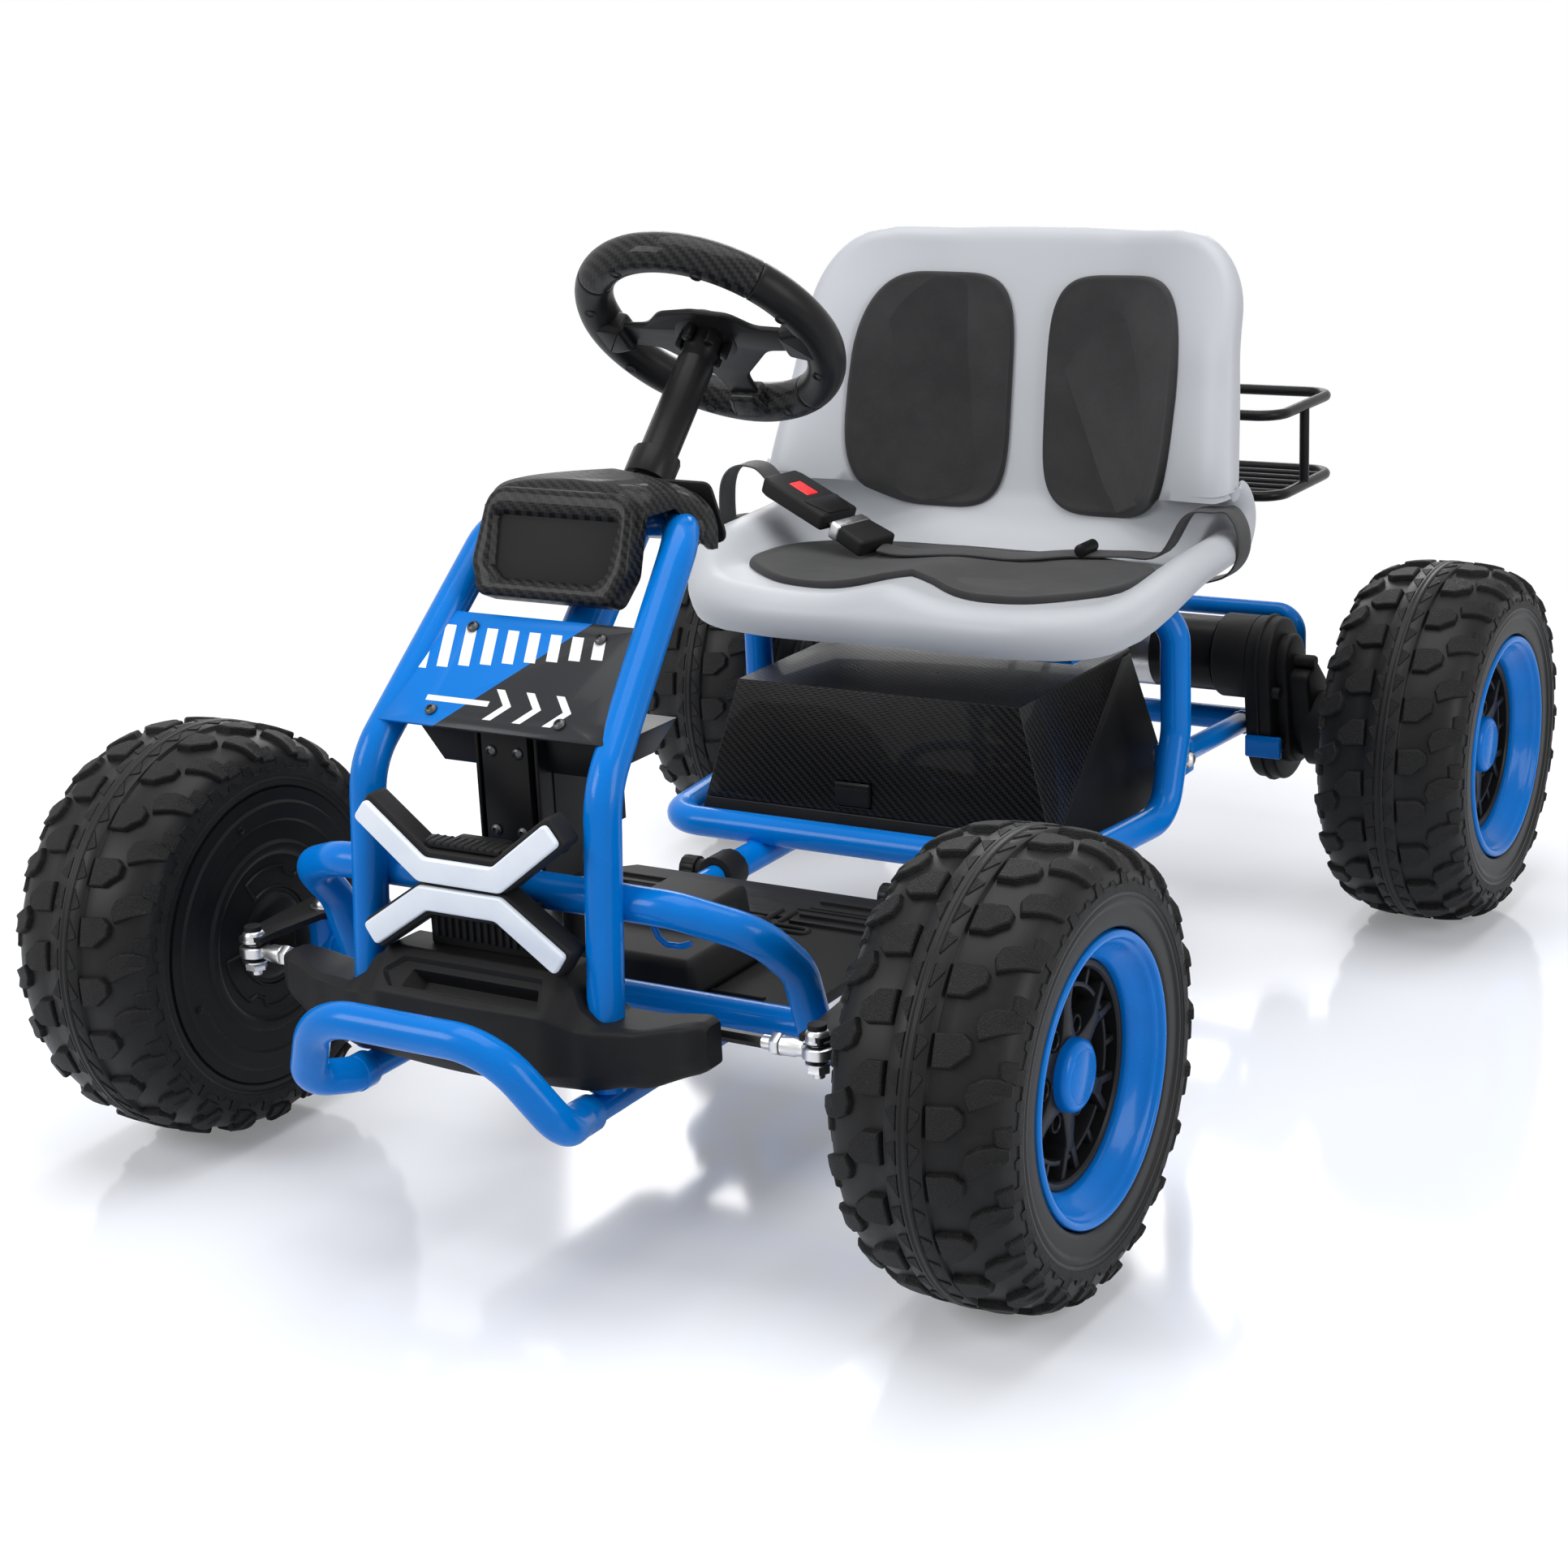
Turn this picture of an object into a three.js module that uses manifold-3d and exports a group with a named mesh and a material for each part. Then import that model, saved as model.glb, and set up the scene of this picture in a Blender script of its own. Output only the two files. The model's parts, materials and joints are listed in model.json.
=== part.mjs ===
// A child's off road go-kart: a blue tube chassis on four knobbly wheels, a steering wheel on a sloping
// column, a moulded bucket seat over a battery box, two rear drive motors and a wire basket.
// Millimetres. The front of the kart faces -Y, the driver's left is +X and the floor is z = 0.
// A Y value of a front piece counts from the front axle, and that of a rear piece from the rear axle.
import * as THREE from 'three';
import { mergeVertices } from 'three/addons/utils/BufferGeometryUtils.js';
import Module from 'manifold-3d';

const wasm = await Module();
wasm.setup();

// Driving dimensions
const wheelRadius = 160;
const wheelFacets = 32;
const wheelbase = 839;
const halfTrack = 346;
const kingpinInset = 116;
const gearboxInset = 114;
const outputInset = 84;
const tyreWidth = 128;
const tubeRadius = 12.7;
const railRadius = 10;
const railX = 94;
const railZ = 130;
const mastX = 98;
const mastFootY = -111.5;
const mastKneeY = -94.5;
const columnTiltDeg = 45.5;
const wheelCentreY = 215.5;
const wheelCentreZ = 597;
const seatHalfWidth = 215;
const seatTopZ = 603;
const basketRearY = 252.5;
const bumperFrontY = -200.5;
const gap = 0.3;
const clearance = 2;
const weld = 1;
const overrun = 5;
const weldTolerance = 1e-4;

// Counts
const tubeSides = 8;
const thinSides = 6;
const bendSteps = 3;
const roundSides = 14;
const wheelSides = 20;

// Places that follow from the driving dimensions
const frontAxleY = -wheelbase / 2;
const rearAxleY = wheelbase / 2;
const axleZ = wheelRadius * Math.cos(Math.PI / wheelFacets);
const columnTilt = THREE.MathUtils.degToRad(columnTiltDeg);
const columnUp = new THREE.Vector3(0, Math.cos(columnTilt), Math.sin(columnTilt));
const railTopZ = railZ + railRadius;

const vec = (x, y, z) => new THREE.Vector3(x, y, z);
const degrees = THREE.MathUtils.degToRad;

// Finishes
function finish(color, roughness, metalness) {
  return new THREE.MeshStandardMaterial({ color, roughness, metalness });
}
const paint = {
  blueSteel: () => finish(0x0870d6, 0.25, 0.1),
  bluePlastic: () => finish(0x0b6fd0, 0.35, 0),
  blackPlastic: () => finish(0x18191b, 0.55, 0),
  glossHood: () => finish(0x101113, 0.18, 0),
  blackSteel: () => finish(0x141416, 0.4, 0.4),
  tyre: () => finish(0x2a2b2d, 0.7, 0),
  seat: () => finish(0xc4c9cf, 0.45, 0),
  foam: () => finish(0x2d2d2f, 0.9, 0),
  webbing: () => finish(0x1b1b1d, 0.85, 0),
  zinc: () => finish(0xc9ccd0, 0.3, 1),
  lens: () => finish(0xeef3f8, 0.25, 0),
  red: () => finish(0xe01b22, 0.4, 0),
};

// The whole kart is modelled about the middle of its wheelbase; this group slides it
// so that the model's origin is under the middle of its length.
const kart = new THREE.Group();
const chassis = new THREE.Group();
kart.add(chassis);
const front = new THREE.Group();
front.position.y = frontAxleY;
chassis.add(front);
const back = new THREE.Group();
back.position.y = rearAxleY;
chassis.add(back);

function place(parent, name, geometry, material) {
  const mesh = new THREE.Mesh(geometry, material);
  mesh.name = name;
  parent.add(mesh);
  return mesh;
}

// Solids: joining and cutting of closed meshes
function toSolid(geometry) {
  const bare = geometry.clone();
  bare.deleteAttribute('normal');
  if (bare.attributes.uv) bare.deleteAttribute('uv');
  const welded = mergeVertices(bare, weldTolerance);
  return new wasm.Manifold(new wasm.Mesh({
    numProp: 3,
    vertProperties: new Float32Array(welded.attributes.position.array),
    triVerts: new Uint32Array(welded.index.array),
  }));
}

function toGeometry(solid) {
  const mesh = solid.getMesh();
  const geometry = new THREE.BufferGeometry();
  geometry.setAttribute('position', new THREE.BufferAttribute(new Float32Array(mesh.vertProperties), 3));
  geometry.setIndex(new THREE.BufferAttribute(new Uint32Array(mesh.triVerts), 1));
  geometry.computeVertexNormals();
  return geometry;
}

const join = (...parts) => toGeometry(parts.map(toSolid).reduce((sum, part) => sum.add(part)));
const common = (first, second) => toGeometry(toSolid(first).intersect(toSolid(second)));
function cut(body, ...tools) {
  return toGeometry(tools.map(toSolid).reduce((rest, tool) => rest.subtract(tool), toSolid(body)));
}

// Faces of a closed mesh are turned so that its volume is positive
function faceOutward(geometry) {
  const index = geometry.index.array;
  const at = geometry.attributes.position;
  const [a, b, c] = [vec(0, 0, 0), vec(0, 0, 0), vec(0, 0, 0)];
  let volume = 0;
  for (let i = 0; i < index.length; i += 3) {
    a.fromBufferAttribute(at, index[i]);
    b.fromBufferAttribute(at, index[i + 1]);
    c.fromBufferAttribute(at, index[i + 2]);
    volume += a.dot(b.cross(c));
  }
  if (volume < 0) {
    for (let i = 0; i < index.length; i += 3) {
      [index[i + 1], index[i + 2]] = [index[i + 2], index[i + 1]];
    }
  }
  geometry.computeVertexNormals();
  return geometry;
}

// Basic shapes
function block(sizeX, sizeY, sizeZ, x, y, z) {
  return new THREE.BoxGeometry(sizeX, sizeY, sizeZ).translate(x, y, z);
}

function rod(from, to, radius, sides = roundSides) {
  const along = to.clone().sub(from);
  const geometry = new THREE.CylinderGeometry(radius, radius, along.length(), sides);
  const heading = along.clone().normalize();
  geometry.applyQuaternion(new THREE.Quaternion().setFromUnitVectors(vec(0, 1, 0), heading));
  return geometry.translate(...from.clone().add(to).divideScalar(2).toArray());
}

// A turned shape about the X axis, from [along, radius] pairs.
// The profile closes on itself, or starts and ends on the axis.
function turned(profile, sides) {
  const points = profile.map(([along, radius]) => new THREE.Vector2(radius, along));
  const geometry = mergeVertices(bare(new THREE.LatheGeometry(points, sides)), weldTolerance);
  return faceOutward(geometry.rotateZ(-Math.PI / 2).rotateX(Math.PI / sides));
}

function bare(geometry) {
  geometry.deleteAttribute('normal');
  geometry.deleteAttribute('uv');
  return geometry;
}

// A flat plate: an outline in two of the three axes, thickened along the third
function plate(outline, thickness, holes = []) {
  const shape = new THREE.Shape(outline.map(([a, b]) => new THREE.Vector2(a, b)));
  for (const hole of holes) shape.holes.push(hole);
  return new THREE.ExtrudeGeometry(shape, {
    depth: thickness,
    bevelEnabled: false,
    curveSegments: thinSides / 2,
  });
}

// A path of straight runs and round bends, given as stations for an extruded tube.
// A bend takes up less than half of the runs beside it.
const bendReachShare = 0.49;
class BentPath extends THREE.Curve {
  constructor(corners, bendRadius, steps = bendSteps) {
    super();
    this.stations = [{ at: corners[0], heading: corners[1].clone().sub(corners[0]).normalize() }];
    for (let i = 1; i < corners.length - 1; i += 1) {
      this.addBend(corners[i - 1], corners[i], corners[i + 1], bendRadius, steps);
    }
    const last = corners.length - 1;
    const lastHeading = corners[last].clone().sub(corners[last - 1]).normalize();
    this.stations.push({ at: corners[last], heading: lastHeading });
  }

  addBend(before, corner, after, radius, steps) {
    const into = corner.clone().sub(before).normalize();
    const out = after.clone().sub(corner).normalize();
    const turn = into.angleTo(out);
    const reach = Math.min(
      radius * Math.tan(turn / 2),
      corner.distanceTo(before) * bendReachShare,
      corner.distanceTo(after) * bendReachShare,
    );
    const bend = reach / Math.tan(turn / 2);
    const start = corner.clone().addScaledVector(into, -reach);
    const axis = into.clone().cross(out).normalize();
    const toCentre = axis.clone().cross(into).multiplyScalar(bend);
    const centre = start.clone().add(toCentre);
    for (let k = 0; k <= steps; k += 1) {
      const angle = (turn * k) / steps;
      const at = toCentre.clone().negate().applyAxisAngle(axis, angle).add(centre);
      this.stations.push({ at, heading: into.clone().applyAxisAngle(axis, angle) });
    }
  }

  station(t) {
    return this.stations[Math.round(t * (this.stations.length - 1))];
  }

  getPoint(t) {
    return this.station(t).at.clone();
  }

  getPointAt(t) {
    return this.getPoint(t);
  }

  getTangentAt(t) {
    return this.station(t).heading.clone();
  }

  getSpacedPoints() {
    return this.stations.map((station) => station.at.clone());
  }
}

function bentTube(corners, bendRadius, radius, sides = tubeSides, steps = bendSteps) {
  const path = new BentPath(corners, bendRadius, steps);
  const section = new THREE.Shape();
  for (let i = 0; i < sides; i += 1) {
    const angle = (2 * Math.PI * i) / sides;
    const corner = [radius * Math.cos(angle), radius * Math.sin(angle)];
    if (i === 0) section.moveTo(...corner);
    else section.lineTo(...corner);
  }
  return new THREE.ExtrudeGeometry(section, {
    steps: path.stations.length - 1,
    extrudePath: path,
    bevelEnabled: false,
  });
}

function indexed(points, index) {
  const positions = new Float32Array(points.flatMap((point) => point.toArray()));
  const geometry = new THREE.BufferGeometry();
  geometry.setAttribute('position', new THREE.BufferAttribute(positions, 3));
  geometry.setIndex(index);
  return faceOutward(geometry);
}

// A skin through rings of points; flat fans close its two ends, or the last ring joins the first
function skin(rings, closeLoop = false) {
  const count = rings[0].length;
  const index = [];
  const last = closeLoop ? rings.length : rings.length - 1;
  for (let r = 0; r < last; r += 1) {
    const a = r * count;
    const b = ((r + 1) % rings.length) * count;
    for (let i = 0; i < count; i += 1) {
      const j = (i + 1) % count;
      index.push(a + i, a + j, b + j, a + i, b + j, b + i);
    }
  }
  if (!closeLoop) {
    const end = (rings.length - 1) * count;
    for (let i = 1; i < count - 1; i += 1) {
      index.push(0, i + 1, i);
      index.push(end, end + i, end + i + 1);
    }
  }
  return indexed(rings.flat(), index);
}

// A convex-sided body through rectangular levels, each [half width, front y, rear y, z]
function tapered(levels) {
  return skin(levels.map(([half, front, rear, z]) => [
    vec(-half, front, z), vec(half, front, z), vec(half, rear, z), vec(-half, rear, z),
  ]));
}

const mirrored = (points) => [...points.map((p) => vec(-p.x, p.y, p.z)).reverse(), ...points];
const bothSides = [{ side: 1, name: 'left' }, { side: -1, name: 'right' }];

// Mast: a hoop of tube from the rails over the column, with the column tube welded in its middle
const column = {
  outerRadius: 17,
  shaftRadius: 12,
  lowerEnd: 286,
  upperEnd: 134,
};
const columnBore = column.shaftRadius / Math.cos(Math.PI / roundSides) + gap;
const onColumn = (below) => vec(0, wheelCentreY, wheelCentreZ).addScaledVector(columnUp, -below);
const mast = {
  footLift: 1.6,
  kneeZ: 343,
  shoulderX: 93,
  shoulderY: 46.5,
  shoulderZ: 481,
  crossX: 50,
  crossY: 83.5,
  crossZ: 484,
  bend: 60,
};
const mastPoints = [
  vec(mast.crossX, mast.crossY, mast.crossZ),
  vec(mast.shoulderX, mast.shoulderY, mast.shoulderZ),
  vec(mastX, mastKneeY, mast.kneeZ),
  vec(mastX, mastFootY, railTopZ + mast.footLift),
];
const mastTube = (extra) => bentTube(mirrored(mastPoints), mast.bend, tubeRadius + extra);
place(front, 'mast_hoop', cut(
  join(
    mastTube(0),
    rod(onColumn(column.lowerEnd), onColumn(column.upperEnd), column.outerRadius),
  ),
  rod(onColumn(column.lowerEnd + overrun), onColumn(column.upperEnd - overrun), columnBore),
), paint.blueSteel());

// Footboard sizes; the rails have a cross tube below the board's slot
const board = {
  half: 152,
  rearReach: 557.5,
  frontY: 21.5,
  bottomZ: railTopZ + gap,
  topZ: 149,
  slotHalf: 78,
  slotShare: 0.742,
  slotWidth: 7,
  chamfer: 26,
  ribHeight: 3,
  ribWidth: 5,
  ribLength: 92,
  ribPitch: 16,
  ribCount: 4,
  ribX: 96,
};
const boardRearY = wheelbase - board.rearReach;
const boardPlace = (share) => board.frontY + share * (boardRearY - board.frontY);

// Front axle frame: arch, axle beam, kingpin sleeves, the two long rails and the pitman bush
const kingpin = {
  x: halfTrack - kingpinInset,
  radius: 6,
  sleeveRadius: 13,
  sleeveBottomZ: 134,
  sleeveTopZ: 184,
  clearance: gap,
};
const arch = {
  y: -83.5,
  z: 264,
  shoulderInset: 90,
  hipInset: 40,
  hipY: -58.5,
  hipZ: 245,
  footInset: 33,
  footY: -22.5,
  footZ: 210,
  endY: -4.5,
  bend: 45,
};
const rails = {
  frontY: -140.5,
  rearReach: 344.5,
};
const crossY = boardPlace(board.slotShare);
const pitman = {
  bushRadius: 13,
  pinRadius: 6,
  plateTopZ: 190,
  plateThickness: 5,
};
const archPoints = [
  vec(kingpin.x - arch.shoulderInset, arch.y, arch.z),
  vec(kingpin.x - arch.hipInset, arch.hipY, arch.hipZ),
  vec(kingpin.x - arch.footInset, arch.footY, arch.footZ),
  vec(kingpin.x - arch.footInset, arch.endY, axleZ),
];
const beamTopZ = axleZ + tubeRadius;
const pitmanPlateZ = pitman.plateTopZ - pitman.plateThickness;
place(front, 'front_axle_frame', cut(
  join(
    bentTube(mirrored(archPoints), arch.bend, tubeRadius),
    rod(vec(-kingpin.x, 0, axleZ), vec(kingpin.x, 0, axleZ), tubeRadius, tubeSides),
    ...bothSides.map(({ side }) => rod(
      vec(side * kingpin.x, 0, kingpin.sleeveBottomZ),
      vec(side * kingpin.x, 0, kingpin.sleeveTopZ),
      kingpin.sleeveRadius,
    )),
    ...bothSides.map(({ side }) => rod(
      vec(side * railX, rails.frontY, railZ),
      vec(side * railX, wheelbase - rails.rearReach, railZ),
      railRadius,
      tubeSides,
    )),
    ...bothSides.map(({ side }) => block(
      2 * railRadius,
      2 * tubeRadius,
      beamTopZ - railZ,
      side * railX,
      0,
      (beamTopZ + railZ) / 2 - railRadius,
    )),
    rod(vec(-railX, crossY, railZ), vec(railX, crossY, railZ), railRadius - gap, tubeSides),
    rod(vec(0, 0, axleZ), vec(0, 0, pitmanPlateZ - gap), pitman.bushRadius),
  ),
  ...bothSides.map(({ side }) => rod(
    vec(side * kingpin.x, 0, kingpin.sleeveBottomZ - overrun),
    vec(side * kingpin.x, 0, kingpin.sleeveTopZ + overrun),
    kingpin.radius + kingpin.clearance,
  )),
  rod(vec(0, 0, axleZ), vec(0, 0, pitmanPlateZ + overrun), pitman.pinRadius + gap),
  mastTube(gap),
), paint.blueSteel());

// Bumper: a hoop of tube that slips over the front ends of the rails
const bumper = {
  rearY: -126.5,
  lowX: 107,
  lowY: -174.5,
  lowZ: 137,
  topHalf: 72,
  topZ: 199,
  bend: 34,
  boreRadius: railRadius + gap,
};
const bumperPoints = [
  vec(bumper.topHalf, bumperFrontY, bumper.topZ),
  vec(bumper.lowX, bumper.lowY, bumper.lowZ),
  vec(railX, rails.frontY, railZ),
  vec(railX, bumper.rearY, railZ),
];
place(front, 'bumper_hoop', cut(
  bentTube(mirrored(bumperPoints), bumper.bend, tubeRadius),
  ...bothSides.map(({ side }) => rod(
    vec(side * railX, rails.frontY - gap, railZ),
    vec(side * railX, bumper.rearY + overrun, railZ),
    bumper.boreRadius,
    tubeSides,
  )),
), paint.blueSteel());

// Bumper cover: a moulded nose with winged ends, which the mast legs pass through
const cover = {
  bottomZ: railTopZ + 2 * clearance,
  skirtZ: 160,
  topZ: 192,
  noseZ: 198,
  crestZ: 222,
  half: 177,
  bottomHalf: 138,
  noseHalf: 58,
  frontY: -146.5,
  bottomFrontY: -136.5,
  rearY: -83.5,
  crestY: -100.5,
  tipRearY: -92.5,
  tipFrontY: -116.5,
  cornerReach: 24,
};
const coverPlan = (half, front, z) => [
  vec(-half, cover.tipRearY, z),
  vec(-half, cover.tipFrontY, z),
  vec(-cover.noseHalf, front, z),
  vec(cover.noseHalf, front, z),
  vec(half, cover.tipFrontY, z),
  vec(half, cover.tipRearY, z),
  vec(half - cover.cornerReach, cover.rearY, z),
  vec(cover.cornerReach - half, cover.rearY, z),
];
const coverBody = skin([
  coverPlan(cover.bottomHalf, cover.bottomFrontY, cover.bottomZ),
  coverPlan(cover.half, cover.frontY, cover.skirtZ),
  coverPlan(cover.half, cover.frontY, cover.topZ),
]);
const coverCrest = skin([-cover.noseHalf, cover.noseHalf].map((x) => [
  vec(x, cover.frontY + gap, cover.skirtZ),
  vec(x, cover.frontY + gap, cover.noseZ),
  vec(x, cover.crestY, cover.crestZ),
  vec(x, cover.rearY - gap, cover.crestZ),
  vec(x, cover.rearY - gap, cover.skirtZ),
]));
place(front, 'bumper_cover', cut(
  join(coverBody, coverCrest),
  mastTube(2 * gap),
  bentTube(mirrored(bumperPoints), bumper.bend, tubeRadius + gap),
), paint.blackPlastic());

// X shaped lamp: a black body that rests on the arch, and two white chevron lenses
const lamp = {
  frontY: -130.5,
  lensThickness: 5,
  bodyThickness: 16,
  tipX: 79,
  tipZ: 322,
  lowTipZ: 230,
  flatHalf: 30,
  upperZ: 283,
  lowerZ: 264,
  bar: 9,
  border: 4,
  footHalf: 22,
};
function chevron(tipZ, flatZ, bar) {
  const slope = Math.atan2(Math.abs(tipZ - flatZ), lamp.tipX - lamp.flatHalf);
  const rise = Math.sign(tipZ - flatZ);
  const across = [bar * Math.sin(slope), bar * Math.cos(slope)];
  const kink = bar * Math.tan(slope / 2);
  const right = [
    [lamp.flatHalf - kink, flatZ + rise * bar],
    [lamp.tipX - across[0], tipZ + rise * across[1]],
    [lamp.tipX + across[0], tipZ - rise * across[1]],
    [lamp.flatHalf + kink, flatZ - rise * bar],
  ];
  return [...right, ...right.map(([x, z]) => [-x, z]).reverse()];
}
function upright(outline, thickness, backY) {
  return plate(outline, thickness).rotateX(Math.PI / 2).translate(0, backY, 0);
}
const lensBackY = lamp.frontY + lamp.lensThickness;
const lampBackY = lensBackY + gap + lamp.bodyThickness;
const lampFoot = block(
  2 * lamp.footHalf,
  arch.y - tubeRadius - gap - lampBackY + lamp.border,
  2 * lamp.bar,
  0,
  (arch.y - tubeRadius - gap + lampBackY - lamp.border) / 2,
  (lamp.upperZ + lamp.lowerZ) / 2,
);
const legGap = block(
  2 * (mastX - tubeRadius - gap),
  4 * lamp.bodyThickness,
  2 * lamp.tipZ,
  0,
  lampBackY,
  lamp.tipZ,
);
place(front, 'lamp_body', common(join(
  upright(chevron(lamp.tipZ, lamp.upperZ, lamp.bar + lamp.border), lamp.bodyThickness, lampBackY),
  upright(chevron(lamp.lowTipZ, lamp.lowerZ, lamp.bar + lamp.border), lamp.bodyThickness, lampBackY),
  lampFoot,
), legGap), paint.blackPlastic());
place(
  front,
  'lamp_lens_upper',
  upright(chevron(lamp.tipZ, lamp.upperZ, lamp.bar - gap), lamp.lensThickness, lensBackY),
  paint.lens(),
);
place(
  front,
  'lamp_lens_lower',
  upright(chevron(lamp.lowTipZ, lamp.lowerZ, lamp.bar - gap), lamp.lensThickness, lensBackY),
  paint.lens(),
);

// Front plate: sheet metal between the mast legs
const frontPlate = {
  half: mast.shoulderX,
  thickness: 2,
  topY: -11.5,
  topZ: 430,
  bottomY: -83.5,
  bottomZ: 369,
  screwX: 53,
  screwRadius: 3,
  edge: 12,
};
const plateRise = frontPlate.topZ - frontPlate.bottomZ;
const plateRun = frontPlate.topY - frontPlate.bottomY;
const plateSlope = Math.atan2(plateRise, plateRun);
const plateLength = Math.hypot(plateRise, plateRun);
const screwRows = [frontPlate.edge, plateLength - frontPlate.edge];
const screwHoles = bothSides.flatMap(({ side }) => screwRows.map((along) => (
  new THREE.Path().absarc(side * frontPlate.screwX, along, frontPlate.screwRadius, 0, 2 * Math.PI, true)
)));
const plateSheet = plate([
  [-frontPlate.half, 0],
  [frontPlate.half, 0],
  [frontPlate.half, plateLength],
  [-frontPlate.half, plateLength],
], frontPlate.thickness, screwHoles);
place(front, 'front_plate', cut(
  plateSheet.rotateX(plateSlope).translate(0, frontPlate.bottomY, frontPlate.bottomZ),
  mastTube(gap),
), paint.blueSteel());

// Column shroud: an upright housing round the lower shaft, and the knee fairing behind the plate
const lowerShaft = {
  radius: 9,
  jointRadius: 10,
  cupWall: 4,
  cupOpenShare: 0.25,
};
const jointBelow = wheelCentreY / Math.cos(columnTilt);
const jointCentre = onColumn(jointBelow);
const shroud = {
  frontHalf: 19,
  bodyHalf: 27,
  frontY: -67.5,
  stepY: -50.5,
  rearY: 31.5,
  bottomZ: arch.z + tubeRadius + 2 * clearance,
  topRise: 8,
  postTopZ: 374,
  wall: 3,
  fairingHalf: 82,
  fairingFrontY: -54.5,
  fairingRearY: 17.5,
  fairingBottomZ: 336,
  fairingTopZ: 362,
  fairingWingHalf: 64,
};
const shroudTopZ = jointCentre.z + shroud.topRise;
const shroudCore = lowerShaft.jointRadius + lowerShaft.cupWall + clearance;
place(front, 'column_shroud', cut(
  join(
    block(
      2 * shroud.frontHalf,
      shroud.stepY - shroud.frontY + gap,
      shroud.postTopZ - shroud.bottomZ,
      0,
      (shroud.stepY + shroud.frontY) / 2,
      (shroud.postTopZ + shroud.bottomZ) / 2,
    ),
    block(
      2 * shroud.bodyHalf,
      shroud.rearY - shroud.stepY,
      shroudTopZ - shroud.bottomZ,
      0,
      (shroud.rearY + shroud.stepY) / 2,
      (shroudTopZ + shroud.bottomZ) / 2,
    ),
    tapered([
      [
        shroud.fairingWingHalf,
        shroud.fairingFrontY + shroud.wall,
        shroud.fairingRearY,
        shroud.fairingBottomZ,
      ],
      [
        shroud.fairingHalf,
        shroud.fairingFrontY,
        shroud.fairingRearY + shroud.wall,
        shroud.fairingTopZ,
      ],
    ]),
  ),
  rod(
    vec(0, 0, shroud.bottomZ - overrun),
    vec(0, 0, shroudTopZ + overrun),
    shroudCore,
  ),
  rod(onColumn(jointBelow), onColumn(column.upperEnd), column.outerRadius + gap),
  block(
    2 * shroud.frontHalf - 2 * shroud.wall,
    shroud.stepY - shroud.frontY,
    shroud.postTopZ - shroud.bottomZ,
    0,
    (shroud.stepY + shroud.frontY) / 2 + shroud.wall,
    (shroud.postTopZ + shroud.bottomZ) / 2 - shroud.wall,
  ),
), paint.blackPlastic());

// Cowl: a hood over the top of the mast, open underneath, with a dark panel let into its face
const cowl = {
  wall: 3,
  faceHalf: 59,
  faceBottomY: -9.5,
  faceBottomZ: 446,
  faceTopHalf: 66,
  faceTopY: 15.5,
  faceTopZ: 504,
  flareHalf: 82,
  flareY: 21.5,
  flareZ: 460,
  flareTopY: 26.5,
  flareTopZ: 512,
  wingHalf: 108,
  wingY: 53.5,
  wingZ: 470,
  roofY: 57.5,
  roofZ: 517,
  rearHalf: 82,
  rearY: 107.5,
  rearZ: 466,
  rearTopY: 99.5,
  rearTopZ: 512,
  roofHalf: 64,
};
const shoulderShare = 0.72;
const fullnessShare = 0.3;
// One cross section of the cowl: its foot, a full shoulder and the edge of its roof
function cowlRing(foot, top, inset) {
  const mix = (axis) => foot[axis] + (top[axis] - foot[axis]) * shoulderShare;
  const fullness = (foot[0] - top[0]) * fullnessShare;
  return mirrored([
    vec(foot[0] - inset, foot[1], foot[2] - (inset ? overrun : 0)),
    vec(mix(0) + fullness - inset, mix(1), mix(2) - inset),
    vec(top[0] - inset, top[1], top[2] - inset),
  ]);
}
function cowlSkin(inset) {
  return skin([
    cowlRing(
      [cowl.faceHalf, cowl.faceBottomY + inset, cowl.faceBottomZ],
      [cowl.faceTopHalf, cowl.faceTopY + inset, cowl.faceTopZ],
      inset,
    ),
    cowlRing(
      [cowl.flareHalf, cowl.flareY, cowl.flareZ],
      [cowl.roofHalf, cowl.flareTopY, cowl.flareTopZ],
      inset,
    ),
    cowlRing(
      [cowl.wingHalf, cowl.wingY, cowl.wingZ],
      [cowl.roofHalf, cowl.roofY, cowl.roofZ],
      inset,
    ),
    cowlRing(
      [cowl.rearHalf, cowl.rearY - inset, cowl.rearZ],
      [cowl.roofHalf, cowl.rearTopY - inset, cowl.rearTopZ],
      inset,
    ),
  ]);
}
const panel = {
  half: 46,
  bottomShare: 0.2,
  topShare: 0.88,
};
const faceRise = cowl.faceTopZ - cowl.faceBottomZ;
const faceRun = cowl.faceTopY - cowl.faceBottomY;
const faceSlope = Math.atan2(faceRise, faceRun);
const faceLength = Math.hypot(faceRise, faceRun);
function facePanel(half, low, high, thickness, sunk) {
  const outline = [[-half, low], [half, low], [half, high], [-half, high]];
  return plate(outline, thickness)
    .translate(0, 0, -sunk)
    .rotateX(faceSlope)
    .translate(0, cowl.faceBottomY, cowl.faceBottomZ);
}
const panelLow = faceLength * panel.bottomShare;
const panelHigh = faceLength * panel.topShare;
const driveSwitch = {
  x: 46,
  width: 24,
  height: 16,
  z: 490,
  depth: 8,
  proud: 3,
};
const switchY = cowl.rearY + (cowl.rearTopY - cowl.rearY)
  * ((driveSwitch.z - cowl.rearZ) / (cowl.rearTopZ - cowl.rearZ));
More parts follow.
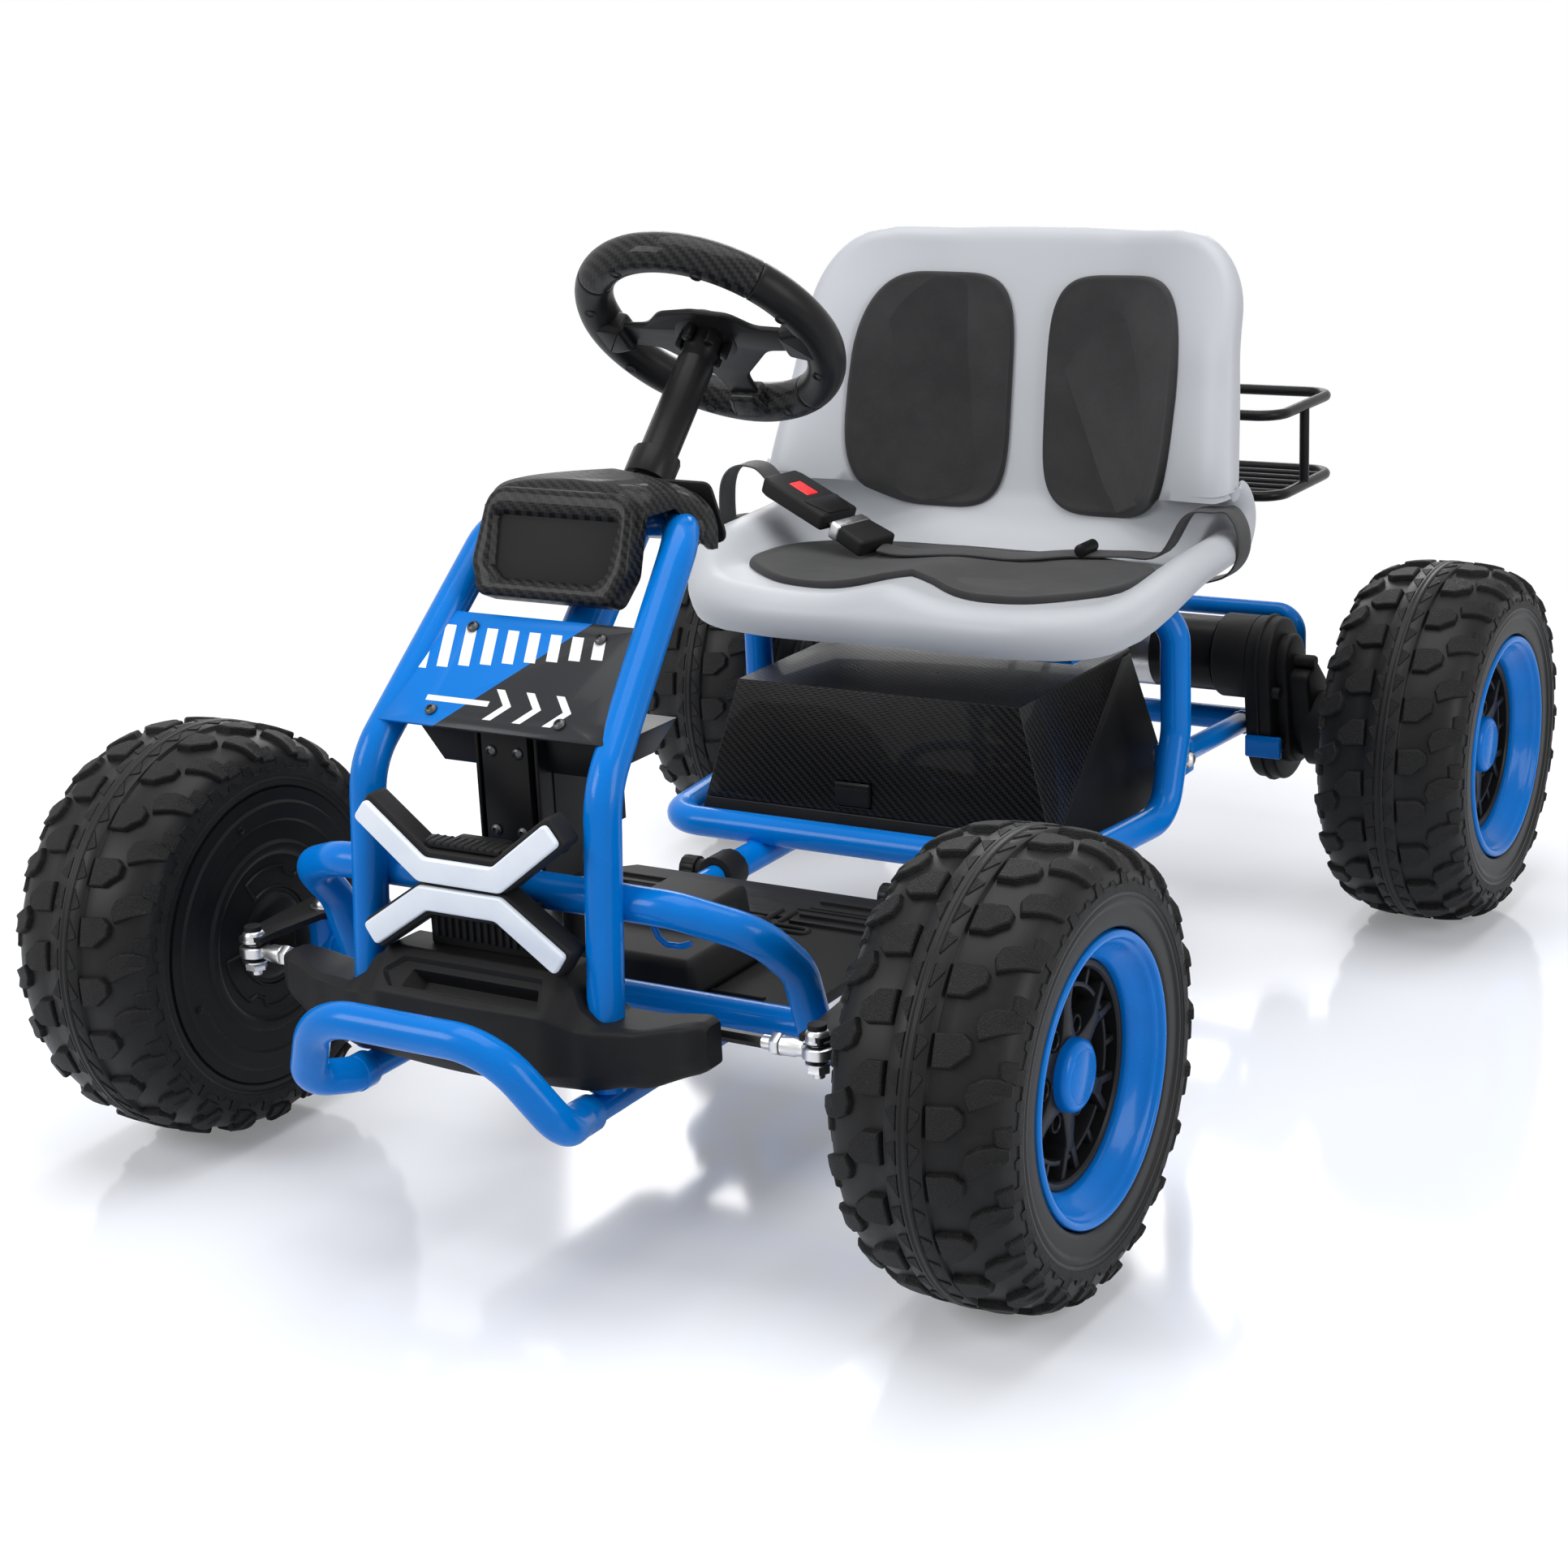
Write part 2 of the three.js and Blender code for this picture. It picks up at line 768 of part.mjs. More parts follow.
const cowlSolid = cut(
  cowlSkin(0),
  cowlSkin(cowl.wall),
  facePanel(panel.half, panelLow, panelHigh, 4 * cowl.wall, 2 * cowl.wall),
  rod(onColumn(column.lowerEnd), onColumn(0), column.outerRadius + clearance / 2),
  mastTube(2 * gap),
  block(
    driveSwitch.width + 2 * gap,
    4 * driveSwitch.depth,
    driveSwitch.height + 2 * gap,
    driveSwitch.x,
    switchY,
    driveSwitch.z,
  ),
);
place(front, 'cowl_shell', cowlSolid, paint.blackPlastic());
place(front, 'cowl_panel', facePanel(
  panel.half - gap,
  panelLow + gap,
  panelHigh - gap,
  cowl.wall,
  cowl.wall,
), paint.glossHood());

// Direction switch on the driver's side of the cowl
const switchPivot = vec(driveSwitch.x, switchY, driveSwitch.z);
place(front, 'drive_switch', join(
  rod(
    switchPivot.clone().add(vec(-driveSwitch.width / 2 + 2 * gap, 0, 0)),
    switchPivot.clone().add(vec(driveSwitch.width / 2 - 2 * gap, 0, 0)),
    driveSwitch.height / 2 - driveSwitch.proud / 2,
  ),
  block(
    driveSwitch.width - 4 * gap,
    driveSwitch.depth,
    driveSwitch.height - 2 * driveSwitch.proud,
    driveSwitch.x,
    switchY + driveSwitch.depth / 2,
    driveSwitch.z,
  ),
), paint.blackPlastic());

// Footboard: moulded boards on the rails, with raised ribs and an ear pair for the pedal
const boardPlan = [
  [-board.half, board.frontY + board.chamfer],
  [-board.half, boardRearY - board.chamfer / 2],
  [board.chamfer / 2 - board.half, boardRearY],
  [board.half - board.chamfer / 2, boardRearY],
  [board.half, boardRearY - board.chamfer / 2],
  [board.half, board.frontY + board.chamfer],
  [board.half - board.chamfer, board.frontY],
  [board.chamfer - board.half, board.frontY],
];
const pedal = {
  x: -108,
  width: 52,
  length: 72,
  thickness: 7,
  restDeg: 42,
  pivotShare: 0.577,
  barrelRadius: 5,
  pinRadius: 2.5,
  earThickness: 5,
};
const pedalPivotY = boardPlace(pedal.pivotShare);
const pedalPivotZ = board.topZ + pedal.barrelRadius + clearance / 2;
const ribRows = [...Array(board.ribCount).keys()].flatMap((i) => bothSides.map(({ side }) => block(
  board.ribLength,
  board.ribWidth,
  2 * board.ribHeight,
  side * board.ribX,
  boardRearY - board.chamfer - i * board.ribPitch,
  board.topZ,
)));
const pedalEars = [-1, 1].map((end) => block(
  pedal.earThickness,
  4 * pedal.barrelRadius,
  pedalPivotZ + pedal.barrelRadius - board.topZ + weld,
  pedal.x + end * (pedal.width / 2 + gap + pedal.earThickness / 2),
  pedalPivotY,
  (pedalPivotZ + pedal.barrelRadius + board.topZ - weld) / 2,
));
place(front, 'footboard', cut(
  join(
    plate(boardPlan, board.topZ - board.bottomZ).translate(0, 0, board.bottomZ),
    ...ribRows,
    ...pedalEars,
  ),
  block(2 * board.slotHalf, board.slotWidth, 4 * board.ribHeight + overrun, 0, crossY, board.topZ),
  rod(
    vec(pedal.x - pedal.width, pedalPivotY, pedalPivotZ),
    vec(pedal.x + pedal.width, pedalPivotY, pedalPivotZ),
    pedal.pinRadius + gap,
    thinSides,
  ),
), paint.blackPlastic());

// Pedal pod: the housing of the speed controller in the middle of the boards
const pod = {
  half: 76,
  frontShare: 0.046,
  rearShare: 0.523,
  shoulderHalf: 68,
  shoulderZ: 176,
  topHalf: 34,
  topFrontShare: 0.308,
  topRearShare: 0.596,
  topZ: 188,
};
const podFrontY = boardPlace(pod.frontShare);
const podRearY = boardPlace(pod.rearShare);
const podTopFrontY = boardPlace(pod.topFrontShare);
const podTopRearY = boardPlace(pod.topRearShare);
place(front, 'pedal_pod', join(
  tapered([
    [pod.half, podFrontY, podRearY, board.topZ + gap],
    [pod.shoulderHalf, podFrontY + board.ribWidth, podRearY - board.ribWidth, pod.shoulderZ],
  ]),
  tapered([
    [pod.topHalf + board.ribWidth, podTopFrontY - board.ribWidth, podTopRearY + gap, board.topZ + gap],
    [pod.topHalf, podTopFrontY, podTopRearY, pod.topZ],
  ]),
), paint.blackPlastic());

// Accelerator pedal: a sprung plate that turns on a pin between the ears
const pedalPlate = block(
  pedal.width - 2 * gap,
  pedal.length,
  pedal.thickness,
  0,
  -pedal.length / 2,
  0,
).rotateX(-degrees(pedal.restDeg)).translate(pedal.x, pedalPivotY, pedalPivotZ);
place(front, 'accelerator_pedal', join(
  pedalPlate,
  rod(
    vec(pedal.x - pedal.width / 2 + gap, pedalPivotY, pedalPivotZ),
    vec(pedal.x + pedal.width / 2 - gap, pedalPivotY, pedalPivotZ),
    pedal.barrelRadius,
    roundSides,
  ),
  rod(
    vec(pedal.x - pedal.width / 2 - pedal.earThickness, pedalPivotY, pedalPivotZ),
    vec(pedal.x + pedal.width / 2 + pedal.earThickness, pedalPivotY, pedalPivotZ),
    pedal.pinRadius,
    thinSides,
  ),
), paint.blackPlastic());

// Steering wheel, shaft and its ball ended joint; the group's Z axis is the column
const steer = {
  majorRadius: 90.5,
  rimRadius: 15,
  rimSides: 8,
  rimSteps: 30,
  spokeWidth: 26,
  spokeThickness: 6,
  spokeDrop: 6,
  hubRadius: 20.8,
  hubBelow: 30,
  sleeveRadius: 14,
  collarRadius: 18,
  collarLength: 22,
};
const steering = new THREE.Group();
steering.position.set(0, wheelCentreY, wheelCentreZ);
steering.rotation.x = -(Math.PI / 2 - columnTilt);
front.add(steering);
const wheelGrip = new THREE.TorusGeometry(
  steer.majorRadius,
  steer.rimRadius,
  steer.rimSides,
  steer.rimSteps,
);
const spokeAngles = [0, Math.PI, Math.PI / 2];
const spokeBars = spokeAngles.map((angle) => block(
  steer.majorRadius - gap - steer.spokeThickness,
  steer.spokeWidth,
  steer.spokeThickness,
  (steer.majorRadius - steer.spokeThickness) / 2,
  0,
  -steer.spokeDrop,
).rotateZ(angle));
const spokeSockets = spokeAngles.map((angle) => block(
  steer.majorRadius,
  steer.spokeWidth + 2 * gap,
  steer.spokeThickness + 2 * gap,
  steer.majorRadius / 2,
  0,
  -steer.spokeDrop,
).rotateZ(angle));
place(steering, 'steering_wheel_grip', cut(wheelGrip, ...spokeSockets), paint.blackPlastic());
const hubBottom = -steer.hubBelow;
place(steering, 'steering_wheel_spokes', join(
  ...spokeBars,
  rod(vec(0, 0, hubBottom), vec(0, 0, steer.spokeThickness), steer.hubRadius),
), paint.blackSteel());
const collarTop = -(column.upperEnd - gap - steer.collarLength);
place(steering, 'steering_shaft', join(
  rod(vec(0, 0, collarTop - overrun), vec(0, 0, hubBottom - gap), steer.sleeveRadius),
  rod(vec(0, 0, collarTop - steer.collarLength), vec(0, 0, collarTop), steer.collarRadius),
  rod(vec(0, 0, -jointBelow), vec(0, 0, collarTop - overrun), lowerShaft.radius),
  rod(vec(0, 0, -column.lowerEnd), vec(0, 0, collarTop - overrun), column.shaftRadius),
  new THREE.SphereGeometry(lowerShaft.jointRadius, roundSides, thinSides).translate(0, 0, -jointBelow),
), paint.blackSteel());

// Lower steering shaft with the pitman plate that pulls both track rods
const track = {
  armX: 8,
  armY: -71,
  rodZ: 177,
  rodRadius: 4.5,
  eyeRadius: 7.4,
  eyeHalf: 6,
  pinRadius: 3,
  endRadius: 11,
  endPinRadius: 4,
  boltHeadZ: 196,
  nutRadius: 6.5,
  nutThickness: 6,
};
const eyeTopZ = track.rodZ + track.eyeHalf;
const eyeBottomZ = track.rodZ - track.eyeHalf;
const cupSphere = new THREE.SphereGeometry(lowerShaft.jointRadius + 3 * gap, roundSides, thinSides)
  .translate(...jointCentre.toArray());
const cupTopZ = jointCentre.z - lowerShaft.jointRadius * lowerShaft.cupOpenShare;
// Corners of a flat arm's rounded end, as shares of its radius
const nearShare = 0.6;
const farShare = 0.8;
const flankShare = 0.5;
const pitmanPlan = [
  [-pitman.bushRadius, 0],
  [-track.armX - track.eyeRadius, track.armY],
  [-track.armX - track.eyeRadius * nearShare, track.armY - track.eyeRadius * farShare],
  [track.armX + track.eyeRadius * nearShare, track.armY - track.eyeRadius * farShare],
  [track.armX + track.eyeRadius, track.armY],
  [pitman.bushRadius, 0],
  [pitman.bushRadius * nearShare, pitman.bushRadius * farShare],
  [-pitman.bushRadius * nearShare, pitman.bushRadius * farShare],
];
place(front, 'pitman_shaft', cut(
  join(
    rod(vec(0, 0, axleZ + gap), vec(0, 0, pitman.plateTopZ), pitman.pinRadius),
    rod(vec(0, 0, pitmanPlateZ + gap), vec(0, 0, cupTopZ - lowerShaft.jointRadius), lowerShaft.radius),
    rod(
      vec(0, 0, cupTopZ - 2 * lowerShaft.jointRadius),
      vec(0, 0, cupTopZ),
      lowerShaft.jointRadius + lowerShaft.cupWall,
    ),
    plate(pitmanPlan, pitman.plateThickness).translate(0, 0, pitmanPlateZ),
    ...bothSides.map(({ side }) => rod(
      vec(side * track.armX, track.armY, eyeBottomZ),
      vec(side * track.armX, track.armY, pitman.plateTopZ - weld),
      track.pinRadius,
      tubeSides,
    )),
  ),
  cupSphere,
), paint.blackSteel());

// Front wheel carriers: a yoke round each kingpin sleeve, its steering arm, and the track rods
const yoke = {
  plateThickness: 5,
  reach: 24,
  half: 14,
  stubRadius: 8,
  stubEnd: halfTrack + 16,
};
const yokeTopZ = kingpin.sleeveTopZ + gap;
const yokeBottomZ = kingpin.sleeveBottomZ - gap;
const yokeUnderZ = yokeBottomZ - yoke.plateThickness;
const nutTopZ = eyeBottomZ - gap;
for (const { side, name } of bothSides) {
  const tipX = side * (kingpin.x + track.armX);
  const tipY = track.armY;
  const yokePlan = [
    [-yoke.half, 0],
    [-yoke.half * nearShare, -yoke.half],
    [track.armX - track.endRadius, track.armY + track.endRadius],
    [track.armX - track.endRadius, track.armY - track.endRadius * flankShare],
    [track.armX + track.endRadius * nearShare, track.armY - track.endRadius * farShare],
    [track.armX + track.endRadius, track.armY + track.endRadius * flankShare],
    [yoke.reach, -yoke.half],
    [yoke.reach, yoke.half],
    [-yoke.half * nearShare, yoke.half],
  ];
  const lowerPlan = [
    [-yoke.half * nearShare, -yoke.half],
    [yoke.reach, -yoke.half],
    [yoke.reach, yoke.half],
    [-yoke.half * nearShare, yoke.half],
  ];
  const flip = (plan) => (side > 0 ? plan : plan.map(([x, y]) => [-x, y]).reverse());
  place(front, `knuckle_${name}`, join(
    plate(flip(yokePlan), yoke.plateThickness).translate(side * kingpin.x, 0, yokeTopZ),
    plate(flip(lowerPlan), yoke.plateThickness).translate(side * kingpin.x, 0, yokeUnderZ),
    block(
      yoke.plateThickness,
      2 * yoke.half,
      yokeTopZ - yokeBottomZ + 2 * yoke.plateThickness,
      side * (kingpin.x + yoke.reach - yoke.plateThickness / 2),
      0,
      (yokeTopZ + yokeBottomZ) / 2,
    ),
    rod(
      vec(side * kingpin.x, 0, yokeUnderZ - track.nutThickness),
      vec(side * kingpin.x, 0, yokeTopZ + yoke.plateThickness + track.nutThickness),
      kingpin.radius,
    ),
    rod(
      vec(side * (kingpin.x + yoke.reach - weld), 0, axleZ),
      vec(side * yoke.stubEnd, 0, axleZ),
      yoke.stubRadius,
    ),
    rod(
      vec(tipX, tipY, nutTopZ - track.nutThickness),
      vec(tipX, tipY, track.boltHeadZ),
      track.endPinRadius,
    ),
    rod(
      vec(tipX, tipY, nutTopZ - track.nutThickness),
      vec(tipX, tipY, nutTopZ),
      track.nutRadius,
      thinSides,
    ),
    rod(
      vec(tipX, tipY, yokeTopZ + yoke.plateThickness - weld),
      vec(tipX, tipY, track.boltHeadZ),
      track.nutRadius,
    ),
  ), paint.blackSteel());

  place(front, `tie_rod_${name}`, cut(
    join(
      rod(vec(tipX, tipY, eyeBottomZ), vec(tipX, tipY, eyeTopZ), track.endRadius),
      rod(
        vec(side * track.armX, tipY, eyeBottomZ),
        vec(side * track.armX, tipY, eyeTopZ),
        track.eyeRadius,
      ),
      rod(
        vec(side * (track.armX + track.eyeRadius / 2), tipY, track.rodZ),
        vec(tipX - side * track.endRadius / 2, tipY, track.rodZ),
        track.rodRadius,
        thinSides,
      ),
    ),
    rod(
      vec(tipX, tipY, eyeBottomZ - overrun),
      vec(tipX, tipY, eyeTopZ + overrun),
      track.endPinRadius + gap,
    ),
    rod(
      vec(side * track.armX, tipY, eyeBottomZ - overrun),
      vec(side * track.armX, tipY, eyeTopZ + overrun),
      track.pinRadius + gap,
      tubeSides,
    ),
  ), paint.blackSteel());
}

// Wheels: a knobbly tyre, a deep blue rim, and a black hub with six double spokes and an inner disc
const tyre = {
  half: tyreWidth / 2,
  boreRadius: 97.8,
  sidewallRadius: 136,
  beadHalf: 56,
  wallInnerRadius: 112,
  edgeHalf: 52,
  edgeRadius: 152,
  midHalf: 33,
  midRadius: 156.5,
  ribHalf: 12,
  lugDepth: 6,
};
const rim = {
  lipHalf: 62,
  lipRadius: tyre.boreRadius * Math.cos(Math.PI / wheelFacets) - gap,
  lipInnerRadius: 92,
  seatHalf: 14,
  throatRadius: 76,
  throatHalf: 43,
};
const hub = {
  discRadius: 113,
  discThickness: 4,
  barrelRadius: tyre.boreRadius * Math.cos(Math.PI / wheelFacets) - gap,
  barrelWall: 5,
  barrelEnd: 13,
  insertRadius: rim.throatRadius * Math.cos(Math.PI / wheelSides) - gap,
  insertInner: 70,
  insertEnd: 40,
  insertBack: 8,
  bossRadius: 22,
  bossEnd: 36,
  capRadius: 25,
  capEnd: 47,
  capTaper: 5,
  spokeBack: 29,
  spokeFront: 38,
  spokeCount: 6,
  spokeWidth: 24,
};
const axle = { radius: yoke.stubRadius };

function tyreGeometry() {
  const t = tyre;
  const half = [
    [t.beadHalf, t.boreRadius],
    [t.half, t.wallInnerRadius],
    [t.half, t.sidewallRadius],
    [t.edgeHalf, t.edgeRadius],
    [t.midHalf, t.midRadius],
    [t.ribHalf, wheelRadius],
  ];
  const lugRows = [3, 4];
  const left = half.map(([along, radius]) => [-along, radius]).reverse();
  const profile = [...half, ...left];
  const lug = (row) => lugRows.includes(row) || lugRows.includes(profile.length - 1 - row);
  const rings = [...Array(wheelFacets).keys()].map((i) => profile.map(([along, radius], row) => {
    const angle = (2 * Math.PI * (i + 0.5)) / wheelFacets;
    const low = lug(row) && (i + (along > 0 ? 0 : 1)) % 2 === 0;
    const r = radius - (low ? t.lugDepth : 0);
    return vec(along, r * Math.sin(angle), -r * Math.cos(angle));
  }));
  return skin(rings, true);
}

function rimGeometry() {
  return turned([
    [rim.seatHalf, rim.lipRadius],
    [rim.lipHalf, rim.lipRadius],
    [rim.lipHalf, rim.lipInnerRadius],
    [rim.throatHalf, rim.throatRadius],
    [rim.seatHalf, rim.throatRadius],
    [rim.seatHalf, rim.lipRadius],
  ], wheelSides);
}

function hubGeometry() {
  const h = hub;
  const back = -tyre.half - gap;
  const barrelInner = h.barrelRadius - h.barrelWall;
  const spokeEnd = (h.insertInner + h.insertRadius) / 2;
  const shell = turned([
    [back - h.discThickness, 0],
    [back - h.discThickness, h.discRadius],
    [back, h.discRadius],
    [back, h.barrelRadius],
    [h.barrelEnd, h.barrelRadius],
    [h.barrelEnd, h.insertRadius],
    [h.insertEnd, h.insertRadius],
    [h.insertEnd, h.insertInner],
    [h.insertBack, h.insertInner],
    [h.insertBack, barrelInner],
    [back + h.barrelWall, barrelInner],
    [back + h.barrelWall, h.bossRadius],
    [h.bossEnd, h.bossRadius],
    [h.bossEnd, h.capRadius],
    [h.capEnd, h.capRadius - h.capTaper],
    [h.capEnd, 0],
  ], wheelSides);
  const spokes = [...Array(h.spokeCount).keys()].map((i) => block(
    h.spokeFront - h.spokeBack,
    h.spokeWidth,
    spokeEnd - h.bossRadius / 2,
    (h.spokeFront + h.spokeBack) / 2,
    0,
    (spokeEnd + h.bossRadius / 2) / 2,
  ).rotateX((2 * Math.PI * i) / h.spokeCount));
  const bore = rod(
    vec(back - h.discThickness - overrun, 0, 0),
    vec(yoke.stubEnd - halfTrack + gap, 0, 0),
    axle.radius + gap,
  );
  return cut(join(shell, ...spokes), bore);
}

const wheelPlaces = [
  { name: 'front_left', side: 1, end: front },
  { name: 'front_right', side: -1, end: front },
  { name: 'rear_left', side: 1, end: back },
  { name: 'rear_right', side: -1, end: back },
];
for (const { name, side, end } of wheelPlaces) {
  const wheel = new THREE.Group();
  wheel.position.set(side * halfTrack, 0, axleZ);
  wheel.rotation.z = side > 0 ? 0 : Math.PI;
  end.add(wheel);
  place(wheel, `tyre_${name}`, tyreGeometry(), paint.tyre());
  place(wheel, `rim_${name}`, rimGeometry(), paint.bluePlastic());
  place(wheel, `hub_${name}`, hubGeometry(), paint.blackPlastic());
}

// Rear cradle: one tube round the battery box and up under the seat, on two sockets that take the rails
const cradle = {
  ringZ: 150,
  frontY: -438.5,
  frontHalf: 184,
  sideX: 203,
  kneeY: -277.5,
  uprightY: -251.5,
  hipZ: 321,
  topY: -259.5,
  topX: 146,
  bend: 34,
  socketRadius: 12.5,
  socketFrontY: -485.5,
  socketRearY: -307.5,
};
const cradlePoints = [
  vec(cradle.frontHalf, cradle.frontY, cradle.ringZ),
  vec(cradle.sideX, cradle.kneeY, cradle.ringZ),
  vec(cradle.sideX, cradle.uprightY, cradle.ringZ + 2 * cradle.bend),
  vec(cradle.sideX, cradle.uprightY, cradle.hipZ),
  vec(cradle.topX, cradle.topY, cradle.hipZ),
];
place(back, 'cradle_tube', cut(
  join(
    bentTube(mirrored(cradlePoints), cradle.bend, tubeRadius),
    ...bothSides.map(({ side }) => rod(
      vec(side * railX, cradle.socketFrontY, railZ),
      vec(side * railX, cradle.socketRearY, railZ),
      cradle.socketRadius,
      tubeSides,
    )),
  ),
  ...bothSides.map(({ side }) => rod(
    vec(side * railX, cradle.socketFrontY - overrun, railZ),
    vec(side * railX, cradle.socketRearY + overrun, railZ),
    railRadius + gap,
    tubeSides,
  )),
), paint.blueSteel());

// Clamp collars and their star knobs at the mouths of the sockets
const collar = {
  radius: 17,
  length: 26,
  knobRadius: 11,
  knobLength: 14,
  knobSides: 12,
  stemRadius: 4,
  stemLength: 6,
  bossRadius: 9,
};
const collarY = cradle.socketFrontY - gap - collar.length / 2;
for (const { side, name } of bothSides) {
  const centre = vec(side * railX, collarY, railZ);
  const bossEnd = centre.x - collar.radius - collar.stemLength;
  place(back, `clamp_collar_${name}`, cut(
    join(
      rod(
        centre.clone().add(vec(0, -collar.length / 2, 0)),
        centre.clone().add(vec(0, collar.length / 2, 0)),
        collar.radius,
      ),
      rod(centre, vec(bossEnd, collarY, railZ), collar.bossRadius),
    ),
    rod(
      centre.clone().add(vec(0, -collar.length, 0)),
      centre.clone().add(vec(0, collar.length, 0)),
      railRadius + gap,
      tubeSides,
    ),
    rod(
      vec(centre.x - railRadius, collarY, railZ),
      vec(bossEnd - overrun, collarY, railZ),
      collar.stemRadius + 2 * gap,
      tubeSides,
    ),
  ), paint.blackPlastic());
  place(back, `clamp_knob_${name}`, join(
    rod(
      vec(centre.x - railRadius - 2 * gap, collarY, railZ),
      vec(bossEnd - collar.knobLength / 2, collarY, railZ),
      collar.stemRadius,
      tubeSides,
    ),
    rod(
      vec(bossEnd - gap - collar.knobLength, collarY, railZ),
      vec(bossEnd - gap, collarY, railZ),
      collar.knobRadius,
      collar.knobSides,
    ),
  ), paint.blackPlastic());
}

// Battery box: a lower housing with side cheeks, a pull-off hood, and the battery inside
const box = {
  bottomZ: railZ + cradle.socketRadius + gap,
  topZ: 268,
  hoodBottomZ: cradle.ringZ + tubeRadius + clearance,
  bottomHalf: 170,
  topHalf: 132,
  bottomFrontY: -414.5,
  topFrontY: -400.5,
  rearY: -181.5,
  topRearY: -187.5,
  wall: 3,
  seamLowY: -393.5,
  seamHighY: -205.5,
};
function boxForm(inset, low, high) {
  return tapered([
    [box.bottomHalf - inset, box.bottomFrontY + inset, box.rearY - inset, low],
    [box.topHalf - inset, box.topFrontY + inset, box.topRearY - inset, high],
  ]);
}
// The hood is the part of the form in front of a sloping seam; the rest stays with the housing
const seamTopZ = box.topZ - box.wall - 4 * gap;
const seamShape = (shift) => skin([-box.bottomHalf - overrun, box.bottomHalf + overrun].map((x) => [
  vec(x, box.bottomFrontY - 2 * overrun, box.hoodBottomZ + shift),
  vec(x, box.seamLowY - shift, box.hoodBottomZ + shift),
  vec(x, box.seamHighY - shift, seamTopZ + shift),
  vec(x, box.rearY + overrun, seamTopZ + shift),
  vec(x, box.rearY + overrun, box.topZ + 2 * overrun),
  vec(x, box.bottomFrontY - 2 * overrun, box.topZ + 2 * overrun),
]));
const boxOuter = boxForm(0, box.bottomZ, box.topZ);
const boxInner = boxForm(box.wall, box.bottomZ + box.wall, box.topZ - box.wall);
const boxShell = cut(boxOuter, boxInner);
const latch = {
  x: -18,
  half: 16,
  height: 20,
  thickness: 5,
  z: 172,
  pinRadius: 2.5,
};
const latchY = box.bottomFrontY + latch.thickness / 2;
const latchPinZ = latch.z + latch.height - latch.pinRadius - gap;
const latchFlap = latch.height - latch.pinRadius - clearance;
const latchPocket = block(
  2 * latch.half + 2 * gap,
  2 * latch.thickness + 3 * clearance,
  latch.height + clearance,
  latch.x,
  box.bottomFrontY,
  latch.z + (latch.height - clearance) / 2,
);
place(back, 'battery_box', cut(boxShell, seamShape(-gap)), paint.blackPlastic());
place(back, 'battery_hood', cut(common(boxShell, seamShape(gap)), latchPocket), paint.glossHood());
place(back, 'hood_latch', join(
  rod(
    vec(latch.x - latch.half, latchY, latchPinZ),
    vec(latch.x + latch.half, latchY, latchPinZ),
    latch.pinRadius,
    thinSides,
  ),
  block(
    2 * latch.half - 2 * gap,
    latch.thickness,
    latchFlap,
    latch.x,
    latchY,
    latch.z + latchFlap / 2,
  ),
), paint.blackPlastic());
const battery = { half: 75, frontY: -341.5, rearY: -243.5, height: 96 };
place(back, 'battery', block(
  2 * battery.half,
  battery.rearY - battery.frontY,
  battery.height,
  0,
  (battery.rearY + battery.frontY) / 2,
  box.bottomZ + box.wall + gap + battery.height / 2,
), paint.blackPlastic());

// Rear frame: side stays bolted to the cradle, the axle tube and axle, and a hoop over the motors
const rear = {
  bracketY: -214.5,
  stayX: 190,
  stayZ: 186,
  stayEndInset: 182,
  stayRadius: 9.5,
  tubeRadius: 11,
  tubeInset: 174,
  hoopRadius: 8,
  hoopY: 32.5,
  hoopZ: 256,
  hoopInset: 146,
  hoopFootZ: 216,
  hoopBend: 26,
  strutInset: 18,
  stemX: 18,
  bracketHalf: 14,
  bracketWall: 3,
  bracketFrontY: -262.5,
  bracketRearY: -210.5,
};
const motor = {
  radius: 34,
  innerShare: 0.387,
  outerInset: 196,
  y: -19.5,
  z: 225,
};
const motorOuterX = halfTrack - motor.outerInset;
const motorInnerX = motor.innerShare * motorOuterX;
const strutX = motorInnerX - rear.strutInset;
const hoopX = halfTrack - rear.hoopInset;
const axleTubeEnd = halfTrack - rear.tubeInset;
const hoopPoints = [
  vec(hoopX, rear.hoopY, rear.hoopZ),
  vec(hoopX, rear.hoopY, rear.hoopFootZ),
];
const basket = {
  half: 150,
  frontY: 108.5,
  topZ: 421,
  bottomZ: 345,
  rodRadius: 5,
  floorRadius: 3,
  corner: 24,
  sideY: 177.5,
  floorRods: 4,
};
const stemFlat = rear.hoopRadius * Math.cos(Math.PI / thinSides);
const stemTop = vec(rear.stemX, basket.frontY, basket.bottomZ - basket.rodRadius - stemFlat - gap);
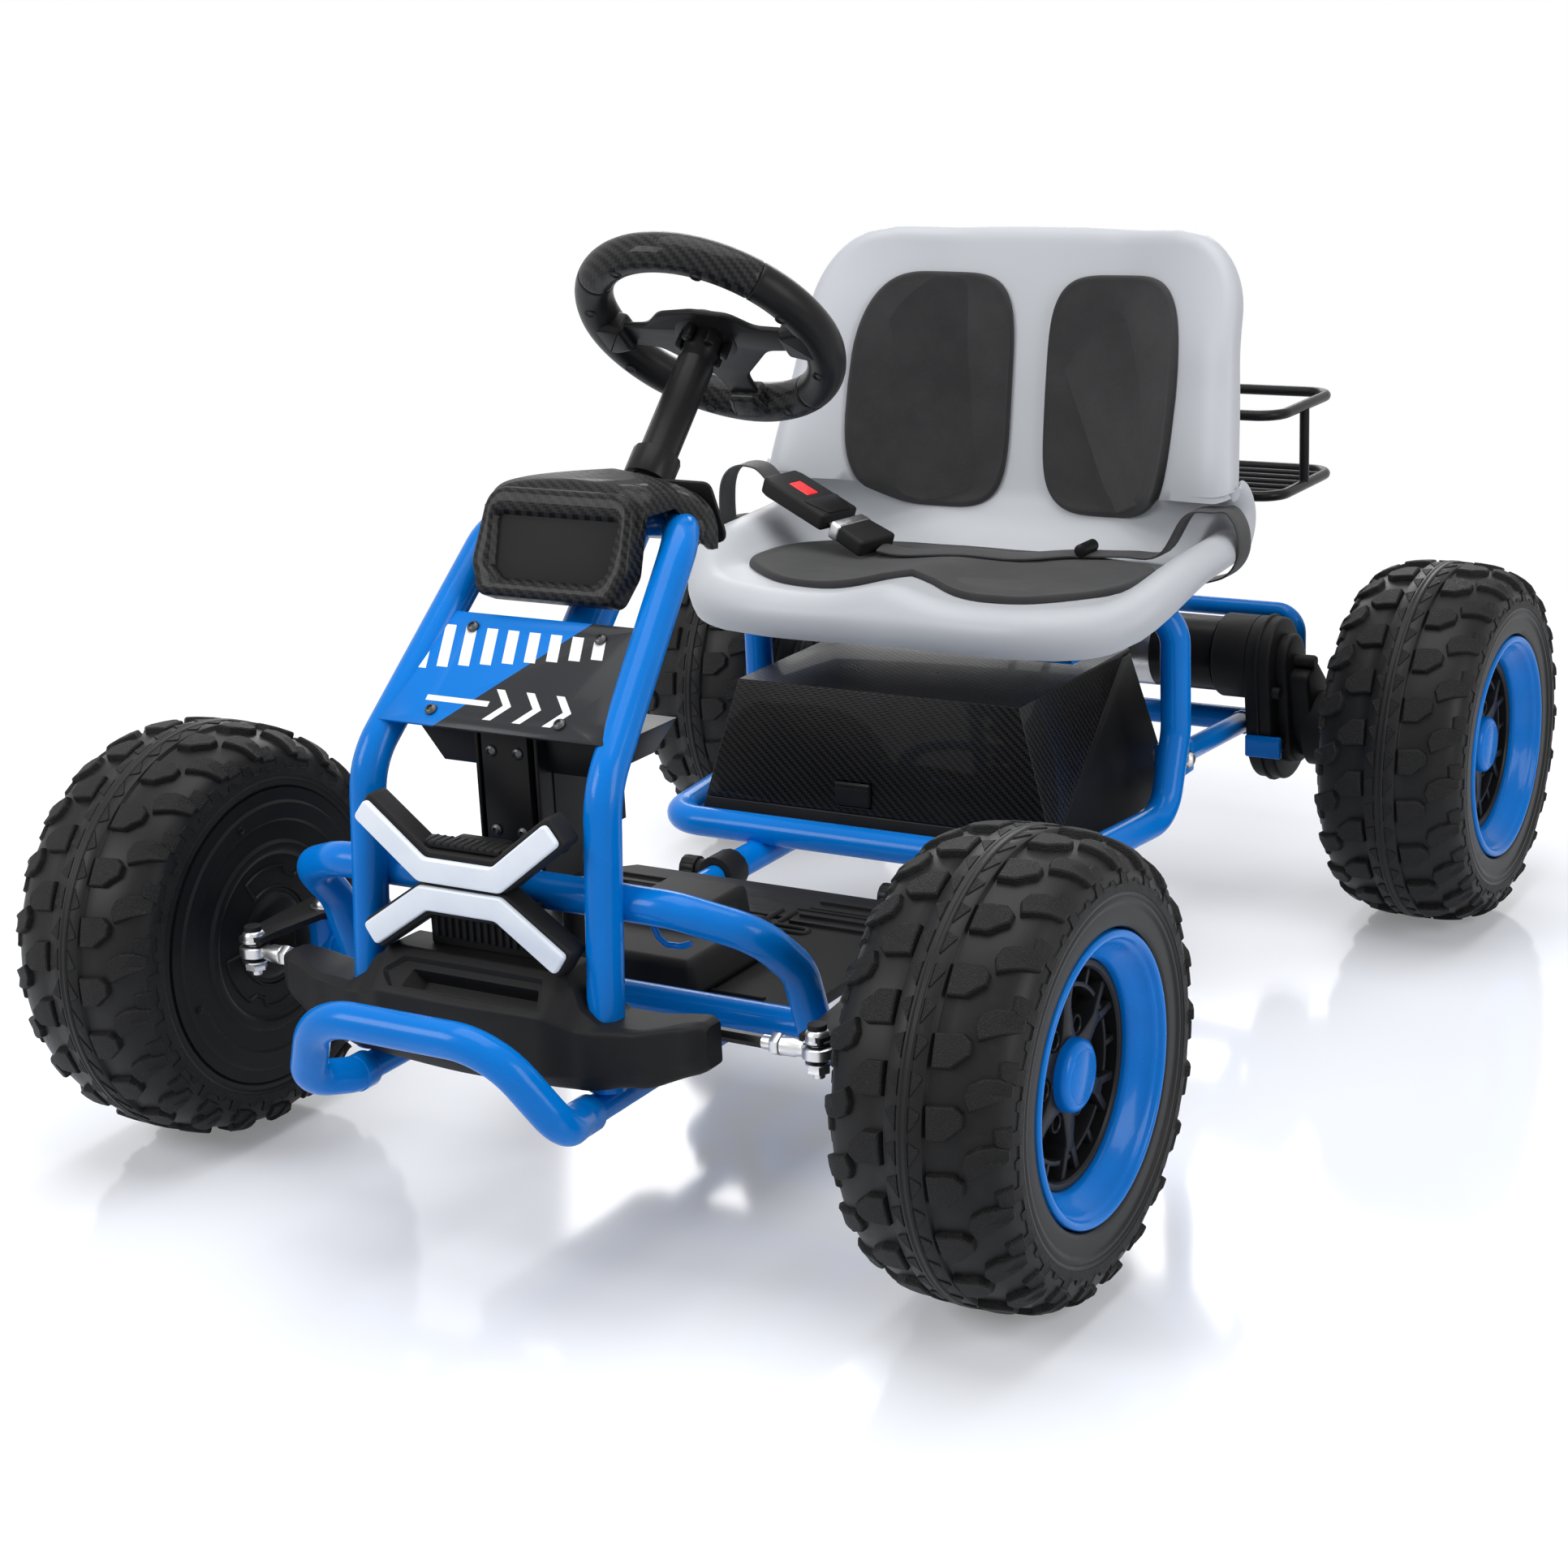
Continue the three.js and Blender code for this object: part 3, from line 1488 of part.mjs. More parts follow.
place(back, 'rear_subframe', cut(join(
  bentTube(mirrored(hoopPoints), rear.hoopBend, rear.hoopRadius, thinSides),
  rod(vec(-axleTubeEnd, 0, axleZ), vec(axleTubeEnd, 0, axleZ), rear.tubeRadius, tubeSides),
  rod(vec(-yoke.stubEnd, 0, axleZ), vec(yoke.stubEnd, 0, axleZ), axle.radius),
  ...bothSides.map(({ side }) => rod(
    vec(side * rear.stayX, rear.bracketY, rear.stayZ),
    vec(side * (halfTrack - rear.stayEndInset), 0, axleZ),
    rear.stayRadius,
    tubeSides,
  )),
  ...bothSides.map(({ side }) => rod(
    vec(side * strutX, 0, axleZ),
    vec(side * strutX, rear.hoopY, rear.hoopZ),
    rear.hoopRadius,
    thinSides,
  )),
  ...bothSides.map(({ side }) => bentTube([
    vec(side * rear.stemX, rear.hoopY, rear.hoopZ),
    vec(side * rear.stemX, basket.frontY - 2 * rear.hoopRadius, stemTop.z),
    vec(side * rear.stemX, basketRearY - 2 * basket.corner, stemTop.z),
  ], rear.hoopBend, rear.hoopRadius, thinSides)),
  ...bothSides.map(({ side }) => block(
    2 * rear.stayRadius + 2 * rear.bracketWall,
    rear.bracketRearY - rear.bracketFrontY,
    2 * rear.bracketHalf,
    side * rear.stayX,
    (rear.bracketRearY + rear.bracketFrontY) / 2,
    rear.stayZ,
  )),
), bentTube(mirrored(cradlePoints), cradle.bend, tubeRadius + gap)), paint.blueSteel());

// Motors lie in front of the axle, each on the gearbox that drives its wheel
const gearbox = {
  adapterRadius: 38,
  adapterInset: 162,
  arcSteps: 9,
  bodyInset: 164,
  outputRadius: 50,
  coverRadius: 34,
  screwBossRadius: 6,
};
const caseStart = halfTrack - gearbox.bodyInset;
const caseEnd = halfTrack - gearboxInset;
const outputEnd = halfTrack - outputInset;
// Outline of the case: two round ends, about the motor and the axle, with straight flanks
function gearPlan() {
  const top = new THREE.Vector2(motor.y, motor.z);
  const low = new THREE.Vector2(0, axleZ);
  const away = low.clone().sub(top);
  const heading = Math.atan2(away.y, away.x);
  const lean = Math.acos((gearbox.adapterRadius - gearbox.outputRadius) / away.length());
  const arc = (centre, radius, from, turn) => [...Array(gearbox.arcSteps + 1).keys()].map((i) => {
    const angle = from + (turn * i) / gearbox.arcSteps;
    return [centre.x + radius * Math.cos(angle), centre.y + radius * Math.sin(angle)];
  });
  return [
    ...arc(top, gearbox.adapterRadius, heading + lean, 2 * Math.PI - 2 * lean),
    ...arc(low, gearbox.outputRadius, heading - lean, 2 * lean),
  ];
}
function alongX(outline, thickness, x) {
  return plate(outline, thickness).rotateX(Math.PI / 2).rotateZ(Math.PI / 2).translate(x, 0, 0);
}
for (const { side, name } of bothSides) {
  const at = (x, y, z) => vec(side * x, y, z);
  place(back, `motor_${name}`, rod(
    at(motorInnerX, motor.y, motor.z),
    at(motorOuterX - gap, motor.y, motor.z),
    motor.radius,
  ), paint.blackSteel());
  const adapterEnd = halfTrack - gearbox.adapterInset;
  place(back, `gearbox_${name}`, cut(
    join(
      rod(
        at(motorOuterX, motor.y, motor.z),
        at(adapterEnd + weld, motor.y, motor.z),
        gearbox.adapterRadius,
      ),
      alongX(gearPlan(), caseEnd - caseStart, side > 0 ? caseStart : -caseEnd),
      rod(at(caseEnd - weld, 0, axleZ), at(outputEnd, 0, axleZ), gearbox.coverRadius),
      rod(
        at(caseEnd - weld, motor.y, motor.z),
        at(caseEnd + gearbox.screwBossRadius, motor.y, motor.z),
        gearbox.screwBossRadius,
        tubeSides,
      ),
    ),
    rod(at(motorOuterX, 0, axleZ), at(outputEnd + overrun, 0, axleZ), axle.radius + gap),
    rod(
      at(hoopX, rear.hoopY, rear.hoopFootZ - gap),
      at(hoopX, rear.hoopY, rear.hoopZ),
      rear.hoopRadius + gap,
    ),
  ), paint.blackPlastic());
}

// Basket: two wire hoops, side posts and floor rods
function hoopWire(z, radius) {
  const corners = [
    vec(0, basket.frontY, z),
    vec(basket.half, basket.frontY, z),
    vec(basket.half, basketRearY, z),
    vec(-basket.half, basketRearY, z),
    vec(-basket.half, basket.frontY, z),
    vec(0, basket.frontY, z),
  ];
  return bentTube(corners, basket.corner, radius, thinSides);
}
const basketRods = [...Array(basket.floorRods).keys()].map((i) => {
  const y = basket.frontY + ((i + 1) * (basketRearY - basket.frontY)) / (basket.floorRods + 1);
  const end = vec(basket.half, y, basket.bottomZ);
  return rod(vec(-end.x, end.y, end.z), end, basket.floorRadius, thinSides);
});
const postPlaces = [
  [basket.half, basket.sideY],
  [-basket.half, basket.sideY],
  [basket.half / 2, basket.frontY],
  [-basket.half / 2, basket.frontY],
];
place(back, 'basket', join(
  hoopWire(basket.topZ, basket.rodRadius),
  hoopWire(basket.bottomZ, basket.rodRadius),
  ...basketRods,
  ...postPlaces.map(([x, y]) => (
    rod(vec(x, y, basket.bottomZ), vec(x, y, basket.topZ), basket.rodRadius - gap, thinSides)
  )),
), paint.blackSteel());

// Seat surface: a pan line, a round bend and a leaning back, swept across with raised sides
const seat = {
  frontY: -367.5,
  frontZ: 345,
  panSlopeDeg: 1.5,
  bendRadius: 56,
  backFootY: -121.5,
  backFootZ: 366,
  reclineDeg: 9.9,
  frontHalf: 118,
  frontCorner: 96,
  topHalf: 134,
  topCorner: 60,
  backHalf: 193,
  lipRise: 4,
  panRise: 27,
  bendRise: 40,
  lowBackRise: 74,
  midBackRise: 56,
  topRise: 18,
  panFlatShare: 0.8,
  backFlatShare: 0.35,
  bumpHeight: 8,
  bumpHalf: 40,
  thighDip: 5,
  frontRoll: 26,
  sideRoll: 16,
  topRoll: 12,
  rollDeg: 125,
  shell: 4.5,
};
const recline = degrees(seat.reclineDeg);
const panSlope = degrees(seat.panSlopeDeg);
const backHeading = new THREE.Vector2(Math.sin(recline), Math.cos(recline));
const panHeading = new THREE.Vector2(Math.cos(panSlope), -Math.sin(panSlope));
// Centre of the bend: a bend radius above the pan line and in front of the back line
const bendCentre = (() => {
  const back = [Math.cos(recline), -Math.sin(recline)];
  const pan = [Math.sin(panSlope), Math.cos(panSlope)];
  const backAt = back[0] * seat.backFootY + back[1] * seat.backFootZ - seat.bendRadius;
  const panAt = pan[0] * seat.frontY + pan[1] * seat.frontZ + seat.bendRadius;
  const det = back[0] * pan[1] - back[1] * pan[0];
  return new THREE.Vector2(
    (backAt * pan[1] - back[1] * panAt) / det,
    (back[0] * panAt - pan[0] * backAt) / det,
  );
})();
const bendTurn = Math.PI / 2 - recline + panSlope;
const panLength = (bendCentre.x - seat.bendRadius * Math.sin(panSlope) - seat.frontY) / Math.cos(panSlope);
const bendLength = seat.bendRadius * bendTurn;
const backStart = new THREE.Vector2(
  bendCentre.x + seat.bendRadius * Math.cos(recline),
  bendCentre.y - seat.bendRadius * Math.sin(recline),
);
const backLength = (seatTopZ - backStart.y) / Math.cos(recline);
const seatLength = panLength + bendLength + backLength;

// Middle line of the seat at a run along it: a point and the direction that faces the driver
function seatLine(run) {
  if (run <= panLength) {
    return {
      y: seat.frontY + run * panHeading.x,
      z: seat.frontZ + run * panHeading.y,
      normal: new THREE.Vector2(Math.sin(panSlope), Math.cos(panSlope)),
    };
  }
  if (run <= panLength + bendLength) {
    const angle = (run - panLength) / seat.bendRadius - panSlope;
    const normal = new THREE.Vector2(-Math.sin(angle), Math.cos(angle));
    return {
      y: bendCentre.x - seat.bendRadius * normal.x,
      z: bendCentre.y - seat.bendRadius * normal.y,
      normal,
    };
  }
  const up = run - panLength - bendLength;
  return {
    y: backStart.x + up * backHeading.x,
    z: backStart.y + up * backHeading.y,
    normal: new THREE.Vector2(-Math.cos(recline), Math.sin(recline)),
  };
}

const smooth = (t) => {
  const s = Math.min(Math.max(t, 0), 1);
  return s * s * (3 - 2 * s);
};
const blend = (a, b, t) => a + (b - a) * smooth(t);

// Half width of the seat along its run, with rounded front and top corners
function seatHalf(run) {
  const corner = (away, size) => {
    const short = Math.max(size - away, 0);
    return size - Math.sqrt(Math.max(size ** 2 - short ** 2, 0));
  };
  const body = blend(seatHalfWidth, seat.backHalf, (run - panLength) / (bendLength + backLength));
  const front = seatHalfWidth - seat.frontHalf;
  const top = seat.backHalf - seat.topHalf;
  const frontLoss = corner(run, seat.frontCorner) * (front / seat.frontCorner);
  const topLoss = corner(seatLength - run, seat.topCorner) * (top / seat.topCorner);
  return body - frontLoss - topLoss;
}

// How far the sides stand proud of the middle line
function seatRise(run) {
  const marks = [
    [0, seat.lipRise],
    [panLength / 2, seat.panRise],
    [panLength + bendLength / 2, seat.bendRise],
    [panLength + bendLength, seat.lowBackRise],
    [panLength + bendLength + backLength / 2, seat.midBackRise],
    [seatLength, seat.topRise],
  ];
  const next = marks.findIndex(([at]) => at >= run);
  if (next < 1) return next === 0 ? seat.lipRise : seat.topRise;
  const [fromRun, fromRise] = marks[next - 1];
  const [toRun, toRise] = marks[next];
  return fromRise + ((toRise - fromRise) * (run - fromRun)) / (toRun - fromRun);
}

// A point on the seat: share from -1 to 1 across, run along, and height off the surface
function seatPoint(share, run, off = 0) {
  const line = seatLine(run);
  const x = share * seatHalf(run);
  const flat = blend(seat.panFlatShare, seat.backFlatShare, (run - panLength) / bendLength);
  const side = smooth((Math.abs(share) - flat) / (1 - flat));
  const frontFade = 1 - smooth(run / panLength);
  const bump = seat.bumpHeight * Math.exp(-((x / seat.bumpHalf) ** 2)) * frontFade;
  const dip = seat.thighDip * Math.sin(Math.PI * Math.min(Math.abs(share) / flat, 1)) * frontFade;
  const rise = seatRise(run) * side + bump - dip + off;
  return vec(x, line.y + rise * line.normal.x, line.z + rise * line.normal.y);
}

function seatNormal(share, run) {
  const small = 0.01;
  const step = seatLength * small;
  const [lowShare, highShare] = [Math.max(share - small, -1), Math.min(share + small, 1)];
  const [lowRun, highRun] = [Math.max(run - step, 0), Math.min(run + step, seatLength)];
  const across = seatPoint(highShare, run).sub(seatPoint(lowShare, run));
  const along = seatPoint(share, highRun).sub(seatPoint(share, lowRun));
  return across.cross(along).normalize();
}

// The seat's grid is finest where its surface turns most: across at the side walls, along in the bend
const sideShares = [0.3, 0.6, 0.82, 0.92, 1];
const gridShares = [...sideShares.map((share) => -share).reverse(), 0, ...sideShares];
const panShares = [0, 0.3, 0.65];
const bendShares = [0, 0.25, 0.5, 0.75];
const backShares = [0, 0.35, 0.7, 0.88, 1];
const gridRuns = [
  ...panShares.map((share) => share * panLength),
  ...bendShares.map((share) => panLength + share * bendLength),
  ...backShares.map((share) => panLength + bendLength + share * backLength),
];
const rollRadius = (run) => (run < panLength
  ? blend(seat.frontRoll, seat.sideRoll, run / seat.frontCorner)
  : blend(seat.sideRoll, seat.topRoll, (run - panLength - bendLength) / backLength));

// The shell is a grid of the surface whose rim rolls over, closed by a second skin inside it
function seatShell(rollSteps) {
  const columns = gridShares.length - 1;
  const rows = gridRuns.length - 1;
  const grid = gridRuns.flatMap((run) => gridShares.map((share) => [share, run]));
  const id = (c, r) => r * (columns + 1) + c;
  const border = [];
  for (let c = 0; c < columns; c += 1) border.push([c, 0]);
  for (let r = 0; r < rows; r += 1) border.push([columns, r]);
  for (let c = columns; c > 0; c -= 1) border.push([c, rows]);
  for (let r = rows; r > 0; r -= 1) border.push([0, r]);
  const normals = grid.map(([share, run]) => seatNormal(share, run));
  const outer = grid.map(([share, run]) => seatPoint(share, run));
  const inner = outer.map((point, i) => point.clone().addScaledVector(normals[i], -seat.shell));
  const points = [...outer, ...inner];
  const rollRings = [];
  for (let k = 1; k <= rollSteps; k += 1) {
    const angle = (degrees(seat.rollDeg) * k) / rollSteps;
    const ringOut = [];
    const ringIn = [];
    border.forEach(([c, r], i) => {
      const at = id(c, r);
      const before = border[(i + border.length - 1) % border.length];
      const after = border[(i + 1) % border.length];
      const run = outer[id(...after)].clone().sub(outer[id(...before)]);
      const outward = run.cross(normals[at]).normalize();
      const arm = outward.multiplyScalar(Math.sin(angle)).addScaledVector(normals[at], Math.cos(angle));
      const radius = rollRadius(gridRuns[r]);
      const centre = outer[at].clone().addScaledVector(normals[at], -radius);
      ringOut.push(points.push(centre.clone().addScaledVector(arm, radius)) - 1);
      ringIn.push(points.push(centre.clone().addScaledVector(arm, radius - seat.shell)) - 1);
    });
    rollRings.push([ringOut, ringIn]);
  }
  const index = [];
  const quad = (a, b, c, d) => index.push(a, b, c, a, c, d);
  for (let r = 0; r < rows; r += 1) {
    for (let c = 0; c < columns; c += 1) {
      quad(id(c, r), id(c + 1, r), id(c + 1, r + 1), id(c, r + 1));
      const shift = outer.length;
      quad(shift + id(c, r), shift + id(c, r + 1), shift + id(c + 1, r + 1), shift + id(c + 1, r));
    }
  }
  const first = [border.map(([c, r]) => id(c, r)), border.map(([c, r]) => outer.length + id(c, r))];
  const rings = [first, ...rollRings];
  for (let k = 0; k < rings.length - 1; k += 1) {
    for (let i = 0; i < border.length; i += 1) {
      const j = (i + 1) % border.length;
      quad(rings[k][0][j], rings[k][0][i], rings[k + 1][0][i], rings[k + 1][0][j]);
      quad(rings[k][1][i], rings[k][1][j], rings[k + 1][1][j], rings[k + 1][1][i]);
    }
  }
  const [endOut, endIn] = rings[rings.length - 1];
  for (let i = 0; i < border.length; i += 1) {
    const j = (i + 1) % border.length;
    quad(endOut[j], endOut[i], endIn[i], endIn[j]);
  }
  return indexed(points, index);
}
const seatRollSteps = 2;
place(back, 'seat_shell', seatShell(seatRollSteps), paint.seat());

// Seat bracket: a pressed tray under the pan with cheeks that the cradle tube ends are welded to
const bracket = {
  thickness: 4,
  frontY: -323.5,
  rearReach: 40,
  topZ: 290,
  cheekRise: 2.2,
};
const bracketHalf = cradle.topX - clearance;
const bracketRearY = cradle.topY + bracket.rearReach;
const cheekTopZ = cradle.hipZ + tubeRadius + bracket.cheekRise;
place(back, 'seat_bracket', join(
  block(
    2 * bracketHalf,
    bracketRearY - bracket.frontY,
    bracket.thickness,
    0,
    (bracketRearY + bracket.frontY) / 2,
    bracket.topZ - bracket.thickness / 2,
  ),
  ...bothSides.map(({ side }) => block(
    bracket.thickness,
    bracketRearY - bracket.frontY,
    cheekTopZ - bracket.topZ + bracket.thickness,
    side * (bracketHalf - bracket.thickness / 2),
    (bracketRearY + bracket.frontY) / 2,
    (cheekTopZ + bracket.topZ - bracket.thickness) / 2,
  )),
), paint.blueSteel());

// A slab on the seat's own grid between two heights off its surface, which trims what lies on the seat
function seatBed(above, below) {
  const columns = gridShares.length - 1;
  const rows = gridRuns.length - 1;
  const level = (off) => gridRuns.flatMap((run) => gridShares.map((share) => (
    seatPoint(share, run).addScaledVector(seatNormal(share, run), off)
  )));
  const points = [...level(above), ...level(-below)];
  const lower = points.length / 2;
  const id = (c, r) => r * (columns + 1) + c;
  const index = [];
  const quad = (a, b, c, d) => index.push(a, b, c, a, c, d);
  for (let r = 0; r < rows; r += 1) {
    for (let c = 0; c < columns; c += 1) {
      quad(id(c, r), id(c + 1, r), id(c + 1, r + 1), id(c, r + 1));
      quad(lower + id(c, r), lower + id(c, r + 1), lower + id(c + 1, r + 1), lower + id(c + 1, r));
    }
  }
  for (let c = 0; c < columns; c += 1) {
    quad(id(c + 1, 0), id(c, 0), lower + id(c, 0), lower + id(c + 1, 0));
    quad(id(c, rows), id(c + 1, rows), lower + id(c + 1, rows), lower + id(c, rows));
  }
  for (let r = 0; r < rows; r += 1) {
    quad(id(0, r), id(0, r + 1), lower + id(0, r + 1), lower + id(0, r));
    quad(id(columns, r + 1), id(columns, r), lower + id(columns, r), lower + id(columns, r + 1));
  }
  return indexed(points, index);
}

// Foam pads: sheets that follow the seat's grid, with a raised field inside a lower edge
const pad = {
  edge: 4,
  thickness: 6.6,
  drawIn: 5,
  sides: 16,
  squareness: 0.42,
  reach: 60,
};
// A rounded outline about a centre; its two halves may lean so that one end is wider than the other
function padOutline(centre, half, lean, inset) {
  const ring = [];
  for (let i = 0; i < pad.sides; i += 1) {
    const angle = (2 * Math.PI * i) / pad.sides;
    const squarish = (v) => Math.sign(v) * Math.abs(v) ** pad.squareness;
    const a = squarish(Math.cos(angle));
    const b = squarish(Math.sin(angle));
    ring.push([centre[0] + a * (half[0] - inset + lean * b), centre[1] + b * (half[1] - inset)]);
  }
  return ring;
}
const padLayer = (prism, height) => common(prism, seatBed(height, -gap));
const padPlaces = {
  backX: 85,
  backHalf: 66,
  backZ: 468,
  backHalfHeight: 101,
  backLean: -6,
  panY: -273.5,
  panHalf: 184,
  panHalfLength: 92,
};
const backPad = (side) => {
  const centre = [side * padPlaces.backX, padPlaces.backZ];
  const half = [padPlaces.backHalf, padPlaces.backHalfHeight];
  const prism = (inset) => plate(padOutline(centre, half, padPlaces.backLean, inset), 2 * pad.reach)
    .rotateX(Math.PI / 2)
    .translate(0, seat.backFootY + pad.reach, 0);
  return join(padLayer(prism(0), pad.edge), padLayer(prism(pad.drawIn), pad.thickness));
};
place(back, 'back_pad_left', backPad(1), paint.foam());
place(back, 'back_pad_right', backPad(-1), paint.foam());
const panPrism = (inset) => plate(
  padOutline([0, padPlaces.panY], [padPlaces.panHalf, padPlaces.panHalfLength], 0, inset),
  2 * pad.reach,
).translate(0, 0, seat.frontZ - pad.reach);
place(back, 'seat_pad', join(
  padLayer(panPrism(0), pad.edge),
  padLayer(panPrism(pad.drawIn), pad.thickness),
), paint.foam());

// Lap belt: webbing ribbons, a buckle with a press button, and the tongue
const belt = {
  width: 26,
  thickness: 2.4,
  overPad: 9,
  overRim: 5,
  route: [[-52, -241.5], [0, -233.5], [45, -225.5], [82, -197.5], [128, -183.5]],
  rimInX: 166,
  rimX: 190,
  hem: [96, -193.5],
  crestShare: 0.6,
  loop: [[0, 0, 0], [-14, 0, 11], [-30, -6, 12], [-40, -12, 2], [-43, -14, -20], [-42, -14, -62]],
  crossingY: -189.5,
  crestRise: 20,
  sideReach: 20,
  sideDrop: 60,
  hemRadius: 5,
};
// The run along the seat whose middle line is at a given y, found by halving; the pan and bend only
function runAt(y) {
  let [low, high] = [0, panLength + bendLength];
  for (let i = 0; i < 2 * pad.sides; i += 1) {
    const middle = (low + high) / 2;
    if (seatLine(middle).y < y) low = middle;
    else high = middle;
  }
  return low;
}
function aboveSeat(x, y, off) {
  const run = runAt(y);
  return seatPoint(x / seatHalf(run), run).add(vec(0, 0, off));
}
// A ribbon along points, each with the direction of its width
function ribbon(stations) {
  const at = stations.map(([point]) => point);
  return skin(stations.map(([point, across], i) => {
    const along = at[Math.min(i + 1, at.length - 1)].clone().sub(at[Math.max(i - 1, 0)]).normalize();
    const wide = across.clone().addScaledVector(along, -across.dot(along)).setLength(belt.width / 2);
    const thick = along.clone().cross(wide).setLength(belt.thickness / 2);
    return [
      point.clone().add(wide).add(thick),
      point.clone().sub(wide).add(thick),
      point.clone().sub(wide).sub(thick),
      point.clone().add(wide).sub(thick),
    ];
  }));
}
const buckle = {
  x: -158,
  y: -229.5,
  z: 388,
  length: 78,
  width: 46,
  thickness: 16,
  dropDeg: 21,
  turnDeg: -12,
  buttonLength: 24,
  buttonWidth: 15,
  buttonDepth: 5,
  buttonShift: -8,
  buttonTravel: 2.5,
  slotWidth: 30,
  slotHeight: 4,
  slotDepth: 18,
};
const tongue = {
  gapToBuckle: 8,
  length: 40,
  width: 46,
  thickness: 15,
  bladeWidth: 27,
  bladeThickness: 2.4,
  bladeReach: 22,
};
// The belt group's X axis runs along the buckle towards the middle of the seat
const beltGroup = new THREE.Group();
beltGroup.position.set(buckle.x, buckle.y, buckle.z);
beltGroup.rotation.set(0, degrees(buckle.dropDeg), degrees(buckle.turnDeg), 'ZYX');
back.add(beltGroup);
beltGroup.updateMatrix();
const onBuckle = (x, y, z) => vec(x, y, z).applyMatrix4(beltGroup.matrix);
const buttonTopZ = buckle.thickness / 2;
place(beltGroup, 'buckle', cut(
  block(buckle.length, buckle.width, buckle.thickness, 0, 0, 0),
  block(
    buckle.buttonLength + 2 * gap,
    buckle.buttonWidth + 2 * gap,
    2 * (buckle.buttonDepth + buckle.buttonTravel),
    buckle.buttonShift,
    0,
    buttonTopZ,
  ),
  block(
    2 * buckle.slotDepth,
    buckle.slotWidth,
    buckle.slotHeight,
    buckle.length / 2,
    0,
    -buckle.slotHeight / 2,
  ),
), paint.blackPlastic());
place(beltGroup, 'buckle_button', block(
  buckle.buttonLength,
  buckle.buttonWidth,
  buckle.buttonDepth,
  buckle.buttonShift,
  0,
  buttonTopZ - buckle.buttonDepth / 2,
), paint.red());
const tongueStart = buckle.length / 2 + tongue.gapToBuckle;
place(beltGroup, 'belt_tongue', join(
  block(
    tongue.length,
    tongue.width,
    tongue.thickness,
    tongueStart + tongue.length / 2,
    0,
    -buckle.slotHeight / 2,
  ),
  block(
    tongue.bladeReach + weld,
    tongue.bladeWidth,
    tongue.bladeThickness,
    tongueStart + (weld - tongue.bladeReach) / 2,
    0,
    -buckle.slotHeight / 2,
  ),
), paint.zinc());
const lengthwise = vec(0, 1, 0);
const strapStart = onBuckle(tongueStart + tongue.length + 3 * belt.thickness, 0, -buckle.slotHeight / 2);
const rimRun = runAt(belt.crossingY);
const rimPoint = seatPoint(1, rimRun);
const hemEnd = aboveSeat(...belt.hem, belt.overPad + belt.hemRadius);
place(back, 'belt_left', join(
  ribbon([
    [strapStart, lengthwise],
    ...belt.route.map(([x, y]) => [aboveSeat(x, y, belt.overPad), lengthwise]),
    [aboveSeat(belt.rimInX, belt.crossingY, belt.overPad + belt.overRim), lengthwise],
    [aboveSeat(belt.rimX, belt.crossingY, 4 * belt.overPad), lengthwise],
    [rimPoint.clone().add(vec(0, 0, belt.crestRise)), lengthwise],
    [rimPoint.clone().add(vec(belt.crestShare * belt.sideReach, 0, belt.crestRise)), lengthwise],
    [rimPoint.clone().add(vec(belt.sideReach, 0, 0)), lengthwise],
    [rimPoint.clone().add(vec(belt.sideReach, 0, -belt.sideDrop)), lengthwise],
  ]),
  rod(
    hemEnd.clone().add(vec(0, -belt.width / 2, 0)),
    hemEnd.clone().add(vec(0, belt.width / 2, 0)),
    belt.hemRadius + belt.thickness / 2,
    thinSides,
  ),
), paint.webbing());
const loopStart = onBuckle(-buckle.length / 2 - belt.thickness - 2 * gap, 0, 0);
place(
  back,
  'belt_right',
  ribbon(belt.loop.map((step) => [loopStart.clone().add(vec(...step)), lengthwise])),
  paint.webbing(),
);

// The whole kart is slid so that its origin is under the middle of its length
const frontEnd = front.position.y + bumperFrontY - tubeRadius;
const rearEnd = back.position.y + basketRearY + basket.rodRadius;
chassis.position.y = -(frontEnd + rearEnd) / 2;

export default kart;
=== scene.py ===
# %% [markdown]
# # A child's off road go-kart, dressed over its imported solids
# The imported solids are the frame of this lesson: they fix every size, place and joint. This script adds what
# a quick solid lacks: round tubes with weld beads, a rubber tread, moulded shells and the finish of each
# material. Sizes are written in millimetres as on the drawing. `spot` turns them into metres in the
# frame.

# %% Load the frame
import json
import bmesh
import bpy
from math import acos, atan2, copysign, cos, exp, hypot, pi, radians, remainder, sin, sqrt, tan
from mathutils import Matrix, Vector


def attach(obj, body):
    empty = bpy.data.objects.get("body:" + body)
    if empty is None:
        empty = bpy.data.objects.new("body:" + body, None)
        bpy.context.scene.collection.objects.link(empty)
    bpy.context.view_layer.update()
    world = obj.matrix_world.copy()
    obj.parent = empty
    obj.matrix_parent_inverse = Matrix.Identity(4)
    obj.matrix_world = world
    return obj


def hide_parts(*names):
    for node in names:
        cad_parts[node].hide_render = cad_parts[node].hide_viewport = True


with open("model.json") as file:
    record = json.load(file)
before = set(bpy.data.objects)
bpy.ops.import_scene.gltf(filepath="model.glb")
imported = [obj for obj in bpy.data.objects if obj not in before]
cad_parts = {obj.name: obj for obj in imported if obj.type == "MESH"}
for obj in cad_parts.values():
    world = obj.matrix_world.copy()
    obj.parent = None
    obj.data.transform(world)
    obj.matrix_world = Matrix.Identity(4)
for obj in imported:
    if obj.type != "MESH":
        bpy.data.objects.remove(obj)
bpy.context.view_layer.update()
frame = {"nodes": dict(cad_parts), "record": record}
body_of = {node: body for body, nodes in frame["record"]["behaviour"]["bodies"].items() for node in nodes}
DRAWING_SHIFT = -22.15
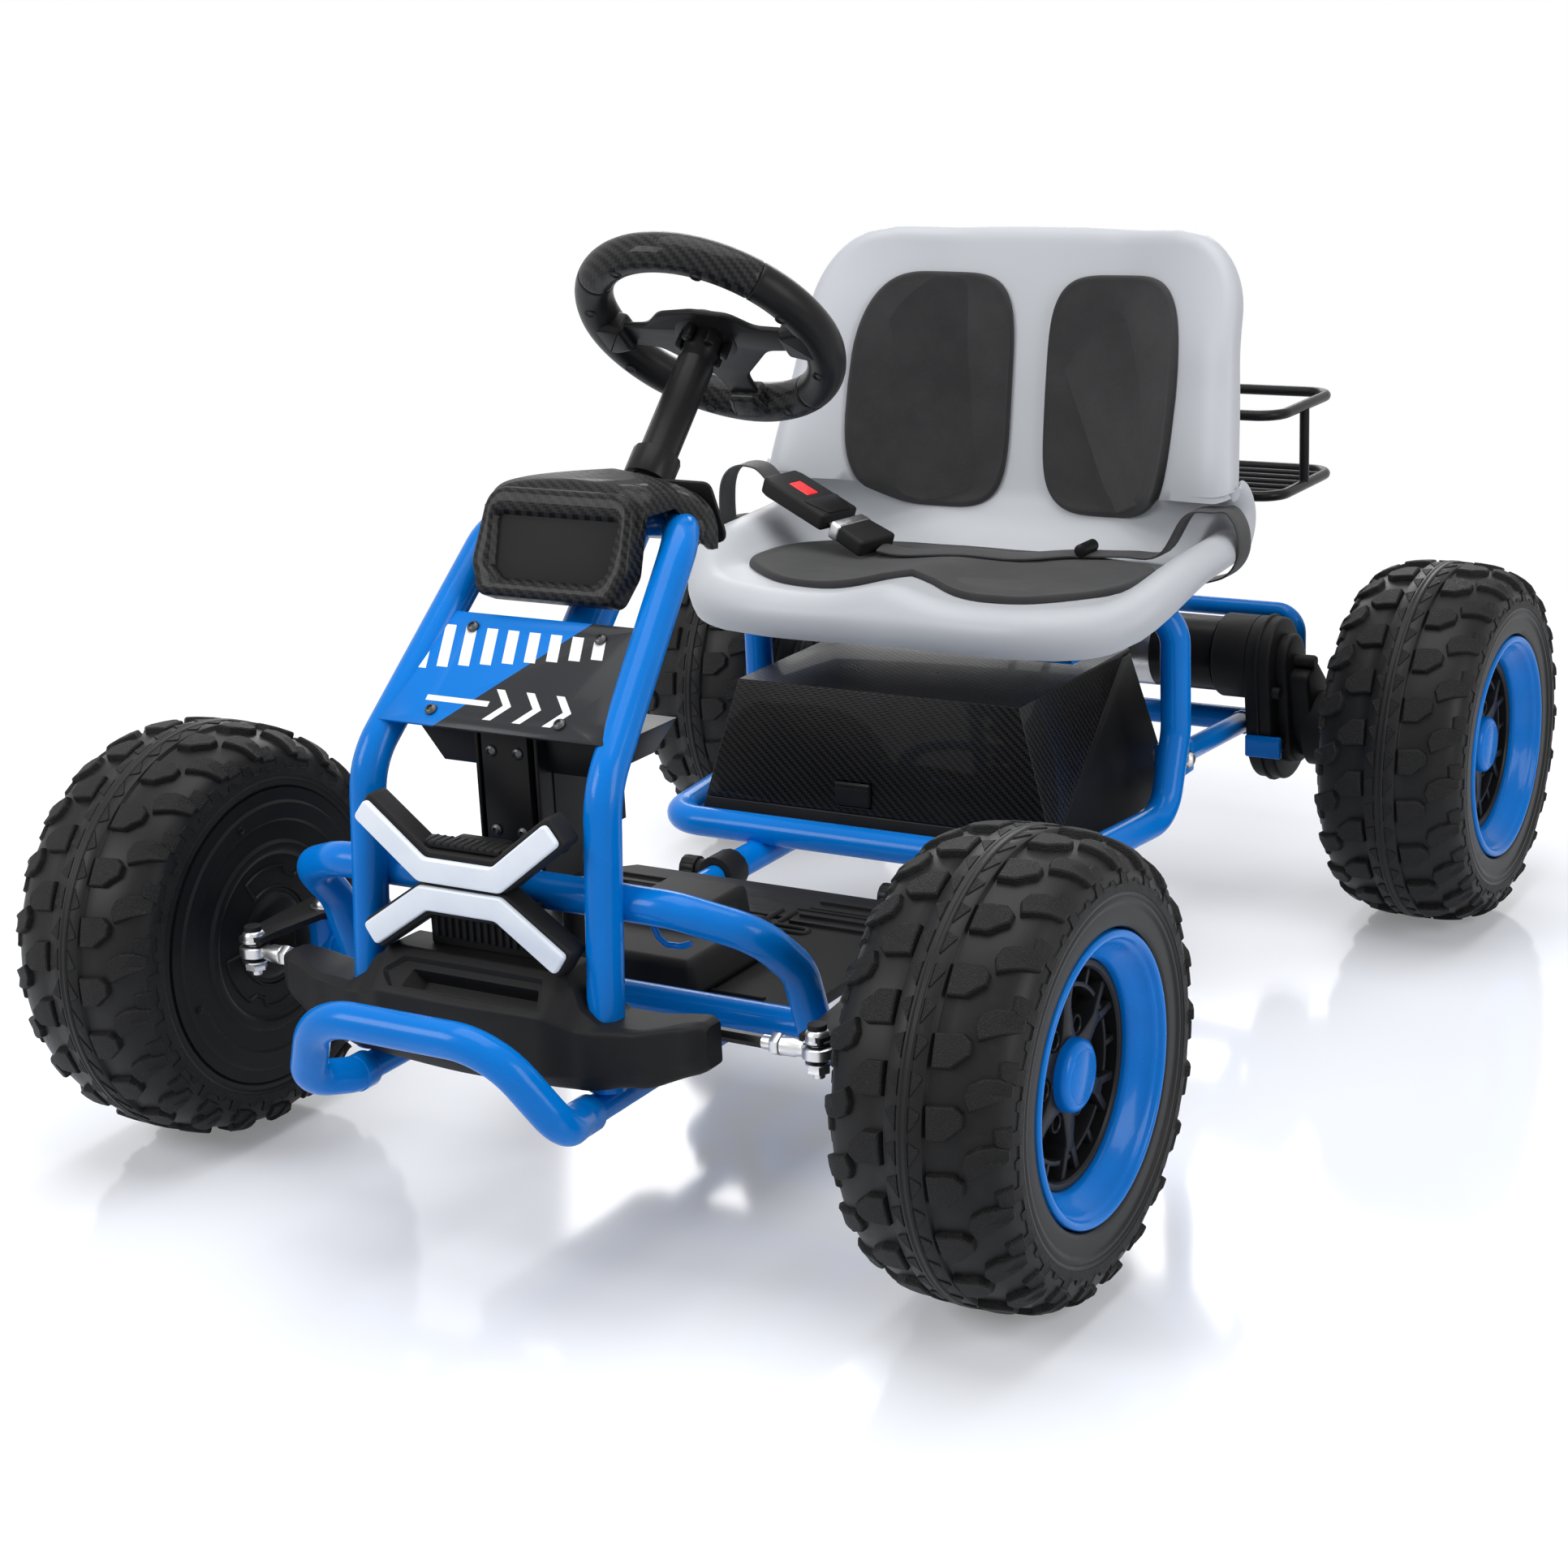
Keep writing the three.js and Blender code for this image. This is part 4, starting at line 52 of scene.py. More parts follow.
DRAWING_ZERO = -DRAWING_SHIFT


def spot(x, y, z):
    """A place on the drawing, in millimetres, as a point of the frame in metres."""
    return Vector((x, y + DRAWING_SHIFT, z)) / 1000


# %% [markdown]
# ## A box of shape tools
# Most pieces of a kart are tubes, turned rings and pressed plates. One small class collects vertices and
# faces for all three, so that a piece such as a weldment becomes one mesh. Everything in it is in
# millimetres, and the class turns it into metres at the end, so a piece's object stays at the origin, as the
# frame's own objects do.

# %% Paths and rings
def filleted(corners, bend, steps=9):
    """The corners of a bent tube as a smooth path whose inner corners are round."""
    corners = [Vector(c) for c in corners]
    path = [corners[0]]
    for before, corner, after in zip(corners, corners[1:], corners[2:]):
        back, onward = before - corner, after - corner
        reach_back, reach_on = back.length, onward.length
        back.normalize()
        onward.normalize()
        half = back.angle(onward) / 2
        if half > radians(89.5):
            continue
        trim = min(bend / tan(half), reach_back * 0.49, reach_on * 0.49)
        radius = trim * tan(half)
        centre = corner + (back + onward).normalized() * (radius / sin(half))
        first = corner + back * trim - centre
        last = corner + onward * trim - centre
        for step in range(steps + 1):
            share = step / steps
            arm = first.slerp(last, share) if first.angle(last) > 1e-4 else first
            path.append(centre + arm.normalized() * radius)
    path.append(corners[-1])
    return path


def mirrored(points):
    """The path continued to its mirror image on the kart's right side."""
    return [Vector((-p[0], p[1], p[2])) for p in reversed(points)] + [Vector(p) for p in points]


def smooth_step(t):
    t = min(max(t, 0.0), 1.0)
    return t * t * (3 - 2 * t)


def ring_frames(path, closed=False):
    """A pair of directions across the path at each point, carried along without twist."""
    count = len(path)
    along = []
    for i in range(count):
        before = path[i - 1] if (i or closed) else path[i]
        after = path[(i + 1) % count] if (i < count - 1 or closed) else path[i]
        along.append((after - before).normalized())
    side = along[0].orthogonal().normalized()
    frames = []
    for i, way in enumerate(along):
        if i:
            side = along[i - 1].rotation_difference(way) @ side
        side = (side - way * side.dot(way)).normalized()
        frames.append((side, way.cross(side).normalized()))
    return frames


def turns(count):
    """Even angles round a circle."""
    return [2 * pi * k / count for k in range(count)]


def circle(centre, u, v, radius, steps):
    """A ring of points round a centre, in the plane of u and v."""
    return [centre + u * (radius * cos(a)) + v * (radius * sin(a)) for a in turns(steps)]


def move(x, y, z):
    return Matrix.Translation((x, y, z))


def spin(degrees, axis):
    return Matrix.Rotation(radians(degrees), 4, axis)


def heading(path, i):
    """The way that a path takes at its point i."""
    return (Vector(path[min(i + 1, len(path) - 1)]) - Vector(path[max(i - 1, 0)])).normalized()


print("path tools ready")

# %% A shape of rings, tubes and plates
class Shape:
    """Vertices and faces of one piece, in drawing millimetres."""

    def __init__(self):
        self.points = []
        self.faces = []

    def rings(self, rings, closed=False, caps=True):
        """Joins rings of points, each with the same count, into a skin."""
        base = len(self.points)
        count = len(rings[0])
        for ring in rings:
            self.points.extend(Vector(p) for p in ring)
        last = len(rings) if closed else len(rings) - 1
        for r in range(last):
            a = base + r * count
            b = base + ((r + 1) % len(rings)) * count
            for i in range(count):
                j = (i + 1) % count
                self.faces.append((a + i, a + j, b + j, b + i))
        if caps and not closed:
            self.faces.append(tuple(base + i for i in reversed(range(count))))
            end = base + (len(rings) - 1) * count
            self.faces.append(tuple(end + i for i in range(count)))
        return self

    def tube(self, path, radius, sides=24, closed=False):
        """A round bar along a path; radius is one number or one for each point."""
        path = [Vector(p) for p in path]
        sizes = radius if isinstance(radius, list) else [radius] * len(path)
        frames = ring_frames(path, closed)
        return self.rings([circle(p, u, v, r, sides) for p, (u, v), r in zip(path, frames, sizes)], closed)

    def turned(self, profile, start, way, steps=48):
        """A profile of (distance along, radius) turned about the line from start towards way."""
        way = Vector(way).normalized()
        u = way.orthogonal().normalized()
        v = way.cross(u)
        start = Vector(start)
        return self.rings([circle(start + way * along, u, v, max(r, 0.01), steps) for along, r in profile])

    def loop_turned(self, profile, start, way, steps=48):
        """A closed profile turned about a line, such as a tyre or a ring."""
        base = len(self.points)
        self.turned(profile, start, way, steps)
        del self.faces[-2:]
        end = base + (len(profile) - 1) * steps
        for k in range(steps):
            j = (k + 1) % steps
            self.faces.append((end + k, end + j, base + j, base + k))
        return self

    def plate(self, outline, thickness, matrix=None, edge=0.0, steps=3):
        """A sheet with the given outline in X and Y, from z 0 up, with rounded upper and lower edges."""
        matrix = matrix or Matrix()
        levels = [(0, 0), (0, thickness)]
        if edge:
            quarter = [pi / 2 * k / steps for k in range(steps + 1)]
            low = [(edge * (1 - sin(a)), edge * (1 - cos(a))) for a in quarter]
            levels = low + [(inset, thickness - z) for inset, z in reversed(low)]
        rings = [[matrix @ Vector((*q, z)) for q in outline_inset(outline, inset)] for inset, z in levels]
        return self.rings(rings)

    def grid(self, rows):
        """Joins rows of points, each with the same count, into an open skin."""
        width = len(rows[0])
        for row in rows:
            self.points.extend(row)
        for a in (r * width + c for r in range(len(rows) - 1) for c in range(width - 1)):
            self.faces.append((a, a + 1, a + 1 + width, a + width))
        return self

    def add(self, other, matrix=None):
        """Another shape's faces, moved by a matrix."""
        base = len(self.points)
        self.points.extend((matrix or Matrix()) @ p for p in other.points)
        self.faces.extend(tuple(base + i for i in face) for face in other.faces)
        return self

    def mesh(self, name, sharp=38.0, outward=True):
        """The finished mesh in metres, smooth but for edges sharper than the given angle."""
        mesh = bpy.data.meshes.new(name)
        mesh.from_pydata([spot(*p) for p in self.points], [], self.faces)
        if outward:
            work = bmesh.new()
            work.from_mesh(mesh)
            bmesh.ops.recalc_face_normals(work, faces=work.faces)
            work.to_mesh(mesh)
            work.free()
        return smooth(mesh, sharp)


def smooth(mesh, sharp):
    mesh.shade_smooth()
    mesh.set_sharp_from_angle(angle=radians(sharp))
    return mesh


print("shape tools ready")

# %% Outlines and blocks
def outline_inset(outline, inset):
    """The outline drawn in by a distance along the bisector at each corner."""
    if not inset:
        return list(outline)
    count = len(outline)
    ahead = outline[1:] + outline[:1]
    area = sum(a[0] * b[1] - b[0] * a[1] for a, b in zip(outline, ahead))
    turn = 1 if area > 0 else -1
    drawn = []
    for i in range(count):
        a, b, c = (Vector(outline[(i + k) % count]) for k in (-1, 0, 1))
        first, second = (b - a).normalized(), (c - b).normalized()
        normal = Vector((-first.y - second.y, first.x + second.x))
        scale = max(1 + first.dot(second), 0.35)
        drawn.append(tuple(b + normal * (turn * inset / scale)))
    return drawn


def rounded_outline(corners, radius, steps=5):
    """An outline whose corners are round; radius is one number or one for each corner."""
    count = len(corners)
    ring = []
    for i in range(count):
        a, b, c = (Vector(corners[(i + k) % count]) for k in (-1, 0, 1))
        r = radius[i] if isinstance(radius, list) else radius
        back, onward = a - b, c - b
        trim = min(r / tan(back.angle(onward) / 2), back.length * 0.48, onward.length * 0.48)
        start, end = b + back.normalized() * trim, b + onward.normalized() * trim
        for k in range(steps + 1):
            t = k / steps
            ring.append(tuple(start * (1 - t) ** 2 + b * (2 * t * (1 - t)) + end * t ** 2))
    return ring


def box_outline(width, height, radius, steps=5, x=0.0, y=0.0):
    w, h = width / 2, height / 2
    return rounded_outline([(x - w, y - h), (x + w, y - h), (x + w, y + h), (x - w, y + h)], radius, steps)


def slab(outline, rounding, steps, thickness, place, edge, edge_steps=3):
    """A plate whose outline has rounded corners."""
    return Shape().plate(rounded_outline(outline, rounding, steps), thickness, place, edge, edge_steps)


def along_x(start, side):
    """A matrix that lays a flat Y, Z outline across the kart, growing outward from x = start."""
    return Matrix(((0, 0, side, side * start), (1, 0, 0, 0), (0, 1, 0, 0), (0, 0, 0, 1)))


def facing(place, way):
    """A matrix that sets a shape drawn up the Z axis at a place, pointing along a way."""
    turn = Vector((0, 0, 1)).rotation_difference(Vector(way).normalized())
    return Matrix.Translation(place) @ turn.to_matrix().to_4x4()


def soft_block(size, centre, edge):
    """A block with rounded corners and edges, size and centre in millimetres."""
    lift = Matrix.Translation(Vector(centre) - Vector((0, 0, size[2] / 2)))
    return Shape().plate(box_outline(size[0], size[1], edge * 1.4, 4), size[2], lift, edge)


print("outline tools ready")

# %% [markdown]
# ## Putting a piece on the kart
# Every piece rides on the body of the node it belongs to, so it moves with that joint. `dress` makes the
# piece that takes a solid's place and hides the solid. `detail` adds a further piece to the same body. Where
# a shape needs a modifier, `worked` adds it to a holder and takes the evaluated mesh, so that no modifier is
# left over.

# %% Fitting pieces
def linked(name, data):
    thing = bpy.data.objects.new(name, data)
    bpy.context.scene.collection.objects.link(thing)
    return thing


def detail(name, form, finish, node, sharp=38, slot=None):
    """A shape or mesh as a finished piece on the body of a node."""
    mesh = form.mesh(name, sharp) if isinstance(form, Shape) else form
    mesh.materials.clear()
    mesh.materials.append(finish)
    piece = linked(name, mesh)
    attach(piece, body_of[node])
    return piece


def dress(name, form, finish, node, sharp=38, slot=None):
    """A piece that also takes the place of the node's solid."""
    piece = detail(name, form, finish, node, sharp, slot)
    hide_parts(node)
    return piece


def worked(mesh, *steps):
    """A plain mesh after the given modifiers, each a kind and its settings."""
    holder = linked("holder", mesh)
    for kind, settings in steps:
        modifier = holder.modifiers.new(kind, kind)
        for setting, value in settings.items():
            if hasattr(modifier, setting):
                setattr(modifier, setting, value)
            else:
                modifier[setting] = value
    view = bpy.context.evaluated_depsgraph_get()
    view.update()
    result = bpy.data.meshes.new_from_object(holder.evaluated_get(view), depsgraph=view)
    bpy.data.objects.remove(holder)
    return result


def refined(node, edge, segments=3, sharp=32.0, flat=1.5):
    """A copy of a node's solid with merged corners and softly rounded edges, edge in millimetres."""
    mesh = frame["nodes"][node].data.copy()
    work = bmesh.new()
    work.from_mesh(mesh)
    bmesh.ops.remove_doubles(work, verts=work.verts, dist=0.00002)
    bmesh.ops.dissolve_limit(work, angle_limit=radians(flat), verts=work.verts, edges=work.edges)
    work.to_mesh(mesh)
    work.free()
    round_off = {"width": edge / 1000, "segments": segments, "limit_method": "ANGLE",
                 "angle_limit": radians(sharp)}
    return smooth(worked(mesh, ("BEVEL", round_off)), 38)


def dress_refined(name, node, finish, *edge, slot=None):
    """Dresses a node with its own solid, its edges rounded."""
    return dress(name, refined(node, *edge), finish, node, slot=slot)


HANDS = ((1, "left"), (-1, "right"))
print("fitting tools ready")

# %% [markdown]
# ## Shader arithmetic
# A finish is a small tree of nodes. Written as node calls it is hard to read, so `Wire` wraps an output
# socket and lets ordinary Python arithmetic add the Math nodes. `Finish` holds the tree and gives one method,
# `add`, that makes any other node from its type, its settings and the values of its sockets.

# %% Wires and finishes
def arithmetic(operation, swapped=False):
    def method(self, *others):
        return self.math(operation, *((*others, self) if swapped else (self, *others)))
    return method


class Wire:
    """An output socket that takes part in arithmetic."""
    __add__ = __radd__ = arithmetic("ADD")
    __sub__ = arithmetic("SUBTRACT")
    __rsub__ = arithmetic("SUBTRACT", swapped=True)
    __mul__ = __rmul__ = arithmetic("MULTIPLY")
    __truediv__ = arithmetic("DIVIDE")
    __mod__ = arithmetic("FLOORED_MODULO")
    __gt__ = arithmetic("GREATER_THAN")
    __lt__ = arithmetic("LESS_THAN")
    floor = arithmetic("FLOOR")
    absolute = arithmetic("ABSOLUTE")
    sine = arithmetic("SINE")

    def __init__(self, finish, socket):
        self.finish = finish
        self.socket = socket

    def math(self, operation, *values):
        return self.finish.add("Math", dict(enumerate(values)), {"operation": operation})

    def between(self, low, high, to_low=0.0, to_high=1.0, soft=True):
        """The value spread from low..high to another range, and held at its ends."""
        kind = "SMOOTHSTEP" if soft else "LINEAR"
        sockets = {"Value": self, "From Min": low, "From Max": high, "To Min": to_low, "To Max": to_high}
        return self.finish.add("MapRange", sockets, {"interpolation_type": kind})


class Finish:
    """A tree of nodes, for a material or a world, to which nodes are added by name."""

    def __init__(self, name, plain, owner=None):
        self.material = owner or bpy.data.materials.new(name)
        self.material.use_nodes = True
        self.tree = self.material.node_tree
        self.shader = self.tree.nodes["Background" if owner else "Principled BSDF"]
        for socket, value in plain.items():
            self.shader.inputs[socket].default_value = value

    def feed(self, socket, value):
        if isinstance(value, Wire):
            self.tree.links.new(value.socket, socket)
        else:
            socket.default_value = value

    def add(self, kind, sockets=None, settings=None, output=0):
        node = self.tree.nodes.new("ShaderNode" + kind)
        for setting, value in (settings or {}).items():
            setattr(node, setting, value)
        for socket, value in (sockets or {}).items():
            self.feed(node.inputs[socket], value)
        return Wire(self, node.outputs[output])

    def place(self):
        """The point in metres, which is the frame's own because pieces stay at the origin."""
        return self.add("TexCoord", output="Object")

    def axes(self, vector=None):
        node = self.add("SeparateXYZ", {0: vector or self.place()}).socket.node
        return [Wire(self, node.outputs[i]) for i in range(3)]

    def noise(self, scale, detail=2.0, rough=0.5, vector=None):
        sockets = {"Vector": vector or self.place(), "Scale": scale, "Detail": detail, "Roughness": rough}
        return self.add("TexNoise", sockets)

    def cells(self, scale, feature="F1"):
        return self.add("TexVoronoi", {"Vector": self.place(), "Scale": scale}, {"feature": feature})

    def tint(self, share, first, second):
        """The colour first where share is 0 and second where it is 1."""
        return self.add("Mix", {0: share, 6: first, 7: second}, {"data_type": "RGBA"}, 2)

    def clouded(self, scale, first, second, detail=3.0, edge=0.3):
        """A soft cloud, and the colour that it spreads between two."""
        cloud = self.noise(scale, detail)
        return cloud, self.tint(cloud.between(edge, 1 - edge), first, second)

    def bump(self, height, depth, strength, under=None):
        sockets = {"Height": height, "Distance": depth, "Strength": strength}
        if under is not None:
            sockets["Normal"] = under
        return self.add("Bump", sockets)

    def done(self, colour, rough, relief, depth, strength, coat=None, under=None):
        """Plugs in the colour, the roughness, a relief of some depth in metres, and a clear coat."""
        wires = {"Base Color": colour, "Roughness": rough, "Normal": self.bump(relief, depth, strength, under)}
        if coat is not None:
            wires["Coat Weight"] = coat
        for socket, value in wires.items():
            self.feed(self.shader.inputs[socket], value)
        return self.material


def shade(colour, factor):
    return (colour[0] * factor, colour[1] * factor, colour[2] * factor, 1)


def grey(level, blue):
    """A grey whose blue differs a little, which cools or warms it."""
    return (level, level, blue, 1)


print("shader tools ready")

# %% [markdown]
# ## Painted steel
# The frame tubes are dipped in a bright blue gloss paint. Real paint on tube is never dead even: it has a
# faint orange peel, a few thin rubs, and a little dust where hands don't wipe it. The peel is a Bump node far
# finer than the tube, and the rubs are stretched noise that only changes the roughness.

# %% Blue paint
BLUE = (0.0, 0.165, 0.58)


def blue_paint():
    f = Finish("blue_gloss_paint", {"IOR": 1.42, "Specular IOR Level": 0.14, "Coat Weight": 0.1,
                                    "Coat Roughness": 0.05})
    peel = f.noise(420, 2)
    cloud, colour = f.clouded(9, shade(BLUE, 0.93), shade(BLUE, 1.05), edge=0.35)
    stretch = f.add("Mapping", {"Vector": f.place(), "Scale": (40, 900, 900)})
    rubs = f.noise(1.0, 4, 0.6, stretch).between(0.62, 0.74)
    dust = f.noise(1500, 1).between(0.7, 0.8)
    colour = f.tint(dust * 0.18, colour, (0.35, 0.45, 0.7, 1))
    return f.done(colour, 0.2 + rubs * 0.1 + cloud * 0.06 + dust * 0.15, peel, 0.00012, 0.35)


def rim_blue():
    f = Finish("blue_moulded_rim", {"IOR": 1.42, "Specular IOR Level": 0.14, "Coat Weight": 0.1,
                                    "Coat Roughness": 0.06})
    cloud, colour = f.clouded(14, shade(BLUE, 0.9), shade(BLUE, 1.06))
    scuff = f.noise(160, 5, 0.65).between(0.6, 0.78)
    return f.done(colour, 0.24 + scuff * 0.16 + cloud * 0.05, f.noise(900, 1), 0.00005, 0.3)


blue = blue_paint()
rim_finish = rim_blue()
print("finishes:", blue.name, rim_finish.name)

# %% [markdown]
# ## Black plastics, rubber and foam
# Five blacks that must not look the same: moulded plastic with a fine sand grain, gloss plastic printed with
# a woven pattern, smooth rubber, rubber with a leather grain on the blocks, and dull foam. They differ in
# roughness and in the size of their bump, far more than in colour.

# %% Moulded plastics
def grained_plastic(name, level, rough, grain, depth):
    f = Finish(name, {"IOR": 1.46, "Specular IOR Level": 0.13})
    sand = f.noise(grain, 2, 0.6)
    cloud, colour = f.clouded(11, grey(level * 0.9, level * 0.95), grey(level * 1.15, level * 1.2), edge=0.35)
    rubs = f.noise(70, 5, 0.7).between(0.6, 0.8)
    return f.done(colour, rough + cloud * 0.08 - rubs * 0.06, sand, depth, 0.55)


matt_black = grained_plastic("black_sand_grain_plastic", 0.0125, 0.47, 1500, 0.00016)
satin_black = grained_plastic("black_satin_plastic", 0.010, 0.3, 2200, 0.00006)
part_black = grained_plastic("black_paint_on_steel", 0.011, 0.27, 800, 0.0001)
gritty_black = grained_plastic("black_gritty_paint", 0.012, 0.5, 620, 0.0005)


def woven_gloss(name, thread, level, rough, clear):
    """A printed twill: slanted runs of threads, alternately lighter and darker, under a clear gloss."""
    f = Finish(name, {"IOR": 1.5, "Specular IOR Level": 0.1, "Coat Roughness": 0.05})
    x, y, z = f.axes()
    across = (x + y * 0.62) / thread
    upward = (z + y * 0.71) / thread
    turn = (across.floor() + upward.floor()) % 4
    over = turn < 1.5
    warp = (across * pi).sine().absolute()
    weft = (upward * pi).sine().absolute()
    relief = over * warp + (1 - over) * weft
    colour = f.tint(over, grey(level * 0.55, level * 0.6), grey(level * 2.4, level * 2.5))
    smear = f.noise(26, 4, 0.6)
    coat = smear.between(0.3, 0.6, clear * 0.75, clear)
    return f.done(colour, rough + smear * 0.1 + over * 0.06, relief, thread * 0.07, 0.5, coat)


hood_weave = woven_gloss("gloss_weave_print", 0.0021, 0.005, 0.24, 0.16)
cowl_weave = woven_gloss("satin_weave_print", 0.0024, 0.008, 0.42, 0.1)
grip_weave = woven_gloss("grip_weave_print", 0.0026, 0.009, 0.38, 0.15)
print("plastics:", matt_black.name, satin_black.name, hood_weave.name)

# %% Tyre rubber, foam, webbing
def tyre_rubber(name, grain, depth, rough, level):
    f = Finish(name, {"IOR": 1.5, "Specular IOR Level": 0.16})
    leather = f.cells(grain, "DISTANCE_TO_EDGE")
    fine = f.noise(grain * 2.2, 2)
    cloud, colour = f.clouded(17, grey(level * 0.85, level * 0.87), grey(level * 1.2, level * 1.22), 4)
    dusty = f.noise(60, 5, 0.7).between(0.56, 0.72)
    colour = f.tint(dusty * 0.1, colour, (0.05, 0.048, 0.046, 1))
    height = leather.between(0.0, 0.22) * 0.8 + fine * 0.3
    return f.done(colour, rough + cloud * 0.08 + dusty * 0.08, height, depth, 0.6)


smooth_rubber = tyre_rubber("tyre_smooth_rubber", 1600, 0.00003, 0.36, 0.010)
grain_rubber = tyre_rubber("tyre_grained_rubber", 560, 0.0006, 0.5, 0.009)


def closed_foam():
    f = Finish("dense_black_foam", {"IOR": 1.4, "Specular IOR Level": 0.3, "Sheen Weight": 0.1,
                                    "Sheen Roughness": 0.6})
    pores = f.cells(1250)
    grit = f.noise(2600, 2)
    crease = f.noise(16, 5, 0.62)
    speck = f.noise(900, 1).between(0.68, 0.78)
    # The colour follows the crease relief, darker in its dips and lighter on its ridges: painted shade.
    colour = f.tint(crease.between(0.3, 0.7), grey(0.018, 0.019), grey(0.028, 0.029))
    colour = f.tint(speck * 0.3, colour, grey(0.07, 0.072))
    fine = f.bump(pores * 0.5 + grit * 0.4, 0.00035, 0.5)
    return f.done(colour, 0.8 + crease * 0.12, crease, 0.0016, 0.5, under=fine)


foam = closed_foam()


def woven_webbing():
    """Seat belt webbing: lengthwise ribs crossed by fine picks; U runs across and V along, in metres."""
    f = Finish("black_belt_webbing", {"IOR": 1.5, "Sheen Weight": 0.15, "Sheen Roughness": 0.4})
    u, v, w = f.axes(f.add("TexCoord", output="UV"))
    ribs = (u * (2 * pi / 0.0017)).sine()
    lean = (ribs > 0) * 0.0004
    picks = ((v + lean) * (2 * pi / 0.0008)).sine()
    height = ribs * 0.5 + picks * 0.35
    fuzz = f.noise(900, 3)
    # The colour follows the picks' relief, lighter on their crests and darker in the grooves between them:
    # painted shade.
    colour = f.tint(picks.between(-1, 1), grey(0.009, 0.010), grey(0.026, 0.028))
    colour = f.tint(fuzz.between(0.55, 0.75) * 0.3, colour, grey(0.05, 0.052))
    return f.done(colour, 0.5 + fuzz * 0.2, height, 0.00022, 0.7)


webbing = woven_webbing()
print("soft finishes:", smooth_rubber.name, grain_rubber.name, foam.name, webbing.name)

# %% [markdown]
# ## Seat, lamp and bare metal
# The seat is blow moulded in a pale cool grey with a soft sheen. The lamp bars are milky white plastic.
# Bolts, nuts and rod ends are zinc plated, which is a brushed, slightly cloudy metal rather than a mirror.

# %% Seat, lamp, metals
def pale_seat():
    f = Finish("pale_grey_moulding", {"IOR": 1.46, "Specular IOR Level": 0.3})
    cloud, colour = f.clouded(5, (0.435, 0.45, 0.475, 1), (0.46, 0.475, 0.50, 1))
    scuffs = f.noise(120, 6, 0.7).between(0.66, 0.8)
    colour = f.tint(scuffs * 0.12, colour, (0.40, 0.42, 0.45, 1))
    return f.done(colour, 0.36 + cloud * 0.08 + scuffs * 0.1, f.noise(1300, 2, 0.6), 0.00009, 0.4)


def milky_lens():
    f = Finish("milky_lamp_plastic", {"IOR": 1.47, "Coat Weight": 0.2, "Coat Roughness": 0.1})
    cloud, colour = f.clouded(30, (0.74, 0.79, 0.86, 1), (0.8, 0.845, 0.9, 1))
    return f.done(colour, 0.3 + cloud * 0.08, f.noise(1100, 1), 0.00004, 0.4)


def plated(name, level, rough):
    f = Finish(name, {"Metallic": 1.0})
    brushed = f.add("Mapping", {"Vector": f.place(), "Scale": (300, 300, 2400)})
    lines = f.noise(1.0, 3, 0.6, brushed)
    cloud, colour = f.clouded(160, (level * 0.9, level * 0.91, level * 0.93, 1), grey(level, level))
    return f.done(colour, rough + lines * 0.14 + cloud * 0.08, lines, 0.00003, 0.4)


def red_press():
    f = Finish("red_button_plastic", {"IOR": 1.49, "Coat Weight": 0.15})
    cloud, colour = f.clouded(60, (0.72, 0.008, 0.012, 1), (0.82, 0.014, 0.018, 1))
    return f.done(colour, 0.34 + cloud * 0.1, f.noise(1500, 2), 0.00006, 0.4)


seat_grey = pale_seat()
lens_white = milky_lens()
zinc = plated("zinc_plate", 0.62, 0.2)
bright_steel = plated("bright_steel", 0.7, 0.1)
dark_steel = plated("blackened_steel", 0.09, 0.3)
red_finish = red_press()
screen_black = grained_plastic("smoked_panel", 0.009, 0.5, 3000, 0.00003)
label_grey = grained_plastic("grey_moulded_stripe", 0.11, 0.4, 1600, 0.0001)
print("seat, lamp and metals ready")

# %% [markdown]
# ## The tube frame
# The chassis is bent and welded from round steel tube: a hoop that carries the column, an arch over the axle,
# a bumper loop, two long rails and a cradle round the battery box. A curve with a bevel would do for one
# tube, but here each weldment is swept in mesh code, so that its tubes, sleeves and weld beads are one piece.

# %% Sizes of the frame
TUBE = 12.7
RAIL = 10.0
AXLE_Z = 159.23
FRONT_AXLE_Y = -419.5
REAR_AXLE_Y = 419.5
HALF_TRACK = 346.0
RAIL_X = 94.0
RAIL_Z = 130.0
COLUMN_TILT = radians(45.5)
COLUMN_UP = Vector((0, cos(COLUMN_TILT), sin(COLUMN_TILT)))
WHEEL_CENTRE = Vector((0, -204, 597))


def down_column(distance):
    """The point that far below the steering wheel's centre along the column."""
    return WHEEL_CENTRE - COLUMN_UP * distance


def weld_bead(shape, centre, way, radius, thickness=2.2, steps=40):
    """A fillet of weld round a tube: a rippled ring where it meets another tube."""
    way = Vector(way).normalized()
    u = way.orthogonal().normalized()
    v = way.cross(u)
    rings = []
    for a in turns(steps):
        out = u * cos(a) + v * sin(a)
        swell = thickness * (1 + 0.16 * sin(a * 13) + 0.1 * sin(a * 7 + 1))
        middle = Vector(centre) + out * radius
        rings.append([middle + out * (swell * cos(b)) + way * (swell * 1.3 * sin(b)) for b in turns(8)])
    shape.rings(rings, closed=True)


def capped_tube(shape, path, radius, sides=28):
    """A tube with softly rounded ends."""
    first, last = Vector(path[0]), Vector(path[-1])
    start_way = (first - Vector(path[1])).normalized()
    end_way = (last - Vector(path[-2])).normalized()
    lead = [first + start_way * 0.9, first + start_way * 0.6]
    tail = [last + end_way * 0.6, last + end_way * 0.9]
    points = lead + [Vector(p) for p in path] + tail
    radii = [radius * 0.82, radius * 0.95] + [radius] * len(path) + [radius * 0.95, radius * 0.82]
    shape.tube(points, radii, sides)


print("axle height", AXLE_Z, "track", 2 * HALF_TRACK)

